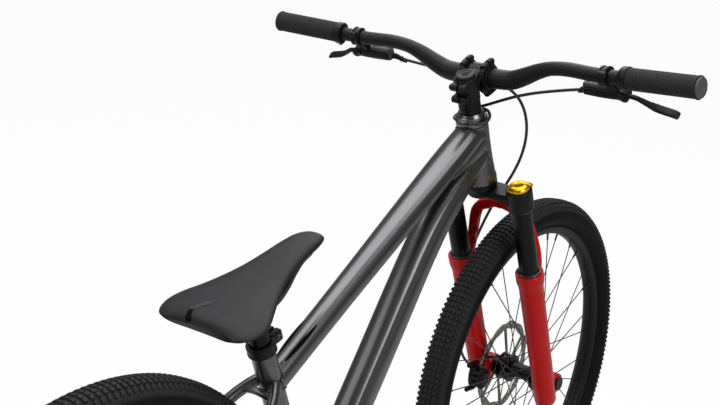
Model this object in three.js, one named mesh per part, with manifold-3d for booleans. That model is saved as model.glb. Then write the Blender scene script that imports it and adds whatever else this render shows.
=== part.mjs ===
import * as THREE from "three";
import { mergeVertices } from "three/addons/utils/BufferGeometryUtils.js";
import Module from "manifold-3d";

// A dirt jump bike: one welded frame, a short suspension fork, two laced wheels and a single-speed drive.
// Millimetres. X points forward, Y to the rider's left and Z up.
// The origin is on the ground, midway between the axles.

const wasm = await Module();
wasm.setup();

// Layout of the bike
const wheelbase = 1044;
const wheelRadius = 334;
const headAngle = 69.1;
const crownRoom = 116;
const forkLength = wheelRadius + crownRoom;
const forkOffset = 40;
const forkTravel = 80;
const lowerStack = 13;
const headTubeLength = 120;
const bracketDrop = 14;
const bracketHeight = wheelRadius - bracketDrop;
const tyreRoom = 73;
const chainstayReach = wheelRadius + tyreRoom;
const seatAngle = 70.5;
const seatTubeLength = 320;
const barWidth = 770;
const barRise = 57.5;
const barSweep = 23.5;
const stemReach = 36.4;
const stemHeight = 55.5;
const crankLength = 165;
const saddleLength = 247;
const saddleWidth = 168;
const saddleAngle = 15.4;
const legSpacing = 137;
const legForward = 6.3;
const rearSpacing = 135;
const frontSpacing = 110;
const chainLine = 49;

// Clearances, cutting, joining and small edges
const gap = 0.3;
const overrun = 2;
const overlap = 1;
const edgeStep = 1;
const chamfer = 2;
const weldDistance = 0.0001;

// Counts of sides and copies
const roundSides = 12;
const smallSides = 8;
const hexSides = 6;
const tubeSides = 10;
const mainSides = 12;
const wheelSides = 24;
const hoseSides = 5;
const spokeCount = 32;
const spokeCrosses = 3;
const spokeSides = 3;
const railSteps = 16;
const rearHoseSteps = 31;
const lowerHoseSteps = 12;
const frontHoseSteps = 25;
const chainringTeeth = 28;
const sprocketTeeth = 12;
const rotorArms = 6;
const rotorHoles = 12;
const rotorWaves = 12;

// Frame tubes
const headRadius = 26;
const headEndRadius = 27.5;
const headRingHeight = 7;
const headBore = 18;
const headSeatRadius = 23;
const headSeatDepth = 9;
const seatTubeRadius = 17.5;
const postRadius = 15.45;
const seatBoreDepth = 235;
const topTubeStartDrop = 62;
const topTubeStartUp = seatTubeLength - topTubeStartDrop;
const topTubeEndDrop = 24;
const topTubeHeight = 38;
const topTubeWidth = 54;
const downTubeEndDrop = 66;
const downTubeHeight = 54;
const downTubeWidth = 54;
const downTubeBendBack = 162;
const downTubeBendDrop = 122.6;
const downTubeSecondBack = 95.3;
const downTubeSecondDrop = 93.5;
const tubePower = 2.3;
const boxPower = 3.3;
const shellRadius = 21;
const shellWidth = 73;
const shellBore = 17.5;
const stayRadius = 8.5;
const chainstayHeight = 19;
const chainstayWidth = 16;
const seatstayJoinDrop = 58;
const seatstayJoinUp = seatTubeLength - seatstayJoinDrop;
const seatstayJoinSide = 10;
const seatstayBulge = 8;
const bridgeRadius = 5.5;
const bridgeHalfWidth = 29;
const bridgeShare = 0.08;
const bridgeRise = 8;
const bridgeLean = 3.6;
const dropoutThickness = 7;
const tabThickness = 6;
const dropoutLength = 62;
const dropoutHeight = 40;
const slotLength = 30;
const axleRadius = 5;

// Frame furniture
const collarHeight = 17;
const collarRadius = 20.8;
const collarDrop = 5;
const collarEarRise = 3;
const collarEarReach = 33;
const collarEarWidth = 22;
const collarSlit = 3;
const collarBoltRadius = 3;
const collarBoltHead = 4.6;
const cupSleeve = 10;
const cupFlange = 11;
const cupRadius = 22.5;
const spindleRadius = 12;
const nutRadius = 9.5;
const nutWidth = 8;
const tensionerThickness = 2.5;
const tensionerRadius = 10.5;
const tensionerBoltRadius = 2.5;

// Headset, stem and bar
const steererRadius = 14.3;
const topCoverRadius = 25;
const topCoverTip = 19.5;
const topCoverHeight = 12;
const spacerRadius = 18;
const spacerHeight = 21;
const stemClampRadius = 19;
const stemClampHeight = 41;
const capRadius = 16.5;
const capHeight = 4.5;
const barClampRadius = 15.9;
const barGripRadius = 11.1;
const stemBarRadius = 21;
const stemBarWidth = 50;
const stemSplit = 1.5;
const stemBoltRadius = 3;
const stemBoltHead = 4.6;
const stemBoltSide = 19;
const stemBoltRise = 23;
const stemEarRadius = 6.5;
const barStraight = 169.4;
const gripLength = 128;
const gripRadius = 16.6;
const gripEnd = 4;
const gripCollarWidth = 12;
const gripCollarRadius = 18;

// Brake levers
const leverInset = 28;
const leverSide = barWidth / 2 - gripLength - leverInset;
const leverClampRadius = 16;
const leverClampWidth = 13;
const leverForward = 17;
const leverDrop = 38;
const leverPivotOut = 21;
const cylinderRadius = 9.5;
const cylinderInner = 48;
const reservoirLength = 42;
const reservoirHeight = 17;
const bladeLength = 78;
const bladeDrop = 32;
const bladeWidth = 14;
const bladeThickness = 8;
const bladeRootRadius = 7;
const bladeRootWidth = 7;
const leverPinRadius = 2.2;
const fittingForward = 13;
const fittingDrop = 10;
const fittingReach = 8;
const fittingLength = 14;
const fittingRadius = 5;

// Fork
const crownWeb = 12;
const crownSocket = 8.6;
const crownBossRadius = 24;
const crownLegRadius = 22;
const crownLegTop = 5;
const crownLegBottom = 34;
const crownArmHeight = 24;
const stanchionRadius = 17;
const legFloor = 42;
const bottomRoom = 28;
const stanchionBottom = forkLength - legFloor - forkTravel - bottomRoom;
const lowerHeight = 290;
const sealDrop = forkLength - lowerHeight;
const wiperHeight = 6;
const wiperRadius = 20.5;
const legTopRadius = 21.5;
const legEndRadius = 20;
const legCollarRadius = 24.5;
const legCollarHeight = 26;
const legBottomDrop = 20;
const legBoreEnd = forkLength - legFloor;
const dropoutBossRadius = 18;
const dropoutBossOuter = 77;
const archForward = 47;
const archRoom = 50;
const archTopDrop = crownRoom - archRoom;
const archHeight = 19;
const archDepth = 15;
const capTopHeight = 6;
const capTopRadius = 13;
const dialRadius = 15;
const dialHeight = 7;
const dialLeverReach = 21;
const dialLeverWidth = 7;
const knobRadius = 8;
const knobHeight = 9;
const throughAxleRadius = 10;
const throughAxleHead = 4;

// Wheels
const tyreHeight = 50;
const treadRise = 3;
const tyreCrown = wheelRadius - treadRise;
const tyreHalfWidth = 27.5;
const treadDepth = 7;
const treadLength = 34;
const treadInnerShare = 0.04;
const treadOuterShare = 0.6;
const rimLip = 5;
const rimDepth = 15.5;
const rimOuter = wheelRadius - tyreHeight;
const rimSeat = rimOuter - rimLip;
const rimInner = rimOuter - rimDepth;
const rimHalfWidth = 14.5;
const rimWall = 1.8;
const beadRise = 1;
const beadTop = rimOuter + beadRise;
const spokeRadius = 1.1;
const spokeSunk = 1.6;
const spokeStagger = 1.6;
const flangeRadius = 26;
const flangeWidth = 3;
const spokeCircle = 22.5;
const frontHubRadius = 15;
const frontHubEndRadius = 13;
const frontFlangeLeft = 21;
const frontFlangeRight = 32;
const rearHubRadius = 16;
const rearFlangeLeft = 32;
const rearFlangeRight = 22;
const rotorThickness = 2;
const rotorBand = 15;
const frontRotorRadius = 88;
const frontRotorSide = 41;
const rearRotorRadius = 80;
const rearRotorSide = 51;
const rotorWave = 2;
const rotorHubRadius = 27;
const rotorArmWidth = 8;
const rotorHoleRadius = 2.6;
const rotorSeatRadius = 16.5;
const rotorShoulderRadius = 23;
const driverRadius = 13;
const driverOuter = 57;
const driverInner = 38;

// Brake calipers
const caliperLength = 58;
const caliperDepth = 34;
const caliperInnerReach = 15;
const frontCaliperReach = 16.5;
const rearCaliperReach = 9.5;
const caliperSlot = 5;
const caliperBack = 9;
const caliperEar = 11;
const caliperBoltRadius = 4.5;
const frontCaliperAngle = 176;
const frontCaliperRadius = 86;
const rearCaliperAngle = 24;
const rearCaliperRadius = 78;

// Drive
const chainPitch = 12.7;
const ringThickness = 2.2;
const toothRise = 2.3;
const rollerRadius = 3.7;
const chainInnerWidth = 4.4;
const plateThickness = 1.5;
const plateHeight = 8.2;
const ringBore = 15;
const ringWindowRadius = 8;
const ringWindowCircle = 33;
const ringWindows = 5;
const crankBossRadius = 19;
const crankEyeRadius = 14;
const crankInnerFace = 51;
const crankOuterFace = 71;
const crankEyeInner = 72;
const crankEyeOuter = 84;
const crankThickness = 14;
const pedalAxleRadius = 6;
const pedalInner = 90;
const pedalOuter = 188;
const pedalLength = 102;
const pedalHeight = 15;
const pedalBarrel = 11;
const pedalRail = 12;
const pedalCorner = 18;
const pedalWall = 4;

// Seat
const clampUp = 68;
const saddleBehind = 97;
const saddleBay = 8;
const saddleTop = 41;
const saddleCrown = 11;
const saddleSkirt = 17;
const saddleBayPower = 8;
const railRadius = 3.5;
const railSide = 22;
const cradleLength = 40;
const cradleWidth = 56;
const cradleHeight = 13;
const clampPlateHeight = 9;
const headNeckRadius = 13;

// Hoses
const hoseRadius = 2.5;

const degree = Math.PI / 180;
const fullTurn = 2 * Math.PI;
const wheelFacet = fullTurn / wheelSides;
const vec = (x, y, z) => new THREE.Vector3(x, y, z);
const lateral = vec(0, 1, 0);
const forward = vec(1, 0, 0);
const bore = (radius, sides = roundSides) => (radius + gap) / Math.cos(Math.PI / sides);

// Reference points and frames
const rearAxlePoint = vec(-wheelbase / 2, 0, wheelRadius);
const frontAxlePoint = vec(wheelbase / 2, 0, wheelRadius);
const bracketPoint = vec(rearAxlePoint.x + chainstayReach, 0, bracketHeight);

// A frame leaning back by the given angle from the ground: local Z runs up the tube, local X points forward.
function leaningFrame(angle, origin) {
  const frame = new THREE.Matrix4().makeRotationY(-(Math.PI / 2 - angle * degree));
  return frame.setPosition(origin);
}

function crownRacePoint() {
  const up = vec(0, 0, 1).transformDirection(leaningFrame(headAngle, vec(0, 0, 0)));
  const front = vec(1, 0, 0).transformDirection(leaningFrame(headAngle, vec(0, 0, 0)));
  return frontAxlePoint.clone().addScaledVector(up, forkLength).addScaledVector(front, -forkOffset);
}

// The steering frame starts at the crown race, and the seat frame at the top of the seat tube.
const steeringFrame = leaningFrame(headAngle, crownRacePoint());
const seatUp = vec(0, 0, 1).transformDirection(leaningFrame(seatAngle, vec(0, 0, 0)));
const seatTopPoint = bracketPoint.clone().addScaledVector(seatUp, seatTubeLength);
const seatFrame = leaningFrame(seatAngle, seatTopPoint);
const inSteering = (x, y, z) => vec(x, y, z).applyMatrix4(steeringFrame);
const inSeat = (x, y, z) => vec(x, y, z).applyMatrix4(seatFrame);
const headBottom = lowerStack;
const headTop = lowerStack + headTubeLength;
const stemCentre = headTop + stemHeight;
const downTubeBend = inSteering(-downTubeBendBack, 0, headTop - downTubeBendDrop);

// Solids

function manifoldOf(positions, indices) {
  const mesh = new wasm.Mesh({ numProp: 3, vertProperties: positions, triVerts: indices });
  return new wasm.Manifold(mesh);
}

// A closed BufferGeometry becomes a solid, with its faces turned outwards.
function solid(geometry) {
  const bare = geometry.clone();
  bare.deleteAttribute("normal");
  bare.deleteAttribute("uv");
  const merged = mergeVertices(bare, weldDistance);
  const source = merged.index.array;
  const kept = [];
  for (let i = 0; i < source.length; i += 3) {
    const [a, b, c] = [source[i], source[i + 1], source[i + 2]];
    if (a !== b && b !== c && a !== c) kept.push(a, b, c);
  }
  const positions = new Float32Array(merged.attributes.position.array);
  const made = manifoldOf(positions, new Uint32Array(kept));
  if (made.volume() > 0) return made;
  for (let i = 0; i < kept.length; i += 3) [kept[i + 1], kept[i + 2]] = [kept[i + 2], kept[i + 1]];
  return manifoldOf(positions, new Uint32Array(kept));
}

const joined = (...bodies) => wasm.Manifold.union(bodies.flat());
const cut = (body, ...tools) => body.subtract(joined(...tools));
const moved = (body, matrix) => body.transform(Array.from(matrix.elements));
const mirrored = (body) => body.mirror([0, 1, 0]);
const placedAt = (point) => new THREE.Matrix4().setPosition(point);

function geometryOf(body) {
  const mesh = body.getMesh();
  const count = mesh.numVert;
  const positions = new Float32Array(count * 3);
  for (let i = 0; i < count; i += 1) {
    const start = i * mesh.numProp;
    positions.set(mesh.vertProperties.subarray(start, start + 3), i * 3);
  }
  const geometry = new THREE.BufferGeometry();
  geometry.setAttribute("position", new THREE.BufferAttribute(positions, 3));
  geometry.setIndex(new THREE.BufferAttribute(mesh.triVerts, 1));
  geometry.computeVertexNormals();
  return geometry;
}

// Skin over a row of rings with equal counts of points, closed by a fan at each end.
function loft(rings) {
  const count = rings[0].length;
  const positions = rings.flat().flatMap((point) => [point.x, point.y, point.z]);
  const indices = [];
  for (let ring = 0; ring + 1 < rings.length; ring += 1) {
    for (let i = 0; i < count; i += 1) {
      const a = ring * count + i;
      const b = ring * count + ((i + 1) % count);
      indices.push(a, b, b + count, a, b + count, a + count);
    }
  }
  const last = (rings.length - 1) * count;
  for (let i = 1; i + 1 < count; i += 1) {
    indices.push(0, i + 1, i, last, last + i, last + i + 1);
  }
  const geometry = new THREE.BufferGeometry();
  geometry.setAttribute("position", new THREE.Float32BufferAttribute(positions, 3));
  geometry.setIndex(indices);
  return solid(geometry);
}

// One ring of a superellipse, with its half sizes along two directions.
function ringAt(centre, across, upward, halfAcross, halfUp, sides, power = 2) {
  const points = [];
  for (let i = 0; i < sides; i += 1) {
    const turn = (i / sides) * fullTurn;
    const cosine = Math.cos(turn);
    const sine = Math.sin(turn);
    const x = Math.sign(cosine) * Math.abs(cosine) ** (2 / power) * halfAcross;
    const y = Math.sign(sine) * Math.abs(sine) ** (2 / power) * halfUp;
    points.push(centre.clone().addScaledVector(across, x).addScaledVector(upward, y));
  }
  return points;
}

// A tube through points, whose half sizes are given at each point; its width stays level.
function levelTube(points, halfWidths, halfHeights, sides = tubeSides, power = 2) {
  const rings = points.map((point, i) => {
    const before = points[Math.max(i - 1, 0)];
    const after = points[Math.min(i + 1, points.length - 1)];
    const along = after.clone().sub(before).normalize();
    const upward = along.clone().cross(lateral).normalize();
    const across = upward.clone().cross(along).normalize();
    return ringAt(point, across, upward, halfWidths[i], halfHeights[i], sides, power);
  });
  return loft(rings);
}

// A round tube swept along a smooth curve through points.
function sweep(points, radius, sides, steps) {
  const curve = new THREE.CatmullRomCurve3(points, false, "centripetal");
  const frames = curve.computeFrenetFrames(steps, false);
  const rings = [];
  for (let i = 0; i <= steps; i += 1) {
    const share = i / steps;
    const size = typeof radius === "function" ? radius(share) : radius;
    rings.push(ringAt(curve.getPointAt(share), frames.normals[i], frames.binormals[i], size, size, sides));
  }
  return loft(rings);
}

// A round bar from one point to another, tapered where its end radius differs.
function rod(from, to, radius, sides = roundSides, endRadius = radius) {
  const along = to.clone().sub(from).normalize();
  const level = Math.abs(along.y) < Math.SQRT1_2 ? lateral : forward;
  const upward = along.clone().cross(level).normalize();
  const across = upward.clone().cross(along).normalize();
  const start = ringAt(from, across, upward, radius, radius, sides);
  return loft([start, ringAt(to, across, upward, endRadius, endRadius, sides)]);
}

const upright = (x, y, low, high, radius, sides = roundSides, endRadius = radius) =>
  rod(vec(x, y, low), vec(x, y, high), radius, sides, endRadius);
const crosswise = (x, z, low, high, radius, sides = roundSides) =>
  rod(vec(x, low, z), vec(x, high, z), radius, sides);

// A profile of [radius, place] pairs turned about the Y axis.
function turned(profile, sides = roundSides) {
  const points = profile.map(([radius, place]) => new THREE.Vector2(radius, place));
  points.push(points[0].clone());
  return solid(new THREE.LatheGeometry(points, sides));
}

// The same profile turned about the Z axis.
function turnedUpright(profile, sides = roundSides) {
  return moved(turned(profile, sides), new THREE.Matrix4().makeRotationX(Math.PI / 2));
}

function block(lowX, highX, lowY, highY, lowZ, highZ) {
  const geometry = new THREE.BoxGeometry(highX - lowX, highY - lowY, highZ - lowZ);
  geometry.translate((lowX + highX) / 2, (lowY + highY) / 2, (lowZ + highZ) / 2);
  return solid(geometry);
}

// A flat outline in the X-Z plane, given a thickness along Y about the given place.
function sidePlate(shape, thickness, place) {
  const geometry = new THREE.ExtrudeGeometry(shape, { depth: thickness, bevelEnabled: false });
  geometry.translate(0, 0, -thickness / 2);
  geometry.rotateX(Math.PI / 2);
  geometry.translate(0, place, 0);
  return solid(geometry);
}

function shapeOf(points) {
  return new THREE.Shape(points.map(([x, z]) => new THREE.Vector2(x, z)));
}

function circlePoints(x, z, radius, sides, start = 0) {
  const points = [];
  for (let i = 0; i < sides; i += 1) {
    const turn = start + (i / sides) * fullTurn;
    points.push([x + radius * Math.cos(turn), z + radius * Math.sin(turn)]);
  }
  return points;
}

const holeOf = (points) => new THREE.Path(points.map(([x, z]) => new THREE.Vector2(x, z)));

// Two circles in the X-Z plane and the straight lines that hold them together.
function beltShape(a, radiusA, b, radiusB, sides = smallSides) {
  const heading = Math.atan2(b[1] - a[1], b[0] - a[0]);
  const distance = Math.hypot(b[0] - a[0], b[1] - a[1]);
  const lean = Math.acos((radiusA - radiusB) / distance);
  const points = [];
  for (let i = 0; i <= sides; i += 1) {
    const turn = heading + lean + (i / sides) * (fullTurn - 2 * lean);
    points.push([a[0] + radiusA * Math.cos(turn), a[1] + radiusA * Math.sin(turn)]);
  }
  for (let i = 0; i <= sides; i += 1) {
    const turn = heading - lean + (i / sides) * 2 * lean;
    points.push([b[0] + radiusB * Math.cos(turn), b[1] + radiusB * Math.sin(turn)]);
  }
  return shapeOf(points);
}

// Frame

function headTubeBlank() {
  const profile = [
    [0, headBottom],
    [headEndRadius, headBottom],
    [headEndRadius, headBottom + headRingHeight],
    [headRadius, headBottom + 2 * headRingHeight],
    [headRadius, headTop],
    [0, headTop],
  ];
  return moved(turnedUpright(profile), steeringFrame);
}

function headTubeBores() {
  const profile = [
    [0, headBottom - overrun],
    [headSeatRadius, headBottom - overrun],
    [headSeatRadius, headBottom + headSeatDepth],
    [headBore, headBottom + headSeatDepth],
    [headBore, headTop - headSeatDepth],
    [headSeatRadius, headTop - headSeatDepth],
    [headSeatRadius, headTop + overrun],
    [0, headTop + overrun],
  ];
  return moved(turnedUpright(profile), steeringFrame);
}

// Shares along the tube and of its half sizes: narrow and round at the seat, wide and flat at the head.
const topTubeShares = [
  [0, 0.68, 0.96],
  [0.3, 0.73, 0.97],
  [0.58, 0.86, 1],
  [0.85, 0.98, 0.96],
  [1, 0.93, 0.9],
];

function topTube() {
  const start = bracketPoint.clone().addScaledVector(seatUp, topTubeStartUp);
  const end = inSteering(0, 0, headTop - topTubeEndDrop);
  const points = topTubeShares.map(([share]) => start.clone().lerp(end, share));
  const widths = topTubeShares.map((row) => (row[1] * topTubeWidth) / 2);
  const heights = topTubeShares.map((row) => (row[2] * topTubeHeight) / 2);
  return levelTube(points, widths, heights, mainSides, tubePower);
}

const downTubeWidthShares = [0.96, 1, 1, 1.02, 0.94];
const downTubeHeightShares = [0.96, 1, 0.96, 0.88, 0.8];

function downTube() {
  const bend = downTubeBend;
  const points = [
    bracketPoint.clone(),
    bracketPoint.clone().lerp(bend, 1 / 2),
    bend,
    inSteering(-downTubeSecondBack, 0, headTop - downTubeSecondDrop),
    inSteering(0, 0, headTop - downTubeEndDrop),
  ];
  const widths = downTubeWidthShares.map((share) => (share * downTubeWidth) / 2);
  const heights = downTubeHeightShares.map((share) => (share * downTubeHeight) / 2);
  return levelTube(points, widths, heights, mainSides, tubePower);
}

function seatTube() {
  return rod(bracketPoint, seatTopPoint, seatTubeRadius, roundSides);
}

function seatTubeBore() {
  return rod(inSeat(0, 0, -seatBoreDepth), inSeat(0, 0, overrun), bore(postRadius), roundSides);
}

function bracketShell() {
  return crosswise(bracketPoint.x, bracketPoint.z, -shellWidth / 2, shellWidth / 2, shellRadius, roundSides);
}

function bracketBore() {
  const reach = shellWidth / 2 + overrun;
  return crosswise(bracketPoint.x, bracketPoint.z, -reach, reach, shellBore);
}

// Shares of the way from the shell to the axle, and the side place as a share of half the rear spacing.
const chainstayShares = [
  [0.03, 0.34, 0, 1],
  [0.14, 0.48, 0, 1],
  [0.38, 0.74, 0.03, 0.92],
  [0.68, 0.96, 0.02, 0.88],
  [0.82, 1.05, 0.01, 0.85],
  [0.93, 1.06, 0, 0.85],
];

function chainstay() {
  const points = chainstayShares.map(([along, side, rise]) => {
    const point = bracketPoint.clone().lerp(rearAxlePoint, along);
    return point.add(vec(0, (side * rearSpacing) / 2, rise * chainstayHeight));
  });
  const widths = chainstayShares.map((row) => (row[3] * chainstayWidth) / 2);
  const heights = chainstayShares.map((row) => (row[3] * chainstayHeight) / 2);
  return levelTube(points, widths, heights, smallSides);
}

// Shares of the way from the seat tube to the axle, the side place, the size and the upward bulge.
const seatstayShares = [
  [0.02, 0.2, 1, 0.75],
  [0.09, 0.42, 1, 0.95],
  [0.17, 0.57, 1, 0.95],
  [0.4, 0.78, 0.95, 0.4],
  [0.72, 1.03, 0.88, 0],
  [0.92, 1.06, 0.85, 0],
];

const stayStart = bracketPoint.clone().addScaledVector(seatUp, seatstayJoinUp);
const stayEnd = rearAxlePoint.clone().add(vec(dropoutLength / 4, 0, dropoutHeight / 2));

function seatstay() {
  const points = seatstayShares.map(([along, side, size, bulge]) => {
    const point = stayStart.clone().lerp(stayEnd, along);
    return point.add(vec(0, (side * rearSpacing) / 2, bulge * seatstayBulge));
  });
  points.unshift(stayStart.clone().add(vec(0, seatstayJoinSide, 0)));
  const sizes = [stayRadius, ...seatstayShares.map((row) => row[2] * stayRadius)];
  return levelTube(points, sizes, sizes, smallSides);
}

// Shares of the bridge's half width and of its rise, across the stays.
const bridgeShares = [
  [-1, 0],
  [-0.5, 0.75],
  [0, 1],
  [0.5, 0.75],
  [1, 0],
];

function stayBridge() {
  const place = stayStart.clone().lerp(stayEnd, bridgeShare).add(vec(0, 0, seatstayBulge / 2));
  const points = bridgeShares.map(([out, up]) => {
    return place.clone().add(vec(-up * bridgeLean, out * bridgeHalfWidth, up * bridgeRise));
  });
  return sweep(points, bridgeRadius, hexSides, hexSides);
}

function dropout() {
  const x = rearAxlePoint.x;
  const z = rearAxlePoint.z;
  const half = dropoutHeight / 2;
  const tail = slotLength * 0.8;
  const outline = shapeOf([
    [x - tail, z - half * 0.72],
    [x + half, z - half * 0.85],
    [x + dropoutLength * 0.72, z - half * 0.5],
    [x + dropoutLength * 0.72, z + half * 0.45],
    [x + dropoutLength * 0.45, z + half * 1.05],
    [x + half * 0.2, z + half * 1.35],
    [x - tail * 0.6, z + half * 0.95],
    [x - tail, z + half * 0.6],
  ]);
  const place = (rearSpacing + dropoutThickness) / 2;
  const plate = sidePlate(outline, dropoutThickness, place);
  const low = rearSpacing / 2 - overrun;
  const high = rearSpacing / 2 + dropoutThickness + overrun;
  const round = crosswise(x, z, low, high, bore(axleRadius));
  const slotHalf = axleRadius + gap;
  const slot = block(x - tail - overrun, x, low, high, z - slotHalf, z + slotHalf);
  return cut(plate, round, slot);
}

// The tab on the left stays that carries the rear caliper against its inner face.
function discTab() {
  const x = rearAxlePoint.x + dropoutLength;
  const z = rearAxlePoint.z;
  const outline = shapeOf([
    [x - dropoutHeight * 0.75, z - chainstayHeight * 0.1],
    [x + dropoutHeight * 0.9, z - chainstayHeight * 0.1],
    [x + dropoutHeight * 0.7, z + chainstayHeight * 0.9],
    [x + dropoutHeight * 0.1, z + chainstayHeight * 2.9],
    [x - dropoutHeight * 0.3, z + chainstayHeight * 2.6],
  ]);
  const inner = rearRotorSide + rearCaliperReach + gap;
  return sidePlate(outline, tabThickness, inner + tabThickness / 2);
}

function makeFrame() {
  const side = joined(chainstay(), seatstay(), dropout());
  const tubes = joined(headTubeBlank(), topTube(), downTube(), seatTube(), bracketShell());
  const rear = joined(side, mirrored(side), stayBridge(), discTab());
  return cut(joined(tubes, rear), headTubeBores(), seatTubeBore(), bracketBore());
}

// Collar with an ear at the front, split and drawn together by one bolt.
function makeSeatCollar() {
  const low = -collarDrop;
  const high = collarHeight - collarDrop;
  const ring = upright(0, 0, low, high, collarRadius, roundSides);
  const halfEar = collarEarWidth / 2;
  const ear = block(0, collarEarReach, -halfEar, halfEar, low + edgeStep, high + collarEarRise);
  const hole = upright(0, 0, low - overrun, gap, bore(seatTubeRadius));
  const cutTop = high + collarEarRise + overrun;
  const post = upright(0, 0, low, cutTop, bore(postRadius) + gap);
  const slit = block(0, collarEarReach + overrun, -collarSlit / 2, collarSlit / 2, low - overrun, cutTop);
  const boltX = (collarEarReach + collarRadius) / 2;
  const boltZ = (low + high) / 2;
  const reach = halfEar + overrun;
  const boltHole = crosswise(boltX, boltZ, -reach, reach, bore(collarBoltRadius, smallSides), smallSides);
  return cut(joined(ring, ear), hole, post, slit, boltHole);
}

function makeSeatBolt() {
  const x = (collarEarReach + collarRadius) / 2;
  const z = collarHeight / 2 - collarDrop;
  const half = collarEarWidth / 2;
  const shank = crosswise(x, z, -half - gap - overlap, half + gap + overlap, collarBoltRadius, smallSides);
  const head = crosswise(x, z, -half - gap - collarBoltHead, -half - gap, collarBoltHead, smallSides);
  const nut = crosswise(x, z, half + gap, half + gap + collarBoltRadius, collarBoltHead, hexSides);
  return joined(shank, head, nut);
}

// Bottom bracket cup: a sleeve inside the shell and a flange against its face.
function makeBracketCup() {
  const face = shellWidth / 2 + gap;
  const inner = bore(spindleRadius);
  const sleeve = shellBore * Math.cos(Math.PI / roundSides) - gap;
  return turned([
    [inner, face - cupSleeve],
    [sleeve, face - cupSleeve],
    [sleeve, face],
    [cupRadius, face],
    [cupRadius, face + cupFlange * 0.7],
    [cupRadius - chamfer, face + cupFlange - gap],
    [inner, face + cupFlange - gap],
  ]);
}

// Headset cup pressed in one end of the head tube.
function headsetCup() {
  const inner = bore(steererRadius);
  const outer = headSeatRadius * Math.cos(Math.PI / roundSides) - gap;
  return [
    [inner, 0],
    [outer, 0],
    [outer, headSeatDepth - gap],
    [inner, headSeatDepth - gap],
  ];
}

function makeUpperCup() {
  const profile = headsetCup().map(([radius, place]) => [radius, headTop - place]);
  return turnedUpright(profile);
}

// The lower cup carries its bearing below the head tube.
function makeLowerCup() {
  const inner = bore(steererRadius);
  const outer = headSeatRadius * Math.cos(Math.PI / roundSides) - gap;
  return turnedUpright([
    [inner, gap],
    [headEndRadius - chamfer, gap],
    [headEndRadius, lowerStack / 2],
    [headEndRadius, headBottom - gap],
    [outer, headBottom - gap],
    [outer, headBottom + headSeatDepth - gap],
    [inner, headBottom + headSeatDepth - gap],
  ]);
}

function makeRearAxle() {
  const outer = rearSpacing / 2 + dropoutThickness + 2 * gap + tensionerThickness;
  const end = outer + nutWidth + axleRadius;
  const shaft = crosswise(0, 0, -end, end, axleRadius - gap / 2, smallSides);
  const nuts = [-1, 1].map((side) => {
    const from = side * (outer + gap);
    const to = side * (outer + gap + nutWidth);
    return crosswise(0, 0, Math.min(from, to), Math.max(from, to), nutRadius, hexSides);
  });
  const locknuts = [-1, 1].map((side) => {
    const from = side * (driverOuter + gap);
    const to = side * (rearSpacing / 2 - gap);
    return crosswise(0, 0, Math.min(from, to), Math.max(from, to), nutRadius, hexSides);
  });
  return joined(shaft, nuts, locknuts);
}

// Chain tensioner: a plate on the axle with a screw that bears on the dropout's tail.
function makeTensioner() {
  const inner = rearSpacing / 2 + dropoutThickness + gap;
  const tail = slotLength * 0.8 + gap;
  const place = inner + tensionerThickness / 2;
  const tip = [-tail - tensionerBoltRadius * 2, 0];
  const outline = beltShape([0, 0], tensionerRadius, tip, tensionerBoltRadius * 2, hexSides);
  const strap = sidePlate(outline, tensionerThickness, place);
  const tab = block(
    -tail - tensionerBoltRadius * 4,
    -tail,
    inner - dropoutThickness,
    inner + tensionerThickness,
    -tensionerBoltRadius * 1.6,
    tensionerBoltRadius * 1.6,
  );
  const screw = rod(
    vec(-tail - tensionerBoltRadius * 6, place - dropoutThickness / 2 - tensionerThickness / 2, 0),
    vec(-tail, place - dropoutThickness / 2 - tensionerThickness / 2, 0),
    tensionerBoltRadius,
    hexSides,
  );
  const hole = crosswise(0, 0, inner - overrun, inner + tensionerThickness + overrun, bore(axleRadius));
  return cut(joined(strap, tab, screw), hole);
}

// Brake caliper: two halves about a slot for the rotor and two bolts at its outer side.
// It is shaped ahead of the axle and then turned about it.
function makeCaliper(angle, radius, side, outerReach) {
  const low = radius - caliperDepth / 2;
  const high = radius + caliperDepth / 2;
  const length = caliperLength / 2;
  const outline = shapeOf([
    [low, -length * 0.72],
    [low + caliperDepth * 0.25, -length],
    [high - caliperDepth * 0.3, -length],
    [high, -length * 0.6],
    [high, length * 0.6],
    [high - caliperDepth * 0.3, length],
    [low + caliperDepth * 0.25, length],
    [low, length * 0.72],
  ]);
  const middle = side + (outerReach - caliperInnerReach) / 2;
  const body = sidePlate(outline, outerReach + caliperInnerReach, middle);
  const boltSide = side + outerReach - caliperBoltRadius - gap;
  const bolts = [-1, 1].map((end) => {
    const z = end * (length - caliperEar / 2);
    const from = vec(high - caliperEar, boltSide, z);
    return rod(from, vec(high + caliperEar / 2, boltSide, z), caliperBoltRadius, smallSides);
  });
  const slotHalf = caliperSlot / 2;
  const reach = length + overrun;
  const slot = block(low - overrun, high - caliperBack, side - slotHalf, side + slotHalf, -reach, reach);
  return moved(cut(joined(body, bolts), slot), new THREE.Matrix4().makeRotationY(-angle * degree));
}

// Headset top, stem and handlebar, all in the steering frame

function makeTopCover() {
  const inner = bore(steererRadius);
  const low = headTop + gap;
  return turnedUpright([
    [inner, low],
    [topCoverRadius, low],
    [topCoverRadius, low + topCoverHeight * 0.35],
    [topCoverTip, low + topCoverHeight - gap],
    [inner, low + topCoverHeight - gap],
  ]);
}

function makeSpacer() {
  const inner = bore(steererRadius);
  const low = headTop + topCoverHeight + gap;
  return turnedUpright([
    [inner, low],
    [spacerRadius, low],
    [spacerRadius, low + spacerHeight - gap],
    [inner, low + spacerHeight - gap],
  ]);
}

const stemLow = headTop + topCoverHeight + spacerHeight + gap;
const stemHigh = stemLow + stemClampHeight;

function makeSteerer() {
  return upright(0, 0, gap - crownSocket, stemHigh - gap, steererRadius);
}

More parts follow.
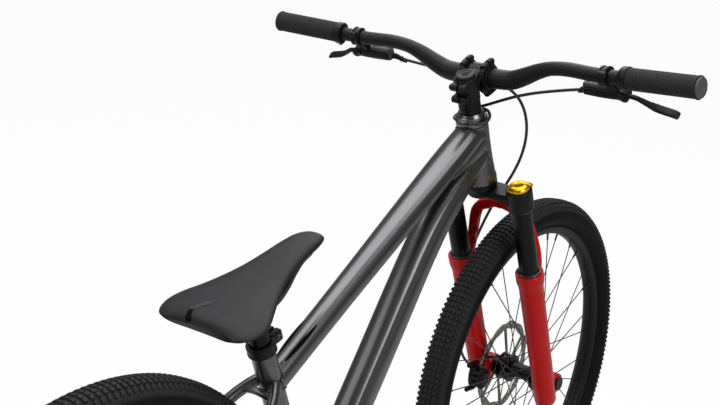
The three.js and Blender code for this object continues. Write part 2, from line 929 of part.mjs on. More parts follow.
// Four bolt places on the faceplate: two above the bar and two below it.
function stemBoltPlaces() {
  const levels = [stemCentre - stemBoltRise, stemCentre + stemBoltRise];
  return [-stemBoltSide, stemBoltSide].flatMap((side) => levels.map((level) => [side, level]));
}

function stemBarCylinder() {
  return crosswise(stemReach, stemCentre, -stemBarWidth / 2, stemBarWidth / 2, stemBarRadius, roundSides);
}

function stemEars(low, high) {
  return stemBoltPlaces().map(([side, level]) => {
    return rod(vec(low, side, level), vec(high, side, level), stemEarRadius, hexSides);
  });
}

function barBore() {
  return crosswise(stemReach, stemCentre, -stemBarWidth, stemBarWidth, bore(barClampRadius));
}

// Everything from one place to another along the bike, over the stem's whole width and height.
function stemCutter(from, to) {
  return block(from, to, -stemBarWidth, stemBarWidth, stemLow - stemBarWidth, stemHigh + stemBarWidth);
}

function makeStemBody() {
  const split = stemReach;
  const clamp = upright(0, 0, stemLow, stemHigh, stemClampRadius);
  const arm = levelTube(
    [vec(0, 0, (stemLow + stemHigh) / 2), vec(stemReach * 0.6, 0, stemCentre)],
    [stemClampRadius * 0.9, stemBarWidth * 0.42],
    [stemClampHeight * 0.42, stemBarRadius * 0.9],
  );
  const pinchX = -stemClampRadius - stemEarRadius / 2;
  const pinches = [0.24, 0.76].map((share) => {
    const z = stemLow + share * stemClampHeight;
    return crosswise(pinchX, z, -stemClampRadius * 0.75, stemClampRadius * 0.75, stemEarRadius, hexSides);
  });
  const backHalf = stemClampRadius * 0.6;
  const back = block(pinchX, 0, -backHalf, backHalf, stemLow + edgeStep, stemHigh - edgeStep);
  const ears = stemEars(split - stemBarRadius * 0.75, split);
  const whole = joined(clamp, arm, stemBarCylinder(), ears, pinches, back);
  const steererHole = upright(0, 0, stemLow - overrun, stemHigh + overrun, bore(steererRadius));
  const slitLow = stemLow - overrun;
  const slit = block(pinchX - 2 * stemEarRadius, 0, -stemSplit, stemSplit, slitLow, stemHigh + overrun);
  const front = stemCutter(split - stemSplit, split + 2 * stemBarRadius);
  return cut(whole, steererHole, slit, front, barBore());
}

function makeFaceplate() {
  const split = stemReach;
  const ears = stemEars(split, split + stemBarRadius * 0.62);
  const back = stemCutter(-stemBarRadius, split + stemSplit);
  const windowSide = stemBoltSide * 0.55;
  const windowRise = stemBarRadius * 0.35;
  const windowLow = stemCentre - windowRise;
  const windowHigh = stemCentre + windowRise;
  const window = block(split, split + 2 * stemBarRadius, -windowSide, windowSide, windowLow, windowHigh);
  const plate = cut(joined(stemBarCylinder(), ears), back, window, barBore());
  const heads = stemBoltPlaces().map(([side, level]) => {
    const face = split + stemBarRadius * 0.62;
    const sunk = vec(face - overlap, side, level);
    return rod(sunk, vec(face + stemBoltRadius, side, level), stemBoltHead, hexSides);
  });
  return joined(plate, heads);
}

function makeTopCap() {
  const low = stemHigh + gap;
  return turnedUpright([
    [0, low],
    [capRadius, low],
    [capRadius, low + capHeight * 0.6],
    [capRadius - chamfer, low + capHeight],
    [stemBoltHead, low + capHeight],
    [stemBoltHead, low + capHeight * 0.5],
    [0, low + capHeight * 0.5],
  ]);
}

// Shares of the bent half of the bar, of its rise and of its sweep, and the taper from clamp to grip.
const barShares = [
  [0, 0, 0, 1],
  [0.209, 0, 0, 1],
  [0.288, 0.04, 0, 0.9],
  [0.395, 0.21, -0.04, 0.65],
  [0.502, 0.41, -0.1, 0.3],
  [0.604, 0.56, -0.1, 0.02],
  [0.74, 0.65, -0.02, 0],
  [1, 0.68, 0.19, 0],
];

function barPoint(row) {
  const bent = barWidth / 2 - barStraight;
  return vec(stemReach - row[2] * barSweep, row[0] * bent, stemCentre + row[1] * barRise);
}

// Place on the straight outer part of the bar, at a distance from the middle.
function gripPoint(distance) {
  const inner = barPoint(barShares[barShares.length - 1]);
  const outer = vec(stemReach - barSweep, barWidth / 2, stemCentre + barRise);
  return inner.lerp(outer, (distance - inner.y) / (outer.y - inner.y));
}

function makeBar() {
  const radii = barShares.map((row) => barGripRadius + row[3] * (barClampRadius - barGripRadius));
  const half = barShares.map((row) => barPoint(row));
  half.push(gripPoint(barWidth / 2 - gripEnd - gap));
  radii.push(barGripRadius);
  const other = half.slice(1).map((point) => vec(point.x, -point.y, point.z));
  const points = [...other.reverse(), ...half];
  const sizes = [...radii.slice(1).reverse(), ...radii];
  const upward = vec(0, 0, 1);
  const rings = points.map((point, i) => {
    const before = points[Math.max(i - 1, 0)];
    const after = points[Math.min(i + 1, points.length - 1)];
    const along = after.clone().sub(before).normalize();
    const front = along.clone().cross(upward).normalize();
    const top = front.clone().cross(along).normalize();
    return ringAt(point, front, top, sizes[i], sizes[i], tubeSides);
  });
  return loft(rings);
}

// A sleeve on the straight end of the bar, turned about it from pairs of radius and distance from the middle.
function onBar(profile, sides) {
  const start = gripPoint(0);
  const along = gripPoint(1).sub(start);
  const stretch = along.length();
  const scaled = profile.map(([radius, place]) => [radius, place * stretch]);
  const turn = new THREE.Quaternion().setFromUnitVectors(lateral, along.normalize());
  const place = new THREE.Matrix4().makeRotationFromQuaternion(turn).setPosition(start);
  return moved(turned(scaled, sides), place);
}

const gripOuter = barWidth / 2;
const gripInner = gripOuter - gripLength;

function makeGrip() {
  const inner = bore(barGripRadius, tubeSides);
  const low = gripInner + gripCollarWidth + gap;
  return onBar(
    [
      [inner, low],
      [gripRadius, low],
      [gripRadius, gripOuter - gripEnd],
      [gripRadius + edgeStep, gripOuter - gripEnd / 2],
      [gripRadius - edgeStep, gripOuter],
      [0, gripOuter],
      [0, gripOuter - gripEnd],
      [inner, gripOuter - gripEnd],
    ],
    tubeSides,
  );
}

// Lock ring of the grip, with a lobe for its bolt.
function makeGripCollar() {
  const inner = bore(barGripRadius, tubeSides);
  const ring = onBar(
    [
      [inner, gripInner],
      [gripCollarRadius, gripInner],
      [gripCollarRadius, gripInner + gripCollarWidth],
      [inner, gripInner + gripCollarWidth],
    ],
    tubeSides,
  );
  const middle = gripPoint(gripInner + gripCollarWidth / 2);
  const lobeZ = middle.z - gripCollarRadius + overlap;
  const half = gripCollarWidth * 0.45;
  const lobeLow = vec(middle.x - half, middle.y, lobeZ);
  const lobe = rod(lobeLow, vec(middle.x + half, middle.y, lobeZ), half, hexSides);
  const bar = onBar(
    [
      [0, gripInner - overrun],
      [inner, gripInner - overrun],
      [inner, gripOuter],
      [0, gripOuter],
    ],
    tubeSides,
  );
  return cut(joined(ring, lobe), bar);
}

// Brake lever set, modelled on the left

const leverBarPoint = gripPoint(leverSide);
const cylinderX = leverBarPoint.x + leverForward;
const cylinderZ = leverBarPoint.z - leverDrop;
const pivotPoint = vec(cylinderX, leverSide + leverPivotOut, cylinderZ);

// Frame at the lever's pivot: X runs along the bar, Y away from it and Z along the pivot pin.
function leverFrame() {
  const away = vec(leverForward, 0, -leverDrop).normalize();
  const pin = lateral.clone().cross(away).normalize();
  return new THREE.Matrix4().makeBasis(lateral.clone(), away, pin).setPosition(pivotPoint);
}

function leverSlot() {
  const half = bladeRootWidth / 2 + gap;
  const wide = bladeRootRadius + 4 * gap;
  return moved(block(-wide, 3 * wide, -3 * wide, 3 * wide, -half, half), leverFrame());
}

// A disc about the lever's pivot pin.
function onPivot(radius, halfHeight) {
  return moved(upright(0, 0, -halfHeight, halfHeight, radius, smallSides), leverFrame());
}

function makeLeverBody() {
  const clampLow = leverSide - leverClampWidth / 2;
  const clampHigh = leverSide + leverClampWidth / 2;
  const barHole = bore(barGripRadius, tubeSides);
  const clampOutline = [
    [0, clampLow],
    [leverClampRadius, clampLow],
    [leverClampRadius, clampHigh],
    [0, clampHigh],
  ];
  const barOutline = [
    [0, clampLow - overrun],
    [barHole, clampLow - overrun],
    [barHole, clampHigh + overrun],
    [0, clampHigh + overrun],
  ];
  const clamp = onBar(clampOutline, tubeSides);
  const lugX = leverBarPoint.x - leverClampRadius * 0.8;
  const lugZ = leverBarPoint.z + leverClampRadius * 0.55;
  const lug = crosswise(lugX, lugZ, clampLow, clampHigh, leverClampWidth * 0.4, hexSides);
  const inner = vec(cylinderX, leverSide - cylinderInner, cylinderZ);
  const barrel = rod(inner, pivotPoint, cylinderRadius, hexSides);
  const bridge = levelTube(
    [leverBarPoint.clone().add(vec(0, 0, -leverClampRadius * 0.7)), vec(cylinderX, leverSide, cylinderZ)],
    [leverClampWidth / 2, leverClampWidth * 0.8],
    [leverClampRadius * 0.6, cylinderRadius * 0.8],
    hexSides,
  );
  const tank = block(
    cylinderX - reservoirHeight * 0.3,
    cylinderX + reservoirHeight * 0.75,
    leverSide - cylinderInner,
    leverSide - cylinderInner + reservoirLength,
    cylinderZ - cylinderRadius,
    cylinderZ + reservoirHeight * 0.75,
  );
  const fork = onPivot(bladeRootRadius + edgeStep, cylinderRadius);
  const pin = onPivot(leverPinRadius, cylinderRadius);
  const fittingEnd = inner.clone().add(vec(fittingForward, -fittingReach, -fittingDrop));
  const fittingAlong = vec(fittingForward / 2, -fittingLength, -fittingDrop).setLength(fittingLength);
  const fitting = rod(fittingEnd.clone().sub(fittingAlong), fittingEnd, fittingRadius, hexSides);
  const bar = onBar(barOutline, tubeSides);
  const body = cut(joined(clamp, lug, barrel, bridge, tank, fork, fitting), leverSlot(), bar);
  return joined(body, pin);
}

// Shares of the blade's length, of its drop away from the bar, and of its width.
const bladeShares = [
  [0, 0, 0.55],
  [0.22, 0.1, 0.5],
  [0.42, 0.42, 0.7],
  [0.62, 0.66, 1],
  [0.88, 0.86, 1],
  [0.98, 1.02, 0.8],
];

function makeBlade() {
  const rings = bladeShares.map(([along, away, wide]) => {
    const centre = vec(along * bladeLength, away * bladeDrop, 0);
    const thin = (bladeThickness / 2) * (1.2 - wide / 2);
    return ringAt(centre, vec(0, 1, 0), vec(0, 0, 1), thin, (wide * bladeWidth) / 2, hexSides);
  });
  const root = upright(0, 0, -bladeRootWidth / 2, bladeRootWidth / 2, bladeRootRadius, smallSides);
  const hole = upright(0, 0, -bladeWidth, bladeWidth, bore(leverPinRadius, smallSides), smallSides);
  return moved(cut(joined(loft(rings), root), hole), leverFrame());
}

// Fork, in the steering frame

const legSide = legSpacing / 2;

function makeCrown() {
  const boss = upright(0, 0, -crownWeb, 0, crownBossRadius, roundSides);
  const clamps = [-1, 1].map((side) => {
    return upright(legForward, side * legSide, -crownLegBottom, crownLegTop, crownLegRadius, roundSides);
  });
  const arms = [-1, 1].map((side) => {
    const outer = vec(legForward, side * legSide, -crownLegBottom / 2 + crownLegTop / 2);
    const middle = vec(legForward / 2, (side * legSide) / 2, -crownWeb * 0.65);
    const inner = vec(0, 0, -crownWeb / 2);
    const across = vec(1, 0, 0);
    const upward = vec(0, 0, 1);
    const rings = [
      ringAt(inner, across, upward, crownBossRadius, crownWeb / 2, smallSides, boxPower),
      ringAt(middle, across, upward, crownBossRadius * 0.85, crownWeb * 0.55, smallSides, boxPower),
      ringAt(outer, across, upward, crownLegRadius * 0.85, crownArmHeight / 2, smallSides, boxPower),
    ];
    return loft(rings);
  });
  const holeLow = -crownLegBottom - overrun;
  const holes = [-legSide, legSide].map((side) => {
    return upright(legForward, side, holeLow, crownLegTop + overrun, bore(stanchionRadius));
  });
  const steererHole = upright(0, 0, -crownSocket, overrun, bore(steererRadius));
  return cut(joined(boss, clamps, arms), holes, steererHole);
}

function makeStanchion(side) {
  return upright(legForward, side * legSide, -stanchionBottom, crownLegTop - gap, stanchionRadius);
}

function makeAirCap() {
  const low = crownLegTop + gap;
  const cap = turnedUpright([
    [0, low],
    [capTopRadius + chamfer, low],
    [capTopRadius + chamfer, low + edgeStep],
    [capTopRadius, low + capTopHeight],
    [0, low + capTopHeight],
  ]);
  return moved(cap, new THREE.Matrix4().makeTranslation(legForward, legSide, 0));
}

// Compression dial on the right leg, a knurled disc with one lever.
function makeDial() {
  const low = crownLegTop + gap;
  const knurled = circlePoints(0, 0, dialRadius, 2 * roundSides).map(([x, z], i) => {
    const share = i % 4 < 2 ? 1 : 0.95;
    return [x * share, z * share];
  });
  const layFlat = new THREE.Matrix4().makeRotationX(Math.PI / 2);
  const disc = moved(sidePlate(shapeOf(knurled), dialHeight, 0), layFlat);
  const half = dialLeverWidth / 2;
  const lever = block(0, dialLeverReach, -half, half, -dialHeight / 2, dialHeight * 0.2);
  const button = upright(0, 0, 0, dialHeight * 0.75, dialRadius * 0.45, smallSides);
  return moved(joined(disc, lever, button), placedAt(vec(legForward, -legSide, low + dialHeight / 2)));
}

function makeWiper(side) {
  const inner = bore(stanchionRadius);
  const top = -sealDrop;
  const ring = turnedUpright([
    [inner, top - wiperHeight + gap],
    [wiperRadius, top - wiperHeight + gap],
    [wiperRadius, top - wiperHeight * 0.5],
    [inner + edgeStep, top],
    [inner, top],
  ]);
  return moved(ring, new THREE.Matrix4().makeTranslation(legForward, side * legSide, 0));
}

// Shares of the leg's side place, of the way from arch top to collar, of the forward reach and of the size.
const archShares = [
  [1, 1, 0.6, 0.8],
  [0.96, 0.8, 0.82, 0.8],
  [0.88, 0.55, 0.92, 0.85],
  [0.66, 0.16, 0.98, 0.95],
  [0.2, 0, 1, 0.95],
];

function archHalf(side) {
  const low = -sealDrop - wiperHeight - legCollarHeight * 0.65;
  return archShares.map(([out, down, reach]) => {
    const z = -archTopDrop + down * (low + archTopDrop);
    return vec(reach * archForward, side * out * legSide, z);
  });
}

function arch() {
  const points = [...archHalf(-1), ...archHalf(1).reverse()];
  const sizes = [...archShares.map((row) => row[3]), ...archShares.map((row) => row[3]).reverse()];
  const rings = points.map((point, i) => {
    const before = points[Math.max(i - 1, 0)];
    const after = points[Math.min(i + 1, points.length - 1)];
    const along = after.clone().sub(before).normalize();
    const outward = along.clone().cross(forward).normalize();
    const depth = outward.clone().cross(along).normalize();
    const halfDepth = (sizes[i] * archDepth) / 2;
    const halfHeight = (sizes[i] * archHeight) / 2;
    return ringAt(point, depth, outward, halfDepth, halfHeight, smallSides, boxPower);
  });
  return loft(rings);
}

function lowerLeg(side) {
  const top = -sealDrop - wiperHeight;
  const bottom = -forkLength - legBottomDrop;
  const collarLow = top - legCollarHeight;
  const shell = turnedUpright([
    [0, bottom],
    [legEndRadius * 0.7, bottom],
    [legEndRadius, bottom + legBottomDrop * 0.4],
    [legEndRadius, -forkLength + legBottomDrop],
    [legTopRadius, collarLow - legCollarHeight],
    [legTopRadius, collarLow],
    [legCollarRadius, collarLow + legCollarHeight * 0.2],
    [legCollarRadius, top],
    [0, top],
  ]);
  const inner = frontSpacing / 2;
  const legEnd = [0, -forkLength];
  const axleEnd = [forkOffset - legForward, -forkLength];
  const outline = beltShape(legEnd, dropoutBossRadius * 0.8, axleEnd, dropoutBossRadius, hexSides);
  const middle = side * ((inner + dropoutBossOuter) / 2 - legSide);
  const boss = sidePlate(outline, dropoutBossOuter - inner, middle);
  return moved(joined(shell, boss), new THREE.Matrix4().makeTranslation(legForward, side * legSide, 0));
}

// Arm behind the left leg that holds the caliper.
function caliperMount() {
  const toSteering = steeringFrame.clone().invert();
  const middle = frontAxlePoint.clone().add(vec(-frontCaliperRadius * 0.55, 0, 0)).applyMatrix4(toSteering);
  const low = frontRotorSide + frontCaliperReach - caliperEar;
  const high = legSide;
  return block(
    middle.x - dropoutBossRadius * 0.55,
    legForward,
    low,
    high,
    middle.z - caliperLength * 0.42,
    middle.z + caliperLength * 0.5,
  );
}

function makeLowers() {
  const legs = [lowerLeg(-1), lowerLeg(1)];
  const bores = [-1, 1].map((side) => {
    return upright(legForward, side * legSide, -legBoreEnd, -sealDrop, bore(stanchionRadius) + gap / 2);
  });
  const reach = dropoutBossOuter + overrun;
  const axleBore = crosswise(forkOffset, -forkLength, -reach, reach, bore(throughAxleRadius));
  const caliperRoom = moved(block(
    frontCaliperRadius - caliperDepth / 2 - gap,
    frontCaliperRadius + caliperDepth,
    0,
    frontRotorSide + frontCaliperReach + gap,
    -caliperLength / 2 - gap,
    caliperLength / 2 + gap,
  ), new THREE.Matrix4().makeRotationY(-frontCaliperAngle * degree));
  const room = moved(moved(caliperRoom, placedAt(frontAxlePoint)), steeringFrame.clone().invert());
  return cut(joined(legs, arch(), caliperMount()), bores, axleBore, room);
}

function makeFrontAxle() {
  const face = dropoutBossOuter + gap;
  const shaft = crosswise(0, 0, -face - overlap, dropoutBossOuter - chamfer, throughAxleRadius);
  const head = crosswise(0, 0, -face - throughAxleHead, -face, throughAxleRadius * 1.3);
  return joined(shaft, head);
}

function makeReboundKnob() {
  const top = -forkLength - legBottomDrop - gap;
  const knob = turnedUpright(
    [
      [0, top - knobHeight],
      [knobRadius * 0.9, top - knobHeight],
      [knobRadius, top - knobHeight * 0.7],
      [knobRadius, top - chamfer],
      [knobRadius * 0.6, top],
      [0, top],
    ],
    smallSides,
  );
  return moved(knob, placedAt(vec(legForward, -legSide, 0)));
}

// Wheels, each about its own axle

// Half of the tyre's outline from bead to crown: radius shares between rim and crown, and width shares.
const tyreShares = [
  [0.38, 1],
  [0.86, 0.68],
];

function tyreOutline() {
  const height = tyreCrown - beadTop;
  const half = tyreShares.map(([up, wide]) => [beadTop + up * height, wide * tyreHalfWidth]);
  const bead = rimHalfWidth - rimWall - gap;
  const right = [[rimSeat + gap, bead], [beadTop, bead], ...half];
  const left = right.map(([radius, side]) => [radius, -side]).reverse();
  return [...right, [tyreCrown, 0], ...left];
}

// Tread blocks stand one to a facet of the casing, in turn to the left and to the right of the middle.
// The top edge nearest the middle touches the ground circle, and the top slopes down with the crown.
function treadBlock(step) {
  const side = step % 2 === 0 ? 1 : -1;
  const inner = treadInnerShare * tyreHalfWidth;
  const width = treadOuterShare * tyreHalfWidth - inner;
  const [shoulderUp, shoulderOut] = tyreShares[1];
  const slope = Math.atan2((1 - shoulderUp) * (tyreCrown - beadTop), shoulderOut * tyreHalfWidth);
  const geometry = new THREE.BoxGeometry(treadLength, width, treadDepth);
  geometry.translate(0, (side * width) / 2, -treadDepth / 2);
  geometry.rotateX(-side * slope);
  geometry.translate(0, side * inner, wheelRadius);
  geometry.rotateY(step * wheelFacet);
  return solid(geometry);
}

// The wheel's polygons start with a facet, so that a tread block stands on the ground.
function onFacet(body) {
  return moved(body, new THREE.Matrix4().makeRotationY(wheelFacet / 2));
}

function makeTyre() {
  const blocks = [];
  for (let step = 0; step < wheelSides; step += 1) blocks.push(treadBlock(step));
  return joined(onFacet(turned(tyreOutline(), wheelSides)), blocks);
}

function makeRim() {
  const flange = rimHalfWidth - rimWall;
  const shoulder = rimSeat - rimWall;
  const profile = [
    [rimInner, -rimHalfWidth / 2],
    [shoulder, -rimHalfWidth],
    [rimOuter, -rimHalfWidth],
    [rimSeat, -flange],
    [rimSeat, flange],
    [rimOuter, rimHalfWidth],
    [shoulder, rimHalfWidth],
    [rimInner, rimHalfWidth / 2],
  ];
  return onFacet(turned(profile, wheelSides));
}

// Tangent spokes: each flange holds half of them, and every second one leans the other way.
function spokes(flangePlace, offset) {
  const perSide = spokeCount / 2;
  const step = fullTurn / perSide;
  const lean = spokeCrosses * step;
  const made = [];
  for (let i = 0; i < perSide; i += 1) {
    const direction = i % 2 === 0 ? 1 : -1;
    const hubTurn = i * step + offset;
    const rimTurn = hubTurn + direction * lean;
    const side = flangePlace + direction * spokeStagger;
    const from = vec(spokeCircle * Math.cos(hubTurn), side, spokeCircle * Math.sin(hubTurn));
    const reach = rimInner * Math.cos(Math.PI / wheelSides) - gap;
    const rimSide = Math.sign(flangePlace) * spokeStagger * 2 + (direction * spokeStagger) / 3;
    const to = vec(reach * Math.cos(rimTurn), rimSide, reach * Math.sin(rimTurn));
    made.push(rod(from, to, spokeRadius, spokeSides));
  }
  return made;
}

// Hub shell with two flanges, a seat for the rotor on the left, and its spokes.
function makeHub(sizes) {
  const shoulder = sizes.rotor - rotorThickness / 2 - gap;
  const profile = [
    [sizes.bore, -sizes.right],
    [sizes.endRight, -sizes.right],
    [sizes.endRight, -sizes.flangeRight - flangeWidth],
    [flangeRadius, -sizes.flangeRight - flangeWidth],
    [flangeRadius, -sizes.flangeRight + flangeWidth],
    [sizes.radius, -sizes.flangeRight + 2 * flangeWidth],
    [sizes.radius, sizes.flangeLeft - 2 * flangeWidth],
    [flangeRadius, sizes.flangeLeft - flangeWidth],
    [flangeRadius, sizes.flangeLeft + flangeWidth],
    [rotorShoulderRadius, shoulder],
    [rotorSeatRadius, shoulder],
    [rotorSeatRadius, sizes.left],
    [sizes.bore, sizes.left],
  ];
  const halfStep = fullTurn / spokeCount;
  const shell = turned(profile, roundSides);
  return joined(shell, spokes(sizes.flangeLeft, 0), spokes(-sizes.flangeRight, halfStep));
}

function frontHubSizes() {
  const end = frontSpacing / 2 - gap;
  return {
    bore: bore(throughAxleRadius),
    left: end,
    right: end,
    endRight: frontHubEndRadius,
    radius: frontHubRadius,
    flangeLeft: frontFlangeLeft,
    flangeRight: frontFlangeRight,
    rotor: frontRotorSide,
  };
}

function rearHubSizes() {
  return {
    bore: bore(axleRadius),
    left: driverOuter,
    right: driverInner - gap,
    endRight: driverRadius,
    radius: rearHubRadius,
    flangeLeft: rearFlangeLeft,
    flangeRight: rearFlangeRight,
    rotor: rearRotorSide,
  };
}

// Disc rotor: a waved and drilled band, slanting arms and a hub ring.
function makeRotor(radius, place) {
  const points = [];
  for (let i = 0; i < rotorWaves * 3; i += 1) {
    const turn = (i / (rotorWaves * 3)) * fullTurn;
    const wave = radius - (i % 3 === 0 ? 2 * rotorWave : 0);
    points.push([wave * Math.cos(turn), wave * Math.sin(turn)]);
  }
  const shape = shapeOf(points);
  const inner = radius - rotorBand;
  const armTurn = fullTurn / rotorArms;
  for (let i = 0; i < rotorArms; i += 1) {
    const start = i * armTurn;
    const outerHalf = (armTurn - rotorArmWidth / inner) / 2;
    const innerHalf = (armTurn - rotorArmWidth / rotorHubRadius) / 2;
    const lag = armTurn * 0.45;
    const window = [-1, -1 / 3, 1 / 3, 1].map((share) => {
      const turn = start + share * outerHalf;
      return [inner * Math.cos(turn), inner * Math.sin(turn)];
    });
    [1, -1].forEach((share) => {
      const turn = start - lag + share * innerHalf;
      window.push([rotorHubRadius * Math.cos(turn), rotorHubRadius * Math.sin(turn)]);
    });
    shape.holes.push(holeOf(window));
  }
  for (let i = 0; i < rotorHoles; i += 1) {
    const turn = ((i + 1 / 2) / rotorHoles) * fullTurn;
    const circle = radius - rotorBand / 2 + (i % 2 === 0 ? 1 : -1) * rotorHoleRadius;
    const hole = circlePoints(circle * Math.cos(turn), circle * Math.sin(turn), rotorHoleRadius, 4);
    shape.holes.push(holeOf(hole));
  }
  shape.holes.push(holeOf(circlePoints(0, 0, bore(rotorSeatRadius, tubeSides), tubeSides)));
  return sidePlate(shape, rotorThickness, place);
}

// Drive

const pitchRadius = (teeth) => chainPitch / (2 * Math.sin(Math.PI / teeth));

// Toothed outline: a valley where each roller sits and a blunt tooth between.
function toothPoints(teeth, start) {
  const pitch = pitchRadius(teeth);
  const valley = pitch - rollerRadius - gap;
  const step = fullTurn / teeth;
  const points = [];
  for (let i = 0; i < teeth; i += 1) {
    const turn = start + i * step;
    const tip = pitch + toothRise;
    const toothShares = [-0.2, 0.2, 0.44, 0.56];
    const tooth = toothShares.map((share) => [Math.abs(share) > 1 / 4 ? tip : valley, share]);
    tooth.forEach(([radius, share]) => {
      points.push([radius * Math.cos(turn + share * step), radius * Math.sin(turn + share * step)]);
    });
  }
  return points;
}

// The chain loop: pins on both wheels, then evenly spaced pins along the straight runs.
const driveAngle = Math.atan2(rearAxlePoint.z - bracketPoint.z, rearAxlePoint.x - bracketPoint.x);

const ringPins = chainringTeeth / 2 + 2;

function wrapPins(centre, teeth, middleTurn, count) {
  const radius = pitchRadius(teeth);
  const step = fullTurn / teeth;
  const pins = [];
  for (let i = 0; i < count; i += 1) {
    const turn = middleTurn + (i - (count - 1) / 2) * step;
    pins.push([centre.x + radius * Math.cos(turn), centre.z + radius * Math.sin(turn)]);
  }
  return pins;
}

function chainPins() {
  const front = wrapPins(bracketPoint, chainringTeeth, driveAngle + Math.PI, ringPins);
  const rear = wrapPins(rearAxlePoint, sprocketTeeth, driveAngle, sprocketTeeth / 2);
  const run = (from, to) => {
    const distance = Math.hypot(to[0] - from[0], to[1] - from[1]);
    const count = Math.round(distance / chainPitch);
    const pins = [];
    for (let i = 1; i < count; i += 1) {
      const share = i / count;
      pins.push([from[0] + share * (to[0] - from[0]), from[1] + share * (to[1] - from[1])]);
    }
    return pins;
  };
  const upper = run(front[front.length - 1], rear[0]);
  const lower = run(rear[rear.length - 1], front[0]);
  return [...front, ...upper, ...rear, ...lower];
}

// One side of the chain: a closed band of plates that follows the pins.
function chainBand(pins, place, thickness) {
  const bent = pins.filter((pin, i) => {
    const before = pins[(i + pins.length - 1) % pins.length];
    const after = pins[(i + 1) % pins.length];
    const leaving = Math.atan2(after[1] - pin[1], after[0] - pin[0]);
    const arriving = Math.atan2(pin[1] - before[1], pin[0] - before[0]);
    return Math.abs(Math.sin(leaving - arriving)) > gap / chainPitch;
  });
  const offset = (side) => bent.map((pin, i) => {
    const before = bent[(i + bent.length - 1) % bent.length];
    const after = bent[(i + 1) % bent.length];
    const alongX = after[0] - before[0];
    const alongZ = after[1] - before[1];
    const length = Math.hypot(alongX, alongZ);
    return [pin[0] + (side * alongZ) / length, pin[1] - (side * alongX) / length];
  });
  const shape = shapeOf(offset(plateHeight / 2));
  shape.holes.push(holeOf(offset(-plateHeight / 2)));
  return sidePlate(shape, thickness, place);
}

function makeChain() {
  const pins = chainPins();
  const places = [-1, 1].map((side) => -chainLine + side * (chainInnerWidth + plateThickness) / 2);
  const bands = places.map((place) => chainBand(pins, place, plateThickness));
  const half = chainInnerWidth / 2 + plateThickness / 2;
  const rollers = pins.map(([x, z], i) => {
    const onWheel = i < ringPins || (i >= pins.length / 2 && x < rearAxlePoint.x);
    return crosswise(x, z, -chainLine - half, -chainLine + half, rollerRadius, onWheel ? 4 : 3);
  });
  return joined(bands, rollers);
}

function makeChainring() {
  const start = driveAngle + Math.PI + fullTurn / chainringTeeth / 2;
  const shape = shapeOf(toothPoints(chainringTeeth, start));
  for (let i = 0; i < ringWindows; i += 1) {
    const turn = (i / ringWindows) * fullTurn;
    const x = ringWindowCircle * Math.cos(turn);
    const z = ringWindowCircle * Math.sin(turn);
    shape.holes.push(holeOf(circlePoints(x, z, ringWindowRadius, hexSides, turn)));
  }
  shape.holes.push(holeOf(circlePoints(0, 0, ringBore, tubeSides)));
  return sidePlate(shape, ringThickness, -chainLine);
}

// Sprocket with its driver sleeve, which turns on the hub's axle.
function makeSprocket() {
  const start = driveAngle + fullTurn / sprocketTeeth / 2;
  const teeth = sidePlate(shapeOf(toothPoints(sprocketTeeth, start)), ringThickness, -chainLine);
  const sleeve = crosswise(0, 0, -driverOuter + gap, -driverInner, driverRadius);
  const hole = crosswise(0, 0, -driverOuter - overrun, -driverInner + overrun, bore(axleRadius));
  return cut(joined(teeth, sleeve), hole);
}

// Crank arm about the bracket, pointing forward, with the pedal's axle in its eye; modelled on the right.
function makeCrankArm() {
  const across = vec(0, 1, 0);
  const upward = vec(0, 0, 1);
  const middle = (crankInnerFace + crankOuterFace) / 2;
  const eye = (crankEyeInner + crankEyeOuter) / 2;
  const bend = vec(crankLength * 0.35, -middle - crankThickness * 0.2, 0);
  const eyeHalf = (crankEyeOuter - crankEyeInner) / 2;
  const root = vec(0, -middle, 0);
  const rings = [
    ringAt(root, across, upward, crankThickness * 0.64, crankBossRadius * 0.9, smallSides, boxPower),
    ringAt(bend, across, upward, crankThickness / 2, crankEyeRadius, smallSides, boxPower),
    ringAt(vec(crankLength, -eye, 0), across, upward, eyeHalf, crankEyeRadius * 0.9, smallSides, boxPower),
  ];
  const boss = crosswise(0, 0, -crankOuterFace, -crankInnerFace, crankBossRadius);
  const eyeRound = crosswise(crankLength, 0, -crankEyeOuter, -crankEyeInner, crankEyeRadius, smallSides);
  const axleEnd = -pedalOuter + pedalWall + overlap;
  const axle = crosswise(crankLength, 0, axleEnd, -crankEyeInner - overlap, pedalAxleRadius, smallSides);
  const hole = crosswise(0, 0, -crankOuterFace - overrun, -crankInnerFace + overrun, bore(spindleRadius));
  return joined(cut(joined(loft(rings), boss, eyeRound), hole), axle);
}

function makeSpindle() {
  const end = crankOuterFace - edgeStep;
  return crosswise(0, 0, -end, end, spindleRadius);
}

function pedalOutline() {
  const half = pedalLength / 2;
  const near = pedalInner;
  const far = pedalOuter;
  return [
    [-half, near + pedalCorner],
    [-half + pedalCorner * 0.7, near],
    [half - pedalCorner * 0.7, near],
    [half, near + pedalCorner],
    [half, far - pedalCorner],
    [half - pedalCorner, far],
    [-half + pedalCorner, far],
    [-half, far - pedalCorner],
  ];
}

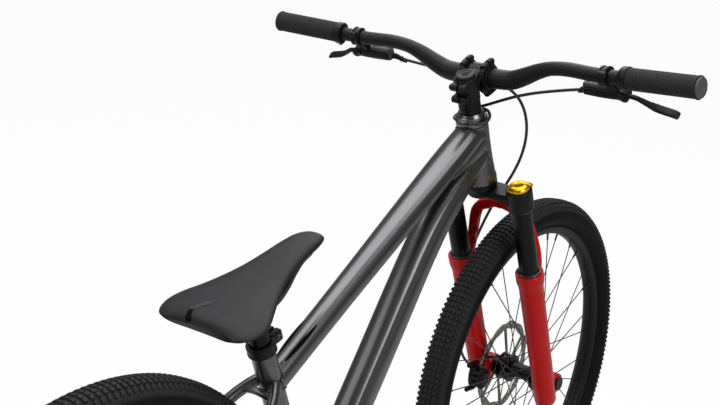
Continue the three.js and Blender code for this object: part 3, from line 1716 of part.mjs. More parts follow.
// Platform pedal: a flat open cage around a barrel on the axle, modelled on the right.
function makePedal() {
  const half = pedalLength / 2;
  const settings = { depth: pedalHeight, bevelEnabled: false };
  const geometry = new THREE.ExtrudeGeometry(shapeOf(pedalOutline()), settings);
  geometry.translate(0, 0, -pedalHeight / 2);
  geometry.scale(1, -1, 1);
  const low = pedalInner + pedalRail;
  const row = (pedalOuter - pedalInner - 3 * pedalRail) / 2;
  const windows = [-1, 1].flatMap((end) => [0, 1].map((step) => {
    const near = low + step * (row + pedalRail);
    const sides = [end * (pedalBarrel - overlap), end * (half - pedalRail)].sort((a, b) => a - b);
    return block(sides[0], sides[1], -near - row, -near, -pedalHeight, pedalHeight);
  }));
  const barrel = crosswise(0, 0, -pedalOuter, -pedalInner, pedalBarrel, smallSides);
  const holeRadius = bore(pedalAxleRadius, smallSides);
  const hole = crosswise(0, 0, -pedalOuter + pedalWall, -pedalInner + overrun, holeRadius, smallSides);
  return cut(joined(cut(solid(geometry), windows), barrel), hole);
}

// Seat: the post in the seat frame, the saddle in its own pitched frame

const clampPoint = inSeat(0, 0, clampUp);
const saddleFrame = new THREE.Matrix4().makeRotationY(-saddleAngle * degree).setPosition(clampPoint);

function railPath() {
  const back = -saddleBehind * 0.72;
  const front = saddleLength * 0.5;
  const high = saddleTop - saddleSkirt - railRadius;
  const half = [
    vec(back, railSide * 1.1, high),
    vec(back * 0.78, railSide * 1.05, high * 0.4),
    vec(back * 0.55, railSide, 0),
    vec(0, railSide, 0),
    vec(front * 0.4, railSide, 0),
    vec(front * 0.7, railSide * 0.75, high * 0.4),
    vec(front, railSide * 0.3, high * 0.95),
  ];
  const other = half.map((point) => vec(point.x, -point.y, point.z)).reverse();
  return [...half, vec(front * 1.04, 0, high), ...other];
}

function makeRails() {
  return sweep(railPath(), railRadius, hexSides, railSteps);
}

function railGrooves() {
  const radius = bore(railRadius, hexSides) + 2 * gap;
  return [-railSide, railSide].map((side) => {
    return rod(vec(-cradleLength, side, 0), vec(cradleLength, side, 0), radius, hexSides);
  });
}

function makeSeatpost() {
  const tube = upright(0, 0, -seatBoreDepth + 2 * overrun, clampUp - cradleHeight, postRadius);
  const neckTop = clampUp - cradleHeight / 2;
  const neck = upright(0, 0, clampUp - 2 * cradleHeight, neckTop, postRadius, roundSides, headNeckRadius);
  const halfLength = cradleLength / 2;
  const halfWidth = cradleWidth / 2;
  const cradle = moved(
    cut(block(-halfLength, halfLength, -halfWidth, halfWidth, -cradleHeight, -gap), railGrooves()),
    seatFrame.clone().invert().multiply(saddleFrame),
  );
  return joined(tube, neck, cradle);
}

// Upper clamp plate over the rails, in the saddle's frame.
function makeRailClamp() {
  const halfLength = cradleLength / 2;
  const halfWidth = cradleWidth / 2;
  const blank = block(-halfLength, halfLength, -halfWidth, halfWidth, gap, clampPlateHeight);
  const plate = cut(blank, railGrooves());
  const head = upright(0, 0, clampPlateHeight - overlap, clampPlateHeight + edgeStep, stemBoltHead, hexSides);
  return joined(plate, head);
}

// Shares along the saddle from the tail: half width, height of the edge line, crown and skirt.
// The tail's rear edge bends forward in the middle, between the two wings.
const saddleShares = [
  [0, 0.72, -0.04, 0.55, 0.6],
  [0.02, 0.86, -0.04, 0.8, 0.8],
  [0.06, 0.95, -0.05, 0.95, 0.95],
  [0.13, 1, -0.06, 1, 1],
  [0.21, 0.94, -0.04, 1, 1],
  [0.31, 0.78, -0.02, 1, 1],
  [0.41, 0.63, 0.02, 1, 1],
  [0.54, 0.48, 0.08, 1, 1.05],
  [0.68, 0.38, 0.15, 1, 1.1],
  [0.82, 0.32, 0.19, 0.9, 1.1],
  [0.92, 0.27, 0.16, 0.75, 1],
  [0.98, 0.18, 0.06, 0.6, 0.75],
  [1, 0.1, -0.02, 0.4, 0.5],
];

// Share of the turn around a section: round over the top, tucked in under the edge.
function saddleRing([along, wide, edge, crown, skirt]) {
  const sides = tubeSides;
  const points = [];
  const x = -saddleBehind + along * saddleLength;
  const edgeZ = saddleTop - saddleCrown + edge * saddleCrown * 3;
  const bay = saddleBay * (1 - along) ** saddleBayPower;
  for (let i = 0; i < sides; i += 1) {
    const turn = (i / sides) * fullTurn;
    const cosine = Math.cos(turn);
    const sine = Math.sin(turn);
    const under = sine < 0;
    const tuck = under ? 1 + sine * 0.38 : 1;
    const y = Math.sign(cosine) * Math.abs(cosine) ** 0.75 * ((wide * saddleWidth) / 2) * tuck;
    const rise = under ? sine * skirt * saddleSkirt : Math.abs(sine) ** 0.9 * crown * saddleCrown;
    points.push(vec(x + bay * sine * sine, y, edgeZ + rise));
  }
  return points;
}

function makeSaddle() {
  const rings = saddleShares.map((row) => saddleRing(row));
  const body = loft(rings);
  const room = sweep(railPath(), railRadius + 2 * gap, hexSides, railSteps);
  return cut(body, room);
}

// Hoses, by hand-chosen route points in the bike's frame.
// The routes were laid with these parts at these places; where a part stands elsewhere, the stretch
// of hose beside it goes along.
const laidHeadTop = [276.65357, 0, 864.37169];
const laidBend = [169.04852, 0, 692.04666];
const laidBracket = [-115, 0, 320];
const laidRearAxle = [-522, 0, 334];
const laidFrontAxle = [522, 0, 334];
const laidLeverSide = 229;
const laidBarInner = 60;
const laidBarOuter = 150;
const laidHeadHeight = 800;
const laidArchHeight = 680;
const laidCaliperFront = -397;

const shiftFrom = ([x, y, z], point) => point.clone().sub(vec(x, y, z));
const headShift = () => shiftFrom(laidHeadTop, inSteering(0, 0, headTop));
const climb = (start, end) => Math.atan2(end.z - start.z, end.x - start.x);

// Sideways, near its end of the bar, a hose goes along with the lever.
function leverShift(y, share) {
  const outer = THREE.MathUtils.smoothstep(Math.abs(y), laidBarInner, laidBarOuter);
  return vec(0, Math.sign(y) * outer * share * (leverSide - laidLeverSide), 0);
}

// The front hose goes along with the steering above the arch and with the axle below it.
function frontHoseShift([, y, z]) {
  const share = THREE.MathUtils.smoothstep(z, laidArchHeight, laidHeadHeight);
  const low = shiftFrom(laidFrontAxle, frontAxlePoint);
  return low.lerp(headShift(), share).add(leverShift(y, share));
}

function rearHoseShift([, y]) {
  return headShift().add(leverShift(y, 1));
}

// The lower hose turns with the down tube before the bracket and goes along with the caliper behind it.
function lowerHoseShift([x, y, z]) {
  const [bracketX] = laidBracket;
  const laid = vec(...laidBracket);
  const middle = shiftFrom(laidBracket, bracketPoint);
  if (x > bracketX) {
    const outward = vec(x, y, z).sub(laid);
    const change = climb(laid, vec(...laidBend)) - climb(bracketPoint, downTubeBend);
    const turned = outward.clone().applyAxisAngle(lateral, change);
    return middle.add(turned).sub(outward);
  }
  const share = Math.min((bracketX - x) / (bracketX - laidCaliperFront), 1);
  return middle.lerp(shiftFrom(laidRearAxle, rearAxlePoint), share);
}

const frontHoseRoute = [
  [316.4, 172.2, 930.5],
  [321, 158, 927],
  [329, 134, 923],
  [341, 96, 919],
  [356, 50, 914],
  [370, 14, 910],
  [380, -10, 904],
  [392, -19, 888],
  [404, -25, 868],
  [413, -28, 846],
  [418, -28, 826],
  [421, -26, 800],
  [423, -19, 770],
  [423, -6, 742],
  [424, 12, 714],
  [428, 34, 684],
  [436, 52, 654],
  [444, 62, 624],
  [444, 80, 590],
  [436, 90, 550],
  [432, 94, 500],
  [438, 95, 450],
  [444, 96, 415],
  [441, 93, 385],
  [436, 84, 364],
  [434, 70, 358],
  [434, 57.9, 358],
];

const rearHoseRoute = [
  [316.4, -172.2, 930.5],
  [320, -161, 928],
  [317, -146, 925],
  [304, -124, 922],
  [296, -98, 916],
  [295, -65, 908],
  [294, -42, 896],
  [304, -11, 878],
  [305, 4, 875],
  [295, 23, 871],
  [274, 32, 865],
  [270, 34, 856],
  [261, 27, 858],
  [249, 6, 860],
  [250, -14, 858],
  [265, -29, 855],
  [278, -35, 855],
  [285, -38, 869],
  [290, -27, 883],
  [306, -4, 885],
  [307, 17, 869],
  [295, 35, 850],
  [278, 37, 806],
  [264, 36, 784],
  [244, 31, 764],
];

const rearLowerRoute = [
  [-59.7, 22, 361.8],
  [-56, 28, 359],
  [-64, 35, 354],
  [-84, 35, 350],
  [-118, 33, 346],
  [-160, 36, 340],
  [-210, 44, 336],
  [-270, 52, 339],
  [-330, 58, 347],
  [-372, 59, 362],
  [-397, 54, 376],
  [-416, 48.5, 381],
  [-434.9, 48, 372.7],
];

function hose(route, shift, steps) {
  const points = route.map(([x, y, z]) => vec(x, y, z).add(shift([x, y, z])));
  return sweep(points, hoseRadius, hoseSides, steps);
}

// Colours and finishes
const finish = (color, roughness, metalness) =>
  new THREE.MeshStandardMaterial({ color, roughness, metalness });
const smokePaint = finish(0x2b2b2d, 0.3, 0.6);
const blackMetal = finish(0x121214, 0.45, 0.5);
const redPaint = finish(0xb01010, 0.3, 0.1);
const gold = finish(0xc89a28, 0.3, 0.9);
const steel = finish(0x8a857c, 0.35, 0.9);
const blackRubber = finish(0x161618, 0.85, 0);
const softCover = finish(0x2a2a2e, 0.8, 0);
const blackPlastic = finish(0x18181a, 0.6, 0);

function mesh(name, body, material) {
  const made = new THREE.Mesh(geometryOf(body), material);
  made.name = name;
  return made;
}

function groupAt(name, matrix, ...children) {
  const made = new THREE.Group();
  made.name = name;
  matrix.decompose(made.position, made.quaternion, made.scale);
  made.add(...children);
  return made;
}


function frameGroup() {
  const cup = makeBracketCup();
  const tensioner = makeTensioner();
  const caliper = makeCaliper(rearCaliperAngle, rearCaliperRadius, rearRotorSide, rearCaliperReach);
  return [
    mesh("frame", makeFrame(), smokePaint),
    groupAt(
      "headset",
      steeringFrame,
      mesh("headset_upper_cup", makeUpperCup(), blackMetal),
      mesh("headset_lower_cup", makeLowerCup(), blackMetal),
    ),
    groupAt(
      "seat_fittings",
      seatFrame,
      mesh("seat_collar", makeSeatCollar(), blackMetal),
      mesh("seat_collar_bolt", makeSeatBolt(), steel),
    ),
    groupAt(
      "bracket",
      placedAt(bracketPoint),
      mesh("bracket_cup_left", cup, blackMetal),
      mesh("bracket_cup_right", mirrored(cup), blackMetal),
    ),
    groupAt(
      "rear_end",
      placedAt(rearAxlePoint),
      mesh("rear_axle", makeRearAxle(), steel),
      mesh("chain_tensioner_left", tensioner, steel),
      mesh("chain_tensioner_right", mirrored(tensioner), steel),
      mesh("rear_caliper", caliper, blackMetal),
    ),
    mesh("rear_brake_hose", hose(rearHoseRoute, rearHoseShift, rearHoseSteps), blackPlastic),
    mesh("rear_brake_hose_lower", hose(rearLowerRoute, lowerHoseShift, lowerHoseSteps), blackPlastic),
    mesh("chain", makeChain(), steel),
  ];
}

function steeringGroup() {
  const collar = makeGripCollar();
  const grip = makeGrip();
  const lever = makeLeverBody();
  const blade = makeBlade();
  return groupAt(
    "steering",
    steeringFrame,
    mesh("steerer_tube", makeSteerer(), blackMetal),
    mesh("headset_top_cover", makeTopCover(), smokePaint),
    mesh("stem_spacer", makeSpacer(), blackMetal),
    mesh("stem", makeStemBody(), blackMetal),
    mesh("stem_faceplate", makeFaceplate(), blackMetal),
    mesh("stem_cap", makeTopCap(), blackMetal),
    mesh("handlebar", makeBar(), blackMetal),
    mesh("grip_left", grip, blackRubber),
    mesh("grip_right", mirrored(grip), blackRubber),
    mesh("grip_collar_left", collar, blackMetal),
    mesh("grip_collar_right", mirrored(collar), blackMetal),
    mesh("brake_body_left", lever, blackMetal),
    mesh("brake_body_right", mirrored(lever), blackMetal),
    mesh("brake_lever_left", blade, blackMetal),
    mesh("brake_lever_right", mirrored(blade), blackMetal),
  );
}

function forkGroup() {
  return groupAt(
    "fork",
    steeringFrame,
    mesh("fork_crown", makeCrown(), blackMetal),
    mesh("stanchion_left", makeStanchion(1), blackMetal),
    mesh("stanchion_right", makeStanchion(-1), blackMetal),
    mesh("air_cap", makeAirCap(), blackMetal),
    mesh("compression_dial", makeDial(), gold),
    mesh("fork_lowers", makeLowers(), redPaint),
    mesh("fork_wiper_left", makeWiper(1), blackRubber),
    mesh("fork_wiper_right", makeWiper(-1), blackRubber),
    mesh("rebound_knob", makeReboundKnob(), redPaint),
  );
}

function frontWheelGroup() {
  const caliper = makeCaliper(frontCaliperAngle, frontCaliperRadius, frontRotorSide, frontCaliperReach);
  return groupAt(
    "front_wheel",
    placedAt(frontAxlePoint),
    mesh("front_tyre", makeTyre(), blackRubber),
    mesh("front_rim", makeRim(), blackMetal),
    mesh("front_hub_and_spokes", makeHub(frontHubSizes()), blackMetal),
    mesh("front_rotor", makeRotor(frontRotorRadius, frontRotorSide), steel),
    mesh("front_axle", makeFrontAxle(), blackMetal),
    mesh("front_caliper", caliper, blackMetal),
  );
}

function rearWheelGroup() {
  return groupAt(
    "rear_wheel",
    placedAt(rearAxlePoint),
    mesh("rear_tyre", makeTyre(), blackRubber),
    mesh("rear_rim", makeRim(), blackMetal),
    mesh("rear_hub_and_spokes", makeHub(rearHubSizes()), blackMetal),
    mesh("rear_rotor", makeRotor(rearRotorRadius, rearRotorSide), steel),
    mesh("sprocket", makeSprocket(), steel),
  );
}

function crankGroup() {
  const arm = makeCrankArm();
  const pedal = makePedal();
  const halfTurn = new THREE.Matrix4().makeRotationY(Math.PI);
  const rightPedal = moved(pedal, placedAt(vec(crankLength, 0, 0)));
  return groupAt(
    "crankset",
    placedAt(bracketPoint),
    mesh("crank_spindle", makeSpindle(), steel),
    mesh("chainring", makeChainring(), blackMetal),
    mesh("crank_arm_right", arm, blackMetal),
    mesh("crank_arm_left", moved(mirrored(arm), halfTurn), blackMetal),
    mesh("pedal_right", rightPedal, blackPlastic),
    mesh("pedal_left", moved(mirrored(rightPedal), halfTurn), blackPlastic),
  );
}

function seatGroup() {
  return [
    groupAt("post", seatFrame, mesh("seatpost", makeSeatpost(), blackMetal)),
    groupAt(
      "seat",
      saddleFrame,
      mesh("saddle_clamp", makeRailClamp(), blackMetal),
      mesh("saddle_rails", makeRails(), blackMetal),
      mesh("saddle", makeSaddle(), softCover),
    ),
  ];
}

const group = new THREE.Group();
group.name = "dirt_jump_bike";
group.add(...frameGroup(), ...seatGroup(), steeringGroup(), forkGroup());
group.add(frontWheelGroup(), rearWheelGroup(), crankGroup());
group.add(mesh("front_brake_hose", hose(frontHoseRoute, frontHoseShift, frontHoseSteps), blackPlastic));

export default group;
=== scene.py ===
import math

import bmesh
import bpy
from mathutils import Matrix, Vector
from mathutils.bvhtree import BVHTree


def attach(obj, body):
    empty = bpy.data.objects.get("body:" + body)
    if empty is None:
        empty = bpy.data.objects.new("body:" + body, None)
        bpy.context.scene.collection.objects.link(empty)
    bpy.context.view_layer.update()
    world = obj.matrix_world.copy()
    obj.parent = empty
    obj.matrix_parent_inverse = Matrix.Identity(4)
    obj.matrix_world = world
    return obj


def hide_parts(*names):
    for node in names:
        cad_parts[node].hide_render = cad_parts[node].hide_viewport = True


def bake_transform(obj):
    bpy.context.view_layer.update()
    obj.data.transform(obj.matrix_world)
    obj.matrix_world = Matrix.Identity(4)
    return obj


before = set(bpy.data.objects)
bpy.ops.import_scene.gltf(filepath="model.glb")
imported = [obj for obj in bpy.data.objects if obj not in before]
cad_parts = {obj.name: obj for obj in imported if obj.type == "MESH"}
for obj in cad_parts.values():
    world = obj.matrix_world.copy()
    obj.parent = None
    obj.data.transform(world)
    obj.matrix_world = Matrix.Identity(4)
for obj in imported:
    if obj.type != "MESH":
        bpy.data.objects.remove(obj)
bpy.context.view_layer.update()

print("frame loaded,", len(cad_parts), "nodes")

# sizes below are millimetres, and turn into metres when a mesh is made
metre = 0.001
turn = 2 * math.pi
lateral = Vector((0, 1, 0))
forward = Vector((1, 0, 0))
upright = Vector((0, 0, 1))

bike = {
    "wheelBase": 1044, "wheelRadius": 334, "headAngle": 69.1, "forkLength": 450, "forkOffset": 40,
    "bracketHeight": 320, "chainstayReach": 407, "seatAngle": 70.5, "seatTube": 320, "lowerStack": 13,
    "headTube": 120, "stemReach": 36.4, "stemHeight": 55.5, "saddlePitch": 15.4, "clampUp": 68,
}

rearAxle = Vector((-bike["wheelBase"] / 2, 0, bike["wheelRadius"]))
frontAxle = Vector((bike["wheelBase"] / 2, 0, bike["wheelRadius"]))
bracket = Vector((rearAxle.x + bike["chainstayReach"], 0, bike["bracketHeight"]))


# a frame whose Z runs up a tube that leans back, and whose X points forward
def leaning(angle, origin):
    return Matrix.Translation(origin) @ Matrix.Rotation(-math.radians(90 - angle), 4, "Y")


steerTurn = leaning(bike["headAngle"], Vector())
race = frontAxle + steerTurn @ Vector((-bike["forkOffset"], 0, bike["forkLength"]))
steer = leaning(bike["headAngle"], race)
seatUp = leaning(bike["seatAngle"], Vector()) @ upright
seatTop = bracket + seatUp * bike["seatTube"]
seat = leaning(bike["seatAngle"], seatTop)
saddleTilt = Matrix.Rotation(-math.radians(bike["saddlePitch"]), 4, "Y")
saddlePlace = Matrix.Translation(seat @ Vector((0, 0, bike["clampUp"]))) @ saddleTilt
world = Matrix.Identity(4)
atFront = Matrix.Translation(frontAxle)
atRear = Matrix.Translation(rearAxle)
atBracket = Matrix.Translation(bracket)


# an object that stands in the scene at the origin, unturned
def stood(name, data):
    thing = bpy.data.objects.new(name, data)
    bpy.context.scene.collection.objects.link(thing)
    return thing


# camera

view = {
    "place": (-1.3541, -0.9892, 1.2841), "look": (0.7705, 0.5687, -0.2879), "right": (0.6035, -0.7963, 0.0422),
    "lens": 60.4, "centreRow": 202, "frameHeight": 405, "frameWidth": 720, "sensor": 36, "nearest": 0.05, "farthest": 60
}


def makeCamera():
    lens = bpy.data.cameras.new("viewCamera")
    lens.sensor_width = view["sensor"]
    lens.lens = view["lens"]
    lens.shift_y = (view["centreRow"] - view["frameHeight"] / 2) / view["frameWidth"]
    lens.clip_start = view["nearest"]
    lens.clip_end = view["farthest"]
    back = -Vector(view["look"]).normalized()
    right = Vector(view["right"])
    right = (right - back * right.dot(back)).normalized()
    up = back.cross(right)
    camera = stood("viewCamera", lens)
    camera.matrix_world = Matrix.Translation(view["place"]) @ Matrix((right, up, back)).transposed().to_4x4()
    bpy.context.scene.camera = camera


makeCamera()
print("camera set")

# shader maths


def plug(tree, socket, value):
    if isinstance(value, Maths):
        tree.links.new(value.socket, socket)
    elif isinstance(value, tuple) and len(value) == 3 and len(socket.default_value) == 4:
        socket.default_value = (*value, 1)
    else:
        socket.default_value = value


class Maths:
    def __init__(self, tree, socket):
        self.tree = tree
        self.socket = socket

    def does(self, operation, *values):
        node = self.tree.nodes.new("ShaderNodeMath")
        node.operation = operation
        for socket, value in zip(node.inputs, values):
            plug(self.tree, socket, value)
        return Maths(self.tree, node.outputs[0])

    def __add__(self, other):
        return self.does("ADD", self, other)

    def __radd__(self, other):
        return self.does("ADD", other, self)

    def __sub__(self, other):
        return self.does("SUBTRACT", self, other)

    def __rsub__(self, other):
        return self.does("SUBTRACT", other, self)

    def __mul__(self, other):
        return self.does("MULTIPLY", self, other)

    def __rmul__(self, other):
        return self.does("MULTIPLY", other, self)

    def __truediv__(self, other):
        return self.does("DIVIDE", self, other)

    def __pow__(self, other):
        return self.does("POWER", self, other)

    def size(self):
        return self.does("ABSOLUTE", self)

    def swing(self):
        return self.does("SINE", self)

    # from 0 at low to 1 at high, eased at both ends
    def rise(self, low, high):
        node = self.tree.nodes.new("ShaderNodeMapRange")
        node.interpolation_type = "SMOOTHSTEP"
        for name, value in (("Value", self), ("From Min", low), ("From Max", high)):
            plug(self.tree, node.inputs[name], value)
        return Maths(self.tree, node.outputs["Result"])


class Finish:
    def __init__(self, name):
        self.material = bpy.data.materials.new(name)
        self.material.use_nodes = True
        self.tree = self.material.node_tree
        self.tree.nodes.clear()
        self.shader = self.tree.nodes.new("ShaderNodeBsdfPrincipled")
        output = self.tree.nodes.new("ShaderNodeOutputMaterial")
        self.tree.links.new(self.shader.outputs[0], output.inputs[0])
        self.place = self.node("ShaderNodeTexCoord", {}, {}, "Object")

    def node(self, kind, settings, sockets, out=0):
        node = self.tree.nodes.new(kind)
        for name, value in settings.items():
            setattr(node, name, value)
        for name, value in sockets.items():
            plug(self.tree, node.inputs[name], value)
        return Maths(self.tree, node.outputs[out])

    def noise(self, scale, detail=3, roughness=0.5):
        return self.node(
            "ShaderNodeTexNoise", {}, {"Vector": self.place, "Scale": scale, "Detail": detail, "Roughness": roughness},
            "Fac"
        )

    def cells(self, scale):
        return self.node("ShaderNodeTexVoronoi", {"feature": "F1"}, {"Vector": self.place, "Scale": scale}, "Distance")

    def blend(self, share, first, second):
        node = self.tree.nodes.new("ShaderNodeMix")
        node.data_type = "RGBA"
        plug(self.tree, node.inputs[0], share)
        plug(self.tree, node.inputs[6], first)
        plug(self.tree, node.inputs[7], second)
        return Maths(self.tree, node.outputs[2])

    # the object's own coordinates measured from a point, in metres
    def about(self, point, spin=(0, 0, 0)):
        moved = self.node("ShaderNodeVectorMath", {"operation": "SUBTRACT"}, {0: self.place, 1: tuple(point)}, "Vector")
        return self.node("ShaderNodeMapping", {}, {"Vector": moved, "Rotation": spin}, "Vector")

    def parts(self, place):
        node = self.tree.nodes.new("ShaderNodeSeparateXYZ")
        plug(self.tree, node.inputs[0], place)
        return [Maths(self.tree, socket) for socket in node.outputs]

    def bump(self, height, depth, strength=1.0):
        return self.node("ShaderNodeBump", {}, {"Height": height, "Distance": depth, "Strength": strength}, "Normal")

    # sockets of the shader by name: plain values stay on it, and what varies is linked
    def coat(self, **sockets):
        names = {
            "colour": "Base Color", "rough": "Roughness", "metal": "Metallic", "normal": "Normal",
            "gloss": "Specular IOR Level", "clear": "Coat Weight", "clearRough": "Coat Roughness"
        }
        for name, value in sockets.items():
            plug(self.tree, self.shader.inputs[names[name]], value)
        return self.material


finishes = {}


def metalFinish(name, dark, light, rough, metal, grain=900, depth=0.00003, gloss=0.5, clear=0.0, clearRough=0.1):
    made = Finish(name)
    broad = made.noise(7, 4)
    fine = made.noise(grain, 2)
    colour = made.blend(broad * 0.6 + fine * 0.4, dark, light)
    normal = made.bump(fine, depth, 0.4)
    finishes[name] = made.coat(
        colour=colour, rough=rough - 0.06 + broad * 0.12, metal=metal, normal=normal, gloss=gloss, clear=clear,
        clearRough=clearRough
    )


def rubberFinish(name, dark, light, rough, gloss=0.25):
    made = Finish(name)
    dust = made.noise(11, 5, 0.6)
    grit = made.noise(420, 3, 0.6)
    colour = made.blend(dust.rise(0.4, 0.8) * 0.6 + grit * 0.3, dark, light)
    finishes[name] = made.coat(
        colour=colour, rough=rough + (grit - 0.5) * 0.2, normal=made.bump(grit, 0.00012, 0.5), gloss=gloss
    )


# smoked clear coat over fine metal flake
def smokeFinish():
    made = Finish("smokePaint")
    flake = made.cells(2600)
    cloud = made.noise(5, 3)
    colour = made.blend(flake.rise(0.1, 0.7) * 0.6 + cloud * 0.4, (0.105, 0.104, 0.108), (0.070, 0.070, 0.073))
    peel = made.noise(240, 2)
    rough = 0.34 + (cloud - 0.5) * 0.08
    finishes["smokePaint"] = made.coat(
        colour=colour, rough=rough, metal=0.92, normal=made.bump(peel, 0.00006, 0.25), clear=0.6, clearRough=0.14,
        gloss=0.5
    )


def polishFinish():
    made = Finish("smokePolish")
    fine = made.noise(60, 3)
    colour = made.blend(fine, (0.085, 0.084, 0.088), (0.14, 0.138, 0.142))
    finishes["smokePolish"] = made.coat(colour=colour, rough=0.2 + fine * 0.06, metal=1.0, clear=0.6, clearRough=0.05)


# vinyl with a fine pebble grain, a seam across the left rear corner and a small tab beside it
def saddleFinish(name, dark, light, rough):
    made = Finish(name)
    place = made.about(saddlePlace.translation * metre, spin=(0, math.radians(bike["saddlePitch"]), 0))
    x, y = made.parts(place)[:2]
    grain = made.cells(1100)
    soft = made.noise(26, 4)
    seam = 1 - ((y - 0.044 - (x + 0.09) * 0.32).size()).rise(0.0003, 0.0011)
    seam = seam * (1 - x.rise(-0.066, -0.058))
    tone = made.blend(soft, dark, light)
    colour = made.blend(seam * 0.8, tone, (0.004, 0.004, 0.005))
    normal = made.bump(grain.rise(0.0, 0.6) * 0.25 - seam, 0.0006, 0.5)
    finishes[name] = made.coat(colour=colour, rough=rough + (soft - 0.5) * 0.16, normal=normal, gloss=0.3)


# a moulded sidewall: fine rings about the axle, and dust near the rim
def tyreFinish(name, axle):
    made = Finish(name)
    x, z = made.parts(made.about(axle * metre))[::2]
    radius = (x * x + z * z) ** 0.5
    rings = (radius * 2200).swing() * 0.5 + 0.5
    wall = 1 - radius.rise(0.312, 0.319)
    grit = made.noise(500, 3, 0.6)
    weave = (made.noise(90, 2) - 0.5).size()
    tread = made.blend(grit * 0.5 + weave, (0.017, 0.0165, 0.0175), (0.030, 0.029, 0.031))
    colour = made.blend(wall, tread, (0.0032, 0.0030, 0.0034))
    height = rings * wall * 0.35 + grit * 0.3
    finishes[name] = made.coat(
        colour=colour, rough=0.72 + (grit - 0.5) * 0.2, normal=made.bump(height, 0.0003, 0.6), gloss=0.14
    )


# brushed in rings about the axle
def rotorFinish(name, axle):
    made = Finish(name)
    x, z = made.parts(made.about(axle * metre))[::2]
    radius = (x * x + z * z) ** 0.5
    lines = made.node(
        "ShaderNodeTexNoise", {"noise_dimensions": "1D"}, {"W": radius, "Scale": 2600, "Detail": 2}, "Fac"
    )
    track = radius.rise(0.071, 0.074)
    tone = made.blend(lines, (0.085, 0.080, 0.074), (0.17, 0.162, 0.15))
    worn = made.blend(track * 0.45, tone, (0.26, 0.25, 0.235))
    finishes[name] = made.coat(colour=worn, rough=0.36 - track * 0.08, metal=1.0, normal=made.bump(lines, 0.00004, 0.4))


# diamond pattern moulded round the grip, read from the piece's own UV map
def gripFinish():
    made = Finish("gripRubber")
    uv = made.node("ShaderNodeTexCoord", {}, {}, "UV")
    u, v = made.parts(uv)[:2]
    first = ((u * 18 + v * 26) * turn / 2).swing().size()
    second = ((u * 18 - v * 26) * turn / 2).swing().size()
    diamonds = (first * second).rise(0.08, 0.4)
    grit = made.noise(700, 2)
    colour = made.blend(diamonds * 0.7 + grit * 0.3, (0.010, 0.010, 0.011), (0.026, 0.026, 0.028))
    finishes["gripRubber"] = made.coat(
        colour=colour, rough=0.8, normal=made.bump(diamonds + grit * 0.1, 0.0007, 0.8), gloss=0.22
    )


def makeFinishes():
    smokeFinish()
    polishFinish()
    saddleFinish("saddleCover", (0.0055, 0.0053, 0.0066), (0.0084, 0.0081, 0.0101), 0.6)
    saddleFinish("saddleSkirt", (0.009, 0.009, 0.010), (0.014, 0.014, 0.0155), 0.5)
    gripFinish()
    tyreFinish("frontTyreRubber", frontAxle)
    tyreFinish("rearTyreRubber", rearAxle)
    rotorFinish("frontRotorSteel", frontAxle)
    rotorFinish("rearRotorSteel", rearAxle)
    metalFinish("deepShade", (0.001, 0.001, 0.0011), (0.002, 0.002, 0.0022), 0.7, 0.0, gloss=0.05)
    metalFinish("matBlack", (0.003, 0.003, 0.0034), (0.0064, 0.0064, 0.007), 0.44, 0.0, gloss=0.18)
    metalFinish(
        "glossBlack", (0.0015, 0.0015, 0.0017), (0.003, 0.003, 0.0034), 0.3, 0.0, depth=0.00001, gloss=0.12, clear=0.06,
        clearRough=0.1
    )
    metalFinish("forgedBlack", (0.004, 0.004, 0.0045), (0.009, 0.009, 0.01), 0.4, 0.25, grain=600, gloss=0.2)
    metalFinish(
        "redPaint", (0.42, 0.0012, 0.002), (0.52, 0.0028, 0.004), 0.36, 0.0, grain=260, depth=0.00003, gloss=0.12,
        clear=0.1, clearRough=0.08
    )
    metalFinish("goldMetal", (0.56, 0.31, 0.012), (0.72, 0.42, 0.025), 0.3, 1.0)
    metalFinish("steel", (0.36, 0.35, 0.33), (0.52, 0.51, 0.49), 0.32, 1.0)
    metalFinish("darkSteel", (0.05, 0.05, 0.052), (0.11, 0.11, 0.112), 0.36, 0.9)
    metalFinish("greyPlastic", (0.055, 0.055, 0.058), (0.085, 0.085, 0.09), 0.5, 0.0, gloss=0.3)
    metalFinish("blackPlastic", (0.012, 0.012, 0.013), (0.022, 0.022, 0.023), 0.52, 0.0, grain=500, depth=0.00008)
    rubberFinish("hoseRubber", (0.008, 0.008, 0.009), (0.015, 0.015, 0.016), 0.42, gloss=0.4)
    # also the finish of the thin ring that paints the groove shade at the head tube's top
    rubberFinish("sealRubber", (0.010, 0.010, 0.011), (0.02, 0.02, 0.021), 0.6)


makeFinishes()
print("finishes made,", len(finishes))

# mesh building


# a body is a name, to which the piece is attached; or two names and two places, and then the piece is attached to
# neither and stays where it is built, its placing kept in its mesh
def link(name, mesh, body, replaced=()):
    piece = stood(name, mesh)
    if isinstance(body, str):
        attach(piece, body)
    else:
        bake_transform(piece)
    if replaced:
        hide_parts(*replaced)
    return piece


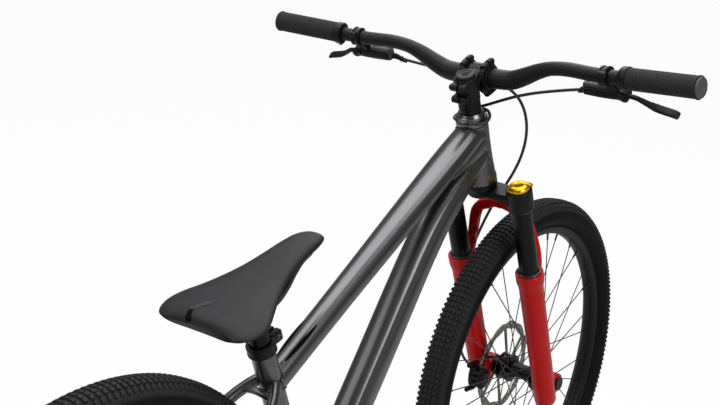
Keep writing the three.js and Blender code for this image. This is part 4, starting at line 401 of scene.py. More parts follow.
# rows of numbers along a smooth curve through the given rows; the first three are a place
def spline(rows, steps):
    rows = [list(map(float, row)) for row in rows]
    knots = [0.0]
    for before, after in zip(rows, rows[1:]):
        knots.append(knots[-1] + max(math.dist(before[:3], after[:3]), 1e-6) ** 0.5)
    last = len(rows) - 1
    slopes = []
    for i in range(len(rows)):
        a, b = max(i - 1, 0), min(i + 1, last)
        if 0 < i < last:
            dt0, dt1 = knots[i] - knots[a], knots[b] - knots[i]
            slopes.append([
                ((rows[i][k] - rows[a][k]) / dt0 * dt1 + (rows[b][k] - rows[i][k]) / dt1 * dt0) / (dt0 + dt1)
                for k in range(len(rows[0]))
            ])
        else:
            slopes.append([(rows[b][k] - rows[a][k]) / (knots[b] - knots[a]) for k in range(len(rows[0]))])
    made = []
    for i in range(last):
        span = knots[i + 1] - knots[i]
        for j in range(steps):
            t = j / steps
            h = (2 * t**3 - 3 * t**2 + 1, t**3 - 2 * t**2 + t, -2 * t**3 + 3 * t**2, t**3 - t**2)
            made.append([
                h[0] * rows[i][k] + h[1] * span * slopes[i][k] + h[2] * rows[i + 1][k] + h[3] * span * slopes[i + 1][k]
                for k in range(len(rows[0]))
            ])
    made.append(rows[-1])
    return made


def ovalRing(centre, across, upward, halfAcross, halfUp, sides, power=2.0):
    ring = []
    for i in range(sides):
        angle = i / sides * turn
        c, s = math.cos(angle), math.sin(angle)
        x = math.copysign(abs(c) ** (2 / power), c) * halfAcross
        y = math.copysign(abs(s) ** (2 / power), s) * halfUp
        ring.append(centre + across * x + upward * y)
    return ring


# the way a line of rows runs at one of them
def heading(rows, i):
    before, after = rows[max(i - 1, 0)], rows[min(i + 1, len(rows) - 1)]
    return (Vector(after[:3]) - Vector(before[:3])).normalized()


# two directions square to a third
def squareTo(along):
    level = lateral if abs(along.y) < 0.7 else forward
    upward = along.cross(level).normalized()
    return upward.cross(along).normalized(), upward


# the other half of a profile that is the same on both sides
def mirrored(profile):
    return [(radius, -side) for radius, side in reversed(profile)]


turnAxes = {"Y": (upright, forward, lateral), "Z": (forward, lateral, upright)}


# joins points that meet, and turns the faces outwards
def cleaned(mesh, distance, smooth, flat=0.0):
    work = bmesh.new()
    work.from_mesh(mesh)
    bmesh.ops.remove_doubles(work, verts=work.verts, dist=distance)
    if flat:
        bmesh.ops.dissolve_degenerate(work, edges=work.edges, dist=flat)
    bmesh.ops.recalc_face_normals(work, faces=work.faces)
    work.to_mesh(mesh)
    work.free()
    mesh.shade_smooth()
    mesh.set_sharp_from_angle(angle=math.radians(smooth))
    return mesh


joinDistance = 0.00002
plainAngle = 35


class Form:
    def __init__(self, place=world):
        self.place = place
        self.points = []
        self.faces = []
        self.slots = []
        self.slot = 0

    def add(self, points, faces):
        start = len(self.points)
        self.points += [self.place @ Vector(point) for point in points]
        self.faces += [tuple(start + i for i in face) for face in faces]
        self.slots += [self.slot] * len(faces)
        return self

    # skin over rings, closed by a face at each end
    def loft(self, rings):
        count = len(rings[0])
        last = len(rings) - 1
        faces = []
        for r in range(last):
            for i in range(count):
                j = (i + 1) % count
                faces.append((r * count + i, r * count + j, (r + 1) * count + j, (r + 1) * count + i))
        faces.append(tuple(reversed(range(count))))
        faces.append(tuple(last * count + i for i in range(count)))
        return self.add([point for ring in rings for point in ring], faces)

    # a profile of radius and place turned about an axis through the origin; a loop closes on itself
    def lathe(self, profile, axis="Y", sides=64, origin=(0, 0, 0), loop=True):
        first, second, along = turnAxes[axis]
        rings = []
        for i in range(sides):
            angle = i / sides * turn
            out = first * math.cos(angle) + second * math.sin(angle)
            rings.append([Vector(origin) + out * max(radius, 0.0001) + along * place for radius, place in profile])
        count = len(profile)
        faces = []
        for i in range(sides):
            j = (i + 1) % sides
            for k in range(count if loop else count - 1):
                m = (k + 1) % count
                if profile[k][0] > 0 or profile[m][0] > 0:
                    faces.append((i * count + k, i * count + m, j * count + m, j * count + k))
        return self.add([point for ring in rings for point in ring], faces)

    def rod(self, start, end, radius, sides=24, endRadius=None, edge=0.0):
        start, end = Vector(start), Vector(end)
        along = (end - start).normalized()
        across, upward = squareTo(along)
        last = radius if endRadius is None else endRadius
        rows = [(start, radius), (end, last)]
        if edge:
            rows = [
                (start, radius - edge), (start + along * edge, radius), (end - along * edge, last), (end, last - edge)
            ]
        return self.loft([ovalRing(centre, across, upward, size, size, sides) for centre, size in rows])

    # a tube through rows of place, half width, half height and power; its width stays level
    # each facet is an angle round the section and the share of the radius where it is cut flat
    def tube(self, rows, sides=48, steps=8, side=lateral, facets=()):
        rows = [list(row) + [2.0] * (6 - len(row)) for row in rows]
        smooth = spline(rows, steps) if steps > 1 else rows
        rings = []
        for i, row in enumerate(smooth):
            along = heading(smooth, i)
            upward = along.cross(side).normalized()
            across = upward.cross(along).normalized()
            ring = ovalRing(Vector(row[:3]), across, upward, row[3], row[4], sides, row[5])
            for angle, share in facets:
                face = across * math.cos(math.radians(angle)) + upward * math.sin(math.radians(angle))
                limit = max((point - Vector(row[:3])).dot(face) for point in ring) * share
                ring = [point - face * max((point - Vector(row[:3])).dot(face) - limit, 0) for point in ring]
            rings.append(ring)
        return self.loft(rings)

    # a round cord through points, without twist
    def cord(self, points, radius, sides=16, steps=6):
        last = len(points) - 1
        sizes = [radius(i / last) if callable(radius) else radius for i in range(last + 1)]
        rows = spline([[*point, size] for point, size in zip(points, sizes)], steps)
        places = [Vector(row[:3]) for row in rows]
        normal = None
        rings = []
        for i, place in enumerate(places):
            along = heading(rows, i)
            if normal is None:
                normal = along.cross(lateral if abs(along.y) < 0.8 else forward).normalized()
            normal = (normal - along * normal.dot(along)).normalized()
            rings.append(ovalRing(place, normal, along.cross(normal), rows[i][3], rows[i][3], sides))
        return self.loft(rings)

    def mesh(self, name, materials, smooth=plainAngle):
        mesh = bpy.data.meshes.new(name)
        mesh.from_pydata([point * metre for point in self.points], [], self.faces)
        for material in [materials] if isinstance(materials, str) else materials:
            mesh.materials.append(finishes[material])
        mesh.polygons.foreach_set("material_index", self.slots)
        return cleaned(mesh, joinDistance, smooth, joinDistance / 4)

    def piece(self, name, body, materials, replaced=(), slot=None, **options):
        return link(name, self.mesh(name, materials, **options), body, replaced)


# the mesh that an object gives once its modifiers have acted
def flattened(piece):
    bpy.context.view_layer.update()
    evaluated = piece.evaluated_get(bpy.context.evaluated_depsgraph_get())
    mesh = bpy.data.meshes.new_from_object(evaluated)
    mesh.name = piece.name
    return mesh


# a flat plate with holes, from outlines of (x, y) points, standing in the X-Z plane
def plate(outlines, thickness, place, side=0.0, edge=0.3):
    curve = bpy.data.curves.new("plateWork", "CURVE")
    curve.dimensions = "2D"
    curve.fill_mode = "BOTH"
    curve.extrude = (thickness / 2 - edge) * metre
    curve.bevel_depth = edge * metre
    curve.bevel_resolution = 1
    curve.offset = -edge * metre
    for outline in outlines:
        line = curve.splines.new("POLY")
        line.points.add(len(outline) - 1)
        for point, (x, z) in zip(line.points, outline):
            point.co = (x * metre, z * metre, 0, 1)
        line.use_cyclic_u = True
    piece = stood("plateWork", curve)
    mesh = flattened(piece)
    bpy.data.objects.remove(piece)
    bpy.data.curves.remove(curve)
    raised = Matrix.Rotation(math.pi / 2, 4, "X")
    toMetres = Matrix.Diagonal((metre, metre, metre, 1)) @ place @ Matrix.Diagonal((1 / metre, 1 / metre, 1 / metre, 1))
    mesh.transform(toMetres @ Matrix.Translation((0, side * metre, 0)) @ raised)
    return cleaned(mesh, joinDistance / 10, plainAngle)


def circle(x, z, radius, sides=24):
    angles = [i / sides * turn for i in range(sides)]
    return [(x + radius * math.cos(angle), z + radius * math.sin(angle)) for angle in angles]


# part of a ring about the Y direction, swept between two angles measured from forward towards up
def arcBand(form, centre, profile, start, stop, steps=28):
    rings = []
    for i in range(steps + 1):
        angle = math.radians(start + (stop - start) * i / steps)
        out = Vector((math.cos(angle), 0, math.sin(angle)))
        rings.append([Vector(centre) + out * radius + lateral * side for radius, side in profile])
    return form.loft(rings)


# a bolt head with a six-sided socket, seen at its end
def bolt(form, start, end, radius, socket=0.5, sides=24):
    start, end = Vector(start), Vector(end)
    along = (end - start).normalized()
    across, upward = squareTo(along)
    edge = radius * 0.14
    rings = []
    for place, size, hexed in (
        (start, radius, 0), (end - along * edge, radius, 0), (end, radius - edge, 0), (end, radius * socket * 1.2, 0),
        (end - along * 0.1, radius * socket, 1),
        (end - along * min(radius * 0.6, (end - start).length * 0.7), radius * socket, 1)
    ):
        ring = []
        for i in range(sides):
            angle = i / sides * turn
            reach = size / math.cos((angle % (turn / 6)) - turn / 12) * 0.92 if hexed else size
            ring.append(place + across * math.cos(angle) * reach + upward * math.sin(angle) * reach)
        rings.append(ring)
    return form.loft(rings)


# one mesh out of several
def gathered(meshes):
    work = bmesh.new()
    materials = []
    for mesh in meshes:
        offset = []
        for material in mesh.materials:
            if material not in materials:
                materials.append(material)
            offset.append(materials.index(material))
        start = len(work.faces)
        work.from_mesh(mesh)
        work.faces.ensure_lookup_table()
        for face in work.faces[start:]:
            face.material_index = offset[face.material_index] if face.material_index < len(offset) else 0
    made = bpy.data.meshes.new("gathered")
    work.to_mesh(made)
    work.free()
    for material in materials:
        made.materials.append(material)
    return made


# Geometry Nodes


def newTree(name, inputs):
    tree = bpy.data.node_groups.new(name, "GeometryNodeTree")
    tree.interface.new_socket("Geometry", in_out="OUTPUT", socket_type="NodeSocketGeometry")
    tree.interface.new_socket("Geometry", in_out="INPUT", socket_type="NodeSocketGeometry")
    for label, kind in inputs:
        tree.interface.new_socket(label, in_out="INPUT", socket_type="NodeSocket" + kind)
    return tree, tree.nodes.new("NodeGroupInput"), tree.nodes.new("NodeGroupOutput")


def step(tree, kind, sockets, **settings):
    node = tree.nodes.new(kind)
    for name, value in settings.items():
        setattr(node, name, value)
    for name, value in sockets.items():
        if isinstance(value, bpy.types.NodeSocket):
            tree.links.new(value, node.inputs[name])
        else:
            node.inputs[name].default_value = value
    return node


# copies stand on the points; they are made real and take the material last
def copied(tree, end, points, unit, rotation, material):
    placed = step(tree, "GeometryNodeInstanceOnPoints", {"Points": points, "Instance": unit, "Rotation": rotation})
    real = step(tree, "GeometryNodeRealizeInstances", {"Geometry": placed.outputs[0]})
    dressed = step(tree, "GeometryNodeSetMaterial", {"Geometry": real.outputs[0], "Material": material})
    tree.links.new(dressed.outputs[0], end.inputs[0])
    return tree


# copies of the mesh, evenly round an axle that runs along Y
def roundTree():
    tree, start, end = newTree("roundTheAxle", [("Copies", "Int"), ("Axle", "Vector"), ("Material", "Material")])
    centred = step(tree, "ShaderNodeVectorMath", {0: (0.0, 0.0, 0.0), 1: start.outputs["Axle"]}, operation="SUBTRACT")
    unit = step(
        tree, "GeometryNodeTransform", {"Geometry": start.outputs["Geometry"], "Translation": centred.outputs[0]}
    )
    spots = step(tree, "GeometryNodePoints", {"Count": start.outputs["Copies"], "Position": start.outputs["Axle"]})
    index = step(tree, "GeometryNodeInputIndex", {})
    share = step(tree, "ShaderNodeMath", {0: index.outputs[0], 1: start.outputs["Copies"]}, operation="DIVIDE")
    angle = step(tree, "ShaderNodeMath", {0: share.outputs[0], 1: turn}, operation="MULTIPLY")
    spin = step(tree, "ShaderNodeCombineXYZ", {"Y": angle.outputs[0]})
    return copied(tree, end, spots.outputs[0], unit.outputs[0], spin.outputs[0], start.outputs["Material"])


# copies of the unit along the mesh's own line of edges, every so far apart
def pathTree():
    tree, start, end = newTree("alongThePath", [("Unit", "Object"), ("Spacing", "Float"), ("Material", "Material")])
    line = step(tree, "GeometryNodeMeshToCurve", {"Mesh": start.outputs["Geometry"]})
    spots = step(
        tree, "GeometryNodeResampleCurve", {"Curve": line.outputs[0], "Length": start.outputs["Spacing"]}, mode="LENGTH"
    )
    tangent = step(tree, "GeometryNodeInputTangent", {})
    aimed = step(tree, "FunctionNodeAlignEulerToVector", {"Vector": tangent.outputs[0]}, axis="X")
    unit = step(tree, "GeometryNodeObjectInfo", {"Object": start.outputs["Unit"]})
    return copied(tree, end, spots.outputs[0], unit.outputs["Geometry"], aimed.outputs[0], start.outputs["Material"])


roundTheAxle = roundTree()
alongThePath = pathTree()


def grown(mesh, tree, values):
    piece = stood("growWork", mesh)
    modifier = piece.modifiers.new("grow", "NODES")
    modifier.node_group = tree
    for item in tree.interface.items_tree:
        if item.in_out == "INPUT" and item.name in values:
            modifier[item.identifier] = values[item.name]
    made = flattened(piece)
    bpy.data.objects.remove(piece)
    made.shade_smooth()
    made.set_sharp_from_angle(angle=math.radians(plainAngle))
    return made


def aroundAxle(unit, copies, axle, material):
    return grown(unit, roundTheAxle, {"Copies": copies, "Axle": tuple(axle * metre), "Material": finishes[material]})


# wheels

wheel = {
    "crown": 331.3, "treadLimit": 333.6, "halfWidth": 27.5, "seat": 279.4, "bead": 12.4, "beadTop": 285,
    "courses": 104, "knobLength": 7.4, "knobWidth": 6.6, "knobHeight": 3.4,
    "rimOuter": 284, "rimSeat": 279, "rimInner": 268.5, "rimHalf": 14.5, "rimWall": 1.8,
    "spokes": 32, "crosses": 3, "spokeRadius": 1.0, "stagger": 1.6, "spokeCircle": 22.5, "rimReach": 266.5,
    "nippleRadius": 2.1, "nippleLength": 13, "valveLength": 34, "valveRadius": 3,
}

# radius share from bead to crown, and half-width share
casingShares = [
    (0, 0.46), (0.06, 0.62), (0.16, 0.83), (0.28, 0.95), (0.40, 1.0), (0.52, 0.985), (0.64, 0.93), (0.76, 0.82),
    (0.86, 0.67), (0.94, 0.45), (0.985, 0.22), (1, 0)
]


def casingPoint(share):
    rows = casingShares
    for (upA, wideA), (upB, wideB) in zip(rows, rows[1:]):
        if wideA >= wideB and wideB <= share <= wideA:
            part = (wideA - share) / max(wideA - wideB, 1e-6)
            return upA + (upB - upA) * part
    return 1.0


def casingRadius(side):
    share = min(abs(side) / wheel["halfWidth"], 1.0)
    return wheel["beadTop"] + casingPoint(share) * (wheel["crown"] - wheel["beadTop"])


def makeTyre(name, place, axle, material, body, node):
    rise = wheel["crown"] - wheel["beadTop"]
    smooth = spline([(0, up, wide) for up, wide in casingShares], 3)
    half = [(wheel["beadTop"] + row[1] * rise, row[2] * wheel["halfWidth"]) for row in smooth]
    right = [(wheel["seat"], wheel["bead"] - 1), (wheel["beadTop"] - 3, wheel["bead"]), *half[:-1]]
    profile = [*right, (wheel["crown"], 0), *mirrored(right)]
    casing = Form(place).lathe(profile, "Y", 160).mesh(name, material, smooth=60)
    meshes = [casing]
    course = Form(place)
    pitch = turn / wheel["courses"]
    # side place, share of the pitch, length and width shares
    rows = [
        (-18.6, 0.25, 0.9, 0.9), (-11.2, 0.75, 1, 1), (-3.8, 0.25, 1, 1), (3.8, 0.75, 1, 1), (11.2, 0.25, 1, 1),
        (18.6, 0.75, 0.9, 0.9)
    ]
    for side, share, longer, wider in rows:
        for again in (0, 0.5):
            angle = (share + again) * pitch
            halfLong = wheel["knobLength"] * longer / 2
            halfWide = wheel["knobWidth"] * wider / 2
            near, far = casingRadius(side - halfWide), casingRadius(side + halfWide)
            tilt = math.atan2(near - far, 2 * halfWide)
            foot = casingRadius(side) - 1.2
            top = min(
                casingRadius(side) + wheel["knobHeight"] * (1 if abs(side) < 15 else 0.8),
                wheel["treadLimit"] - abs(side) * 0.05
            )
            out = Vector((math.cos(angle), 0, math.sin(angle)))
            along = Vector((-math.sin(angle), 0, math.cos(angle)))
            normal = (out * math.cos(tilt) + lateral * math.sin(tilt)).normalized()
            across = (lateral * math.cos(tilt) - out * math.sin(tilt)).normalized()
            centre = out * foot + lateral * side
            height = top - foot
            corners = [(-1, -1), (1, -1), (1, 1), (-1, 1)]
            rings = [
                [
                    centre + normal * height * level + along * a * halfLong * size * 0.72 + across * b * halfWide * size
                    for a, b in corners
                ]
                for level, size in ((0, 1.06), (0.84, 1.0), (1.0, 0.84))
            ]
            course.loft(rings)
    unit = course.mesh("course", material, smooth=20)
    meshes.append(aroundAxle(unit, wheel["courses"], axle, material))
    tyre = gathered(meshes)
    tyre.name = name
    return link(name, tyre, body, [node])


def makeRim(name, place, body, node):
    outer, base, inner, half, wall = (wheel[key] for key in ("rimOuter", "rimSeat", "rimInner", "rimHalf", "rimWall"))
    wing = [
        (inner, -half * 0.42), (inner + 2.2, -half * 0.74), (inner + 6.2, -half * 0.93), (base, -half),
        (outer - 0.6, -half), (outer, -half + 0.6), (outer, -half + wall - 0.3), (outer - 1.6, -half + wall + 0.5),
        (base + 0.4, -half + wall + 0.3), (base, -half + wall + 2), (base - 2.2, -5)
    ]
    profile = [*wing, (base - 3, 0), *mirrored(wing), (inner - 0.3, 0)]
    return Form(place).lathe(profile, "Y", 180).piece(name, body, "matBlack", [node], smooth=40)


# the two spokes on each side that repeat round the wheel
def spokeUnit(place, left, right):
    form = Form(place)
    perSide = wheel["spokes"] // 2
    pace = turn / perSide
    for flange, offset in ((left, 0), (-right, turn / wheel["spokes"])):
        for i, direction in ((0, 1), (1, -1)):
            hubTurn = i * pace + offset
            rimTurn = hubTurn + direction * wheel["crosses"] * pace
            side = flange + direction * wheel["stagger"]
            reach = wheel["rimReach"]
            rimSide = math.copysign(wheel["stagger"] * 2, flange) + direction * wheel["stagger"] / 3
            start = Vector((wheel["spokeCircle"] * math.cos(hubTurn), side, wheel["spokeCircle"] * math.sin(hubTurn)))
            end = Vector((reach * math.cos(rimTurn), rimSide, reach * math.sin(rimTurn)))
            along = (end - start).normalized()
            form.rod(start, end, wheel["spokeRadius"], 8)
            form.rod(
                start - lateral * direction * 2.4, start + lateral * direction * 0.4, wheel["spokeRadius"] * 1.7, 8
            )
            form.rod(
                end - along * (wheel["nippleLength"] - 1.5), end + along * 1.5, wheel["nippleRadius"] * 0.8, 8,
                wheel["nippleRadius"]
            )
    return form


def makeSpokes(name, place, axle, left, right, body):
    unit = spokeUnit(place, left, right).mesh("spokeUnit", "darkSteel", smooth=50)
    return link(name, aroundAxle(unit, wheel["spokes"] // 4, axle, "darkSteel"), body)


frontHub = {
    "bore": 10.4, "left": 54.6, "right": 54.6, "endRight": 13, "radius": 15, "flangeLeft": 21, "flangeRight": 32,
    "rotor": 41
}
rearHub = {
    "bore": 5.4, "left": 57, "right": 37.7, "endRight": 13, "radius": 16, "flangeLeft": 32, "flangeRight": 22,
    "rotor": 51
}


def makeHub(name, place, hub, body, node):
    wide, flange = 3, 26
    shoulder = hub["rotor"] - 1.3
    left, right = hub["flangeLeft"], hub["flangeRight"]
    profile = [
        (hub["bore"], -hub["right"]), (hub["endRight"] - 0.6, -hub["right"]), (hub["endRight"], -hub["right"] + 0.6),
        (hub["endRight"], -right - wide - 1.5), (hub["endRight"] + 2, -right - wide),
        (flange - 1, -right - wide), (flange, -right - wide + 1), (flange, -right + wide - 1.6),
        (flange - 1, -right + wide), (hub["radius"] + 3, -right + wide + 1), (hub["radius"], -right + 2.2 * wide),
        (hub["radius"] - 1, -right / 3), (hub["radius"] - 1, left / 3), (hub["radius"], left - 2.2 * wide),
        (hub["radius"] + 3, left - wide - 1), (flange - 1, left - wide), (flange, left - wide + 1),
        (flange, left + wide - 1), (flange - 1, left + wide),
        (23, shoulder), (16.5, shoulder), (16.5, hub["left"] - 0.5), (16, hub["left"]), (hub["bore"], hub["left"]),
    ]
    return Form(place).lathe(profile, "Y", 64).piece(name, body, "glossBlack", [node], smooth=30)


rotor = {
    "thickness": 2, "band": 15, "waves": 12, "depth": 3.6, "arms": 6, "armWidth": 8, "hub": 27, "bore": 17.2,
    "hole": 2.3, "bolts": 6, "boltCircle": 22
}


def rotorBoltPlaces():
    angles = [(i + 0.5) / rotor["bolts"] * turn for i in range(rotor["bolts"])]
    return [(rotor["boltCircle"] * math.cos(angle), rotor["boltCircle"] * math.sin(angle)) for angle in angles]


def makeRotor(name, place, radius, side, material, body, node):
    points = []
    count = rotor["waves"] * 16
    for i in range(count):
        angle = i / count * turn
        wave = abs(math.sin(angle * rotor["waves"] / 2)) ** 0.7
        size = radius - rotor["depth"] * (1 - wave)
        points.append((size * math.cos(angle), size * math.sin(angle)))
    outlines = [points]
    inner = radius - rotor["band"]
    armTurn = turn / rotor["arms"]
    for i in range(rotor["arms"]):
        start = i * armTurn
        outerHalf = (armTurn - rotor["armWidth"] / inner) / 2
        innerHalf = (armTurn - rotor["armWidth"] / rotor["hub"]) / 2
        lag = armTurn * 0.45
        window = []
        for j in range(13):
            angle = start + (j / 6 - 1) * outerHalf
            dip = 1.2 * math.cos(j / 12 * 4 * math.pi)
            window.append(((inner + dip) * math.cos(angle), (inner + dip) * math.sin(angle)))
        for j in range(7):
            angle = start - lag + (1 - j / 3) * innerHalf
            window.append((rotor["hub"] * math.cos(angle), rotor["hub"] * math.sin(angle)))
        outlines.append(window)
    for i in range(rotor["waves"]):
        for share, circleShare, size in (
            (0.5, 0.72, 1), (0.28, 0.5, 0.9), (0.72, 0.5, 0.9), (0.5, 0.28, 0.9), (0.06, 0.36, 0.8)
        ):
            angle = (i + share) / rotor["waves"] * turn
            spot = inner + rotor["band"] * circleShare
            outlines.append(circle(spot * math.cos(angle), spot * math.sin(angle), rotor["hole"] * size, 12))
    outlines.append(circle(0, 0, rotor["bore"], 48))
    outlines += [circle(x, z, 2, 10) for x, z in rotorBoltPlaces()]
    mesh = plate(outlines, rotor["thickness"], place, side)
    mesh.materials.append(finishes[material])
    return link(name, mesh, body, [node])


def makeRotorBolts(name, place, side, body):
    form = Form(place)
    for x, z in rotorBoltPlaces():
        form.rod((x, side - 3, z), (x, side + 3.2, z), 1.9, 12)
        form.rod((x, side + 1.1, z), (x, side + 3.4, z), 3.4, 16, 2.8)
    return form.piece(name, body, "darkSteel", smooth=30)


def makeValve(name, place, body):
    top, length, radius = wheel["rimInner"], wheel["valveLength"], wheel["valveRadius"]
    form = Form(place)
    form.rod((0, 0, top + 4), (0, 0, top - length * 0.7), radius, 20)
    form.rod((0, 0, top + 0.5), (0, 0, top - 3), radius * 2, 20, radius * 1.7, 0.4)
    form.rod((0, 0, top - length * 0.6), (0, 0, top - length), radius * 1.15, 16, radius * 0.8, 0.4)
    return form.piece(name, body, "darkSteel", smooth=30)


def makeWheel(end, place, axle, hub, rotorRadius, body):
    makeTyre(end + "TyrePiece", place, axle, end + "TyreRubber", body, end + "_tyre")
    makeRim(end + "RimPiece", place, body, end + "_rim")
    makeSpokes(end + "Spokes", place, axle, hub["flangeLeft"], hub["flangeRight"], body)
    makeHub(end + "HubShell", place, hub, body, end + "_hub_and_spokes")
    makeRotor(end + "RotorDisc", place, rotorRadius, hub["rotor"], end + "RotorSteel", body, end + "_rotor")
    makeRotorBolts(end + "RotorBolts", place, hub["rotor"], body)
    makeValve(end + "Valve", place, body)
    print(end, "wheel made")


makeWheel("front", atFront, frontAxle, frontHub, 88, "front_wheel")
makeWheel("rear", atRear, rearAxle, rearHub, 80, "rear_wheel")

# frame

tubes = {
    "headRadius": 26, "headEnd": 27.5, "topStartUp": 258, "topEndDrop": 24, "topHeight": 38, "topWidth": 54,
    "downEndDrop": 66, "downHeight": 54, "downWidth": 54, "bendBack": 162, "bendDrop": 122.6, "secondBack": 95.3,
    "secondDrop": 93.5, "power": 2.3, "webEnd": (196, 0, 776), "seatBore": 15.9, "seatRadius": 17.5, "seatLength": 318,
    "shellBore": 17.8, "shellRadius": 21, "shellWidth": 73, "stayRadius": 8.5, "stayHeight": 19, "stayWidth": 16,
    "rearSpacing": 135, "stayJoinUp": 262, "stayJoinSide": 10, "stayBulge": 8, "dropLength": 62, "dropHeight": 40,
    "dropThick": 7,
}
topShares = [(0, 0.68, 0.96), (0.3, 0.73, 0.97), (0.58, 0.86, 1), (0.85, 0.98, 0.96), (1, 0.93, 0.9)]
downShares = [(0.96, 0.96), (1, 1), (1, 0.96), (1.02, 0.88), (0.94, 0.8)]
chainShares = [
    (0.03, 0.34, 0, 1), (0.14, 0.48, 0, 1), (0.38, 0.74, 0.03, 0.92), (0.68, 0.96, 0.02, 0.88),
    (0.82, 1.05, 0.01, 0.85), (0.93, 1.06, 0, 0.85)
]
stayShares = [
    (0.02, 0.2, 1, 0.75), (0.09, 0.42, 1, 0.95), (0.17, 0.57, 1, 0.95), (0.4, 0.78, 0.95, 0.4), (0.72, 1.03, 0.88, 0),
    (0.92, 1.06, 0.85, 0)
]
headTop = bike["lowerStack"] + bike["headTube"]
headLow = bike["lowerStack"]


def topRows():
    start = bracket + seatUp * tubes["topStartUp"]
    end = steer @ Vector((0, 0, headTop - tubes["topEndDrop"]))
    return [
        (*start.lerp(end, share), wide * tubes["topWidth"] / 2, high * tubes["topHeight"] / 2, tubes["power"])
        for share, wide, high in topShares
    ]


def downRows():
    bend = steer @ Vector((-tubes["bendBack"], 0, headTop - tubes["bendDrop"]))
    second = steer @ Vector((-tubes["secondBack"], 0, headTop - tubes["secondDrop"]))
    places = [bracket, bracket.lerp(bend, 0.5), bend, second, steer @ Vector((0, 0, headTop - tubes["downEndDrop"]))]
    return [
        (*place, wide * tubes["downWidth"] / 2, high * tubes["downHeight"] / 2, tubes["power"])
        for place, (wide, high) in zip(places, downShares)
    ]


def chainstayRows(side):
    rows = []
    for along, out, rise, size in chainShares:
        shift = Vector((0, side * out * tubes["rearSpacing"] / 2, rise * tubes["stayHeight"]))
        place = bracket.lerp(rearAxle, along) + shift
        rows.append((*place, size * tubes["stayWidth"] / 2, size * tubes["stayHeight"] / 2, 2.0))
    return rows


stayStart = bracket + seatUp * tubes["stayJoinUp"]
stayEnd = rearAxle + Vector((tubes["dropLength"] / 4, 0, tubes["dropHeight"] / 2))


def seatstayRows(side):
    start = stayStart + Vector((0, side * tubes["stayJoinSide"], 0))
    rows = [(*start, tubes["stayRadius"], tubes["stayRadius"], 2.0)]
    for along, out, size, bulge in stayShares:
        shift = Vector((0, side * out * tubes["rearSpacing"] / 2, bulge * tubes["stayBulge"]))
        place = stayStart.lerp(stayEnd, along) + shift
        rows.append((*place, size * tubes["stayRadius"], size * tubes["stayRadius"], 2.0))
    return rows


def bridgeRows():
    middle = stayStart.lerp(stayEnd, 0.08) + Vector((0, 0, tubes["stayBulge"] / 2))
    return [
        middle + Vector((-up * 3.6, out * 29, up * 8))
        for out, up in ((-1, 0), (-0.5, 0.75), (0, 1), (0.5, 0.75), (1, 0))
    ]


# the web that fills the corner between the top tube and the down tube
def webRows():
    start, end = steer @ Vector((0, 0, headTop - 44)), Vector(tubes["webEnd"])
    return [
        (*start.lerp(end, share), wide, high, 2.8)
        for share, wide, high in ((0, 25, 24), (0.35, 24.4, 19), (0.65, 23.4, 13), (0.88, 21, 7.5), (1, 17, 4))
    ]


def headProfile():
    radius, end = tubes["headRadius"], tubes["headEnd"]
    middle = (headLow + headTop) / 2
    return [
        (18.6, headLow), (end - 1, headLow), (end, headLow + 1), (end, headLow + 7), (radius, headLow + 13),
        (radius - 1, middle - 20),
        (radius - 1.2, middle), (radius - 1, middle + 20), (radius - 0.2, headTop - 12), (radius, headTop - 1),
        (radius - 1, headTop), (18.6, headTop),
    ]


def dropPlates():
    half = tubes["dropHeight"] / 2
    tail = 24
    outline = [
        (-tail, -half * 0.72), (0, -half * 0.9), (half, -half * 0.85), (44.6, -half * 0.5), (44.6, half * 0.45),
        (27.9, half * 1.05), (half * 0.2, half * 1.35), (-tail * 0.6, half * 0.95), (-tail, half * 0.6), (-tail, 5.3),
        (0, 5.3)
    ]
    outline += [(5.3 * math.sin(a * math.pi / 8), 5.3 * math.cos(a * math.pi / 8)) for a in range(1, 8)]
    outline += [(0, -5.3), (-tail, -5.3)]
    meshes = [
        plate([outline], tubes["dropThick"], atRear, side * (tubes["rearSpacing"] + tubes["dropThick"]) / 2, 0.8)
        for side in (-1, 1)
    ]
    tabHeight = 19
    x = tubes["dropLength"]
    tab = [(x - 30, -2), (x + 36, -2), (x + 28, tabHeight * 0.9), (x + 4, tabHeight * 2.9), (x - 12, tabHeight * 2.6)]
    meshes.append(plate([tab, circle(x + 4, 30, 7, 20), circle(x - 8, 14, 5, 16)], 6, atRear, 63.8, 0.8))
    for mesh in meshes:
        mesh.materials.append(finishes["smokePaint"])
    return meshes


def makeFrame():
    form = Form(steer)
    form.lathe(headProfile(), "Z", 72)
    form.place = world
    form.tube(topRows(), 96, 10, facets=[(57, 0.982), (123, 0.982)])
    form.tube(downRows(), 96, 10, facets=[(30, 0.975), (150, 0.975)])
    form.tube(webRows(), 64, 10)
    form.place = seat
    bore, outer, low = tubes["seatBore"], tubes["seatRadius"], -tubes["seatLength"]
    form.lathe([(bore, 0), (outer - 0.4, 0), (outer, -0.5), (outer, low), (bore, low)], "Z", 64)
    form.place = atBracket
    half = tubes["shellWidth"] / 2
    bore, outer = tubes["shellBore"], tubes["shellRadius"]
    form.lathe(
        [
            (bore, -half), (outer - 0.6, -half), (outer, -half + 0.6), (outer, half - 0.6), (outer - 0.6, half),
            (bore, half)
        ],
        "Y", 64
    )
    form.place = world
    for side in (-1, 1):
        form.tube(chainstayRows(side), 32, 8)
        form.tube(seatstayRows(side), 32, 8)
    form.cord(bridgeRows(), 5.5, 32, 8)
    body = form.mesh("frameTubes", "smokePaint", smooth=15)
    mesh = gathered([body, *dropPlates()])
    return link("frameTubes", mesh, "frame", ["frame"])


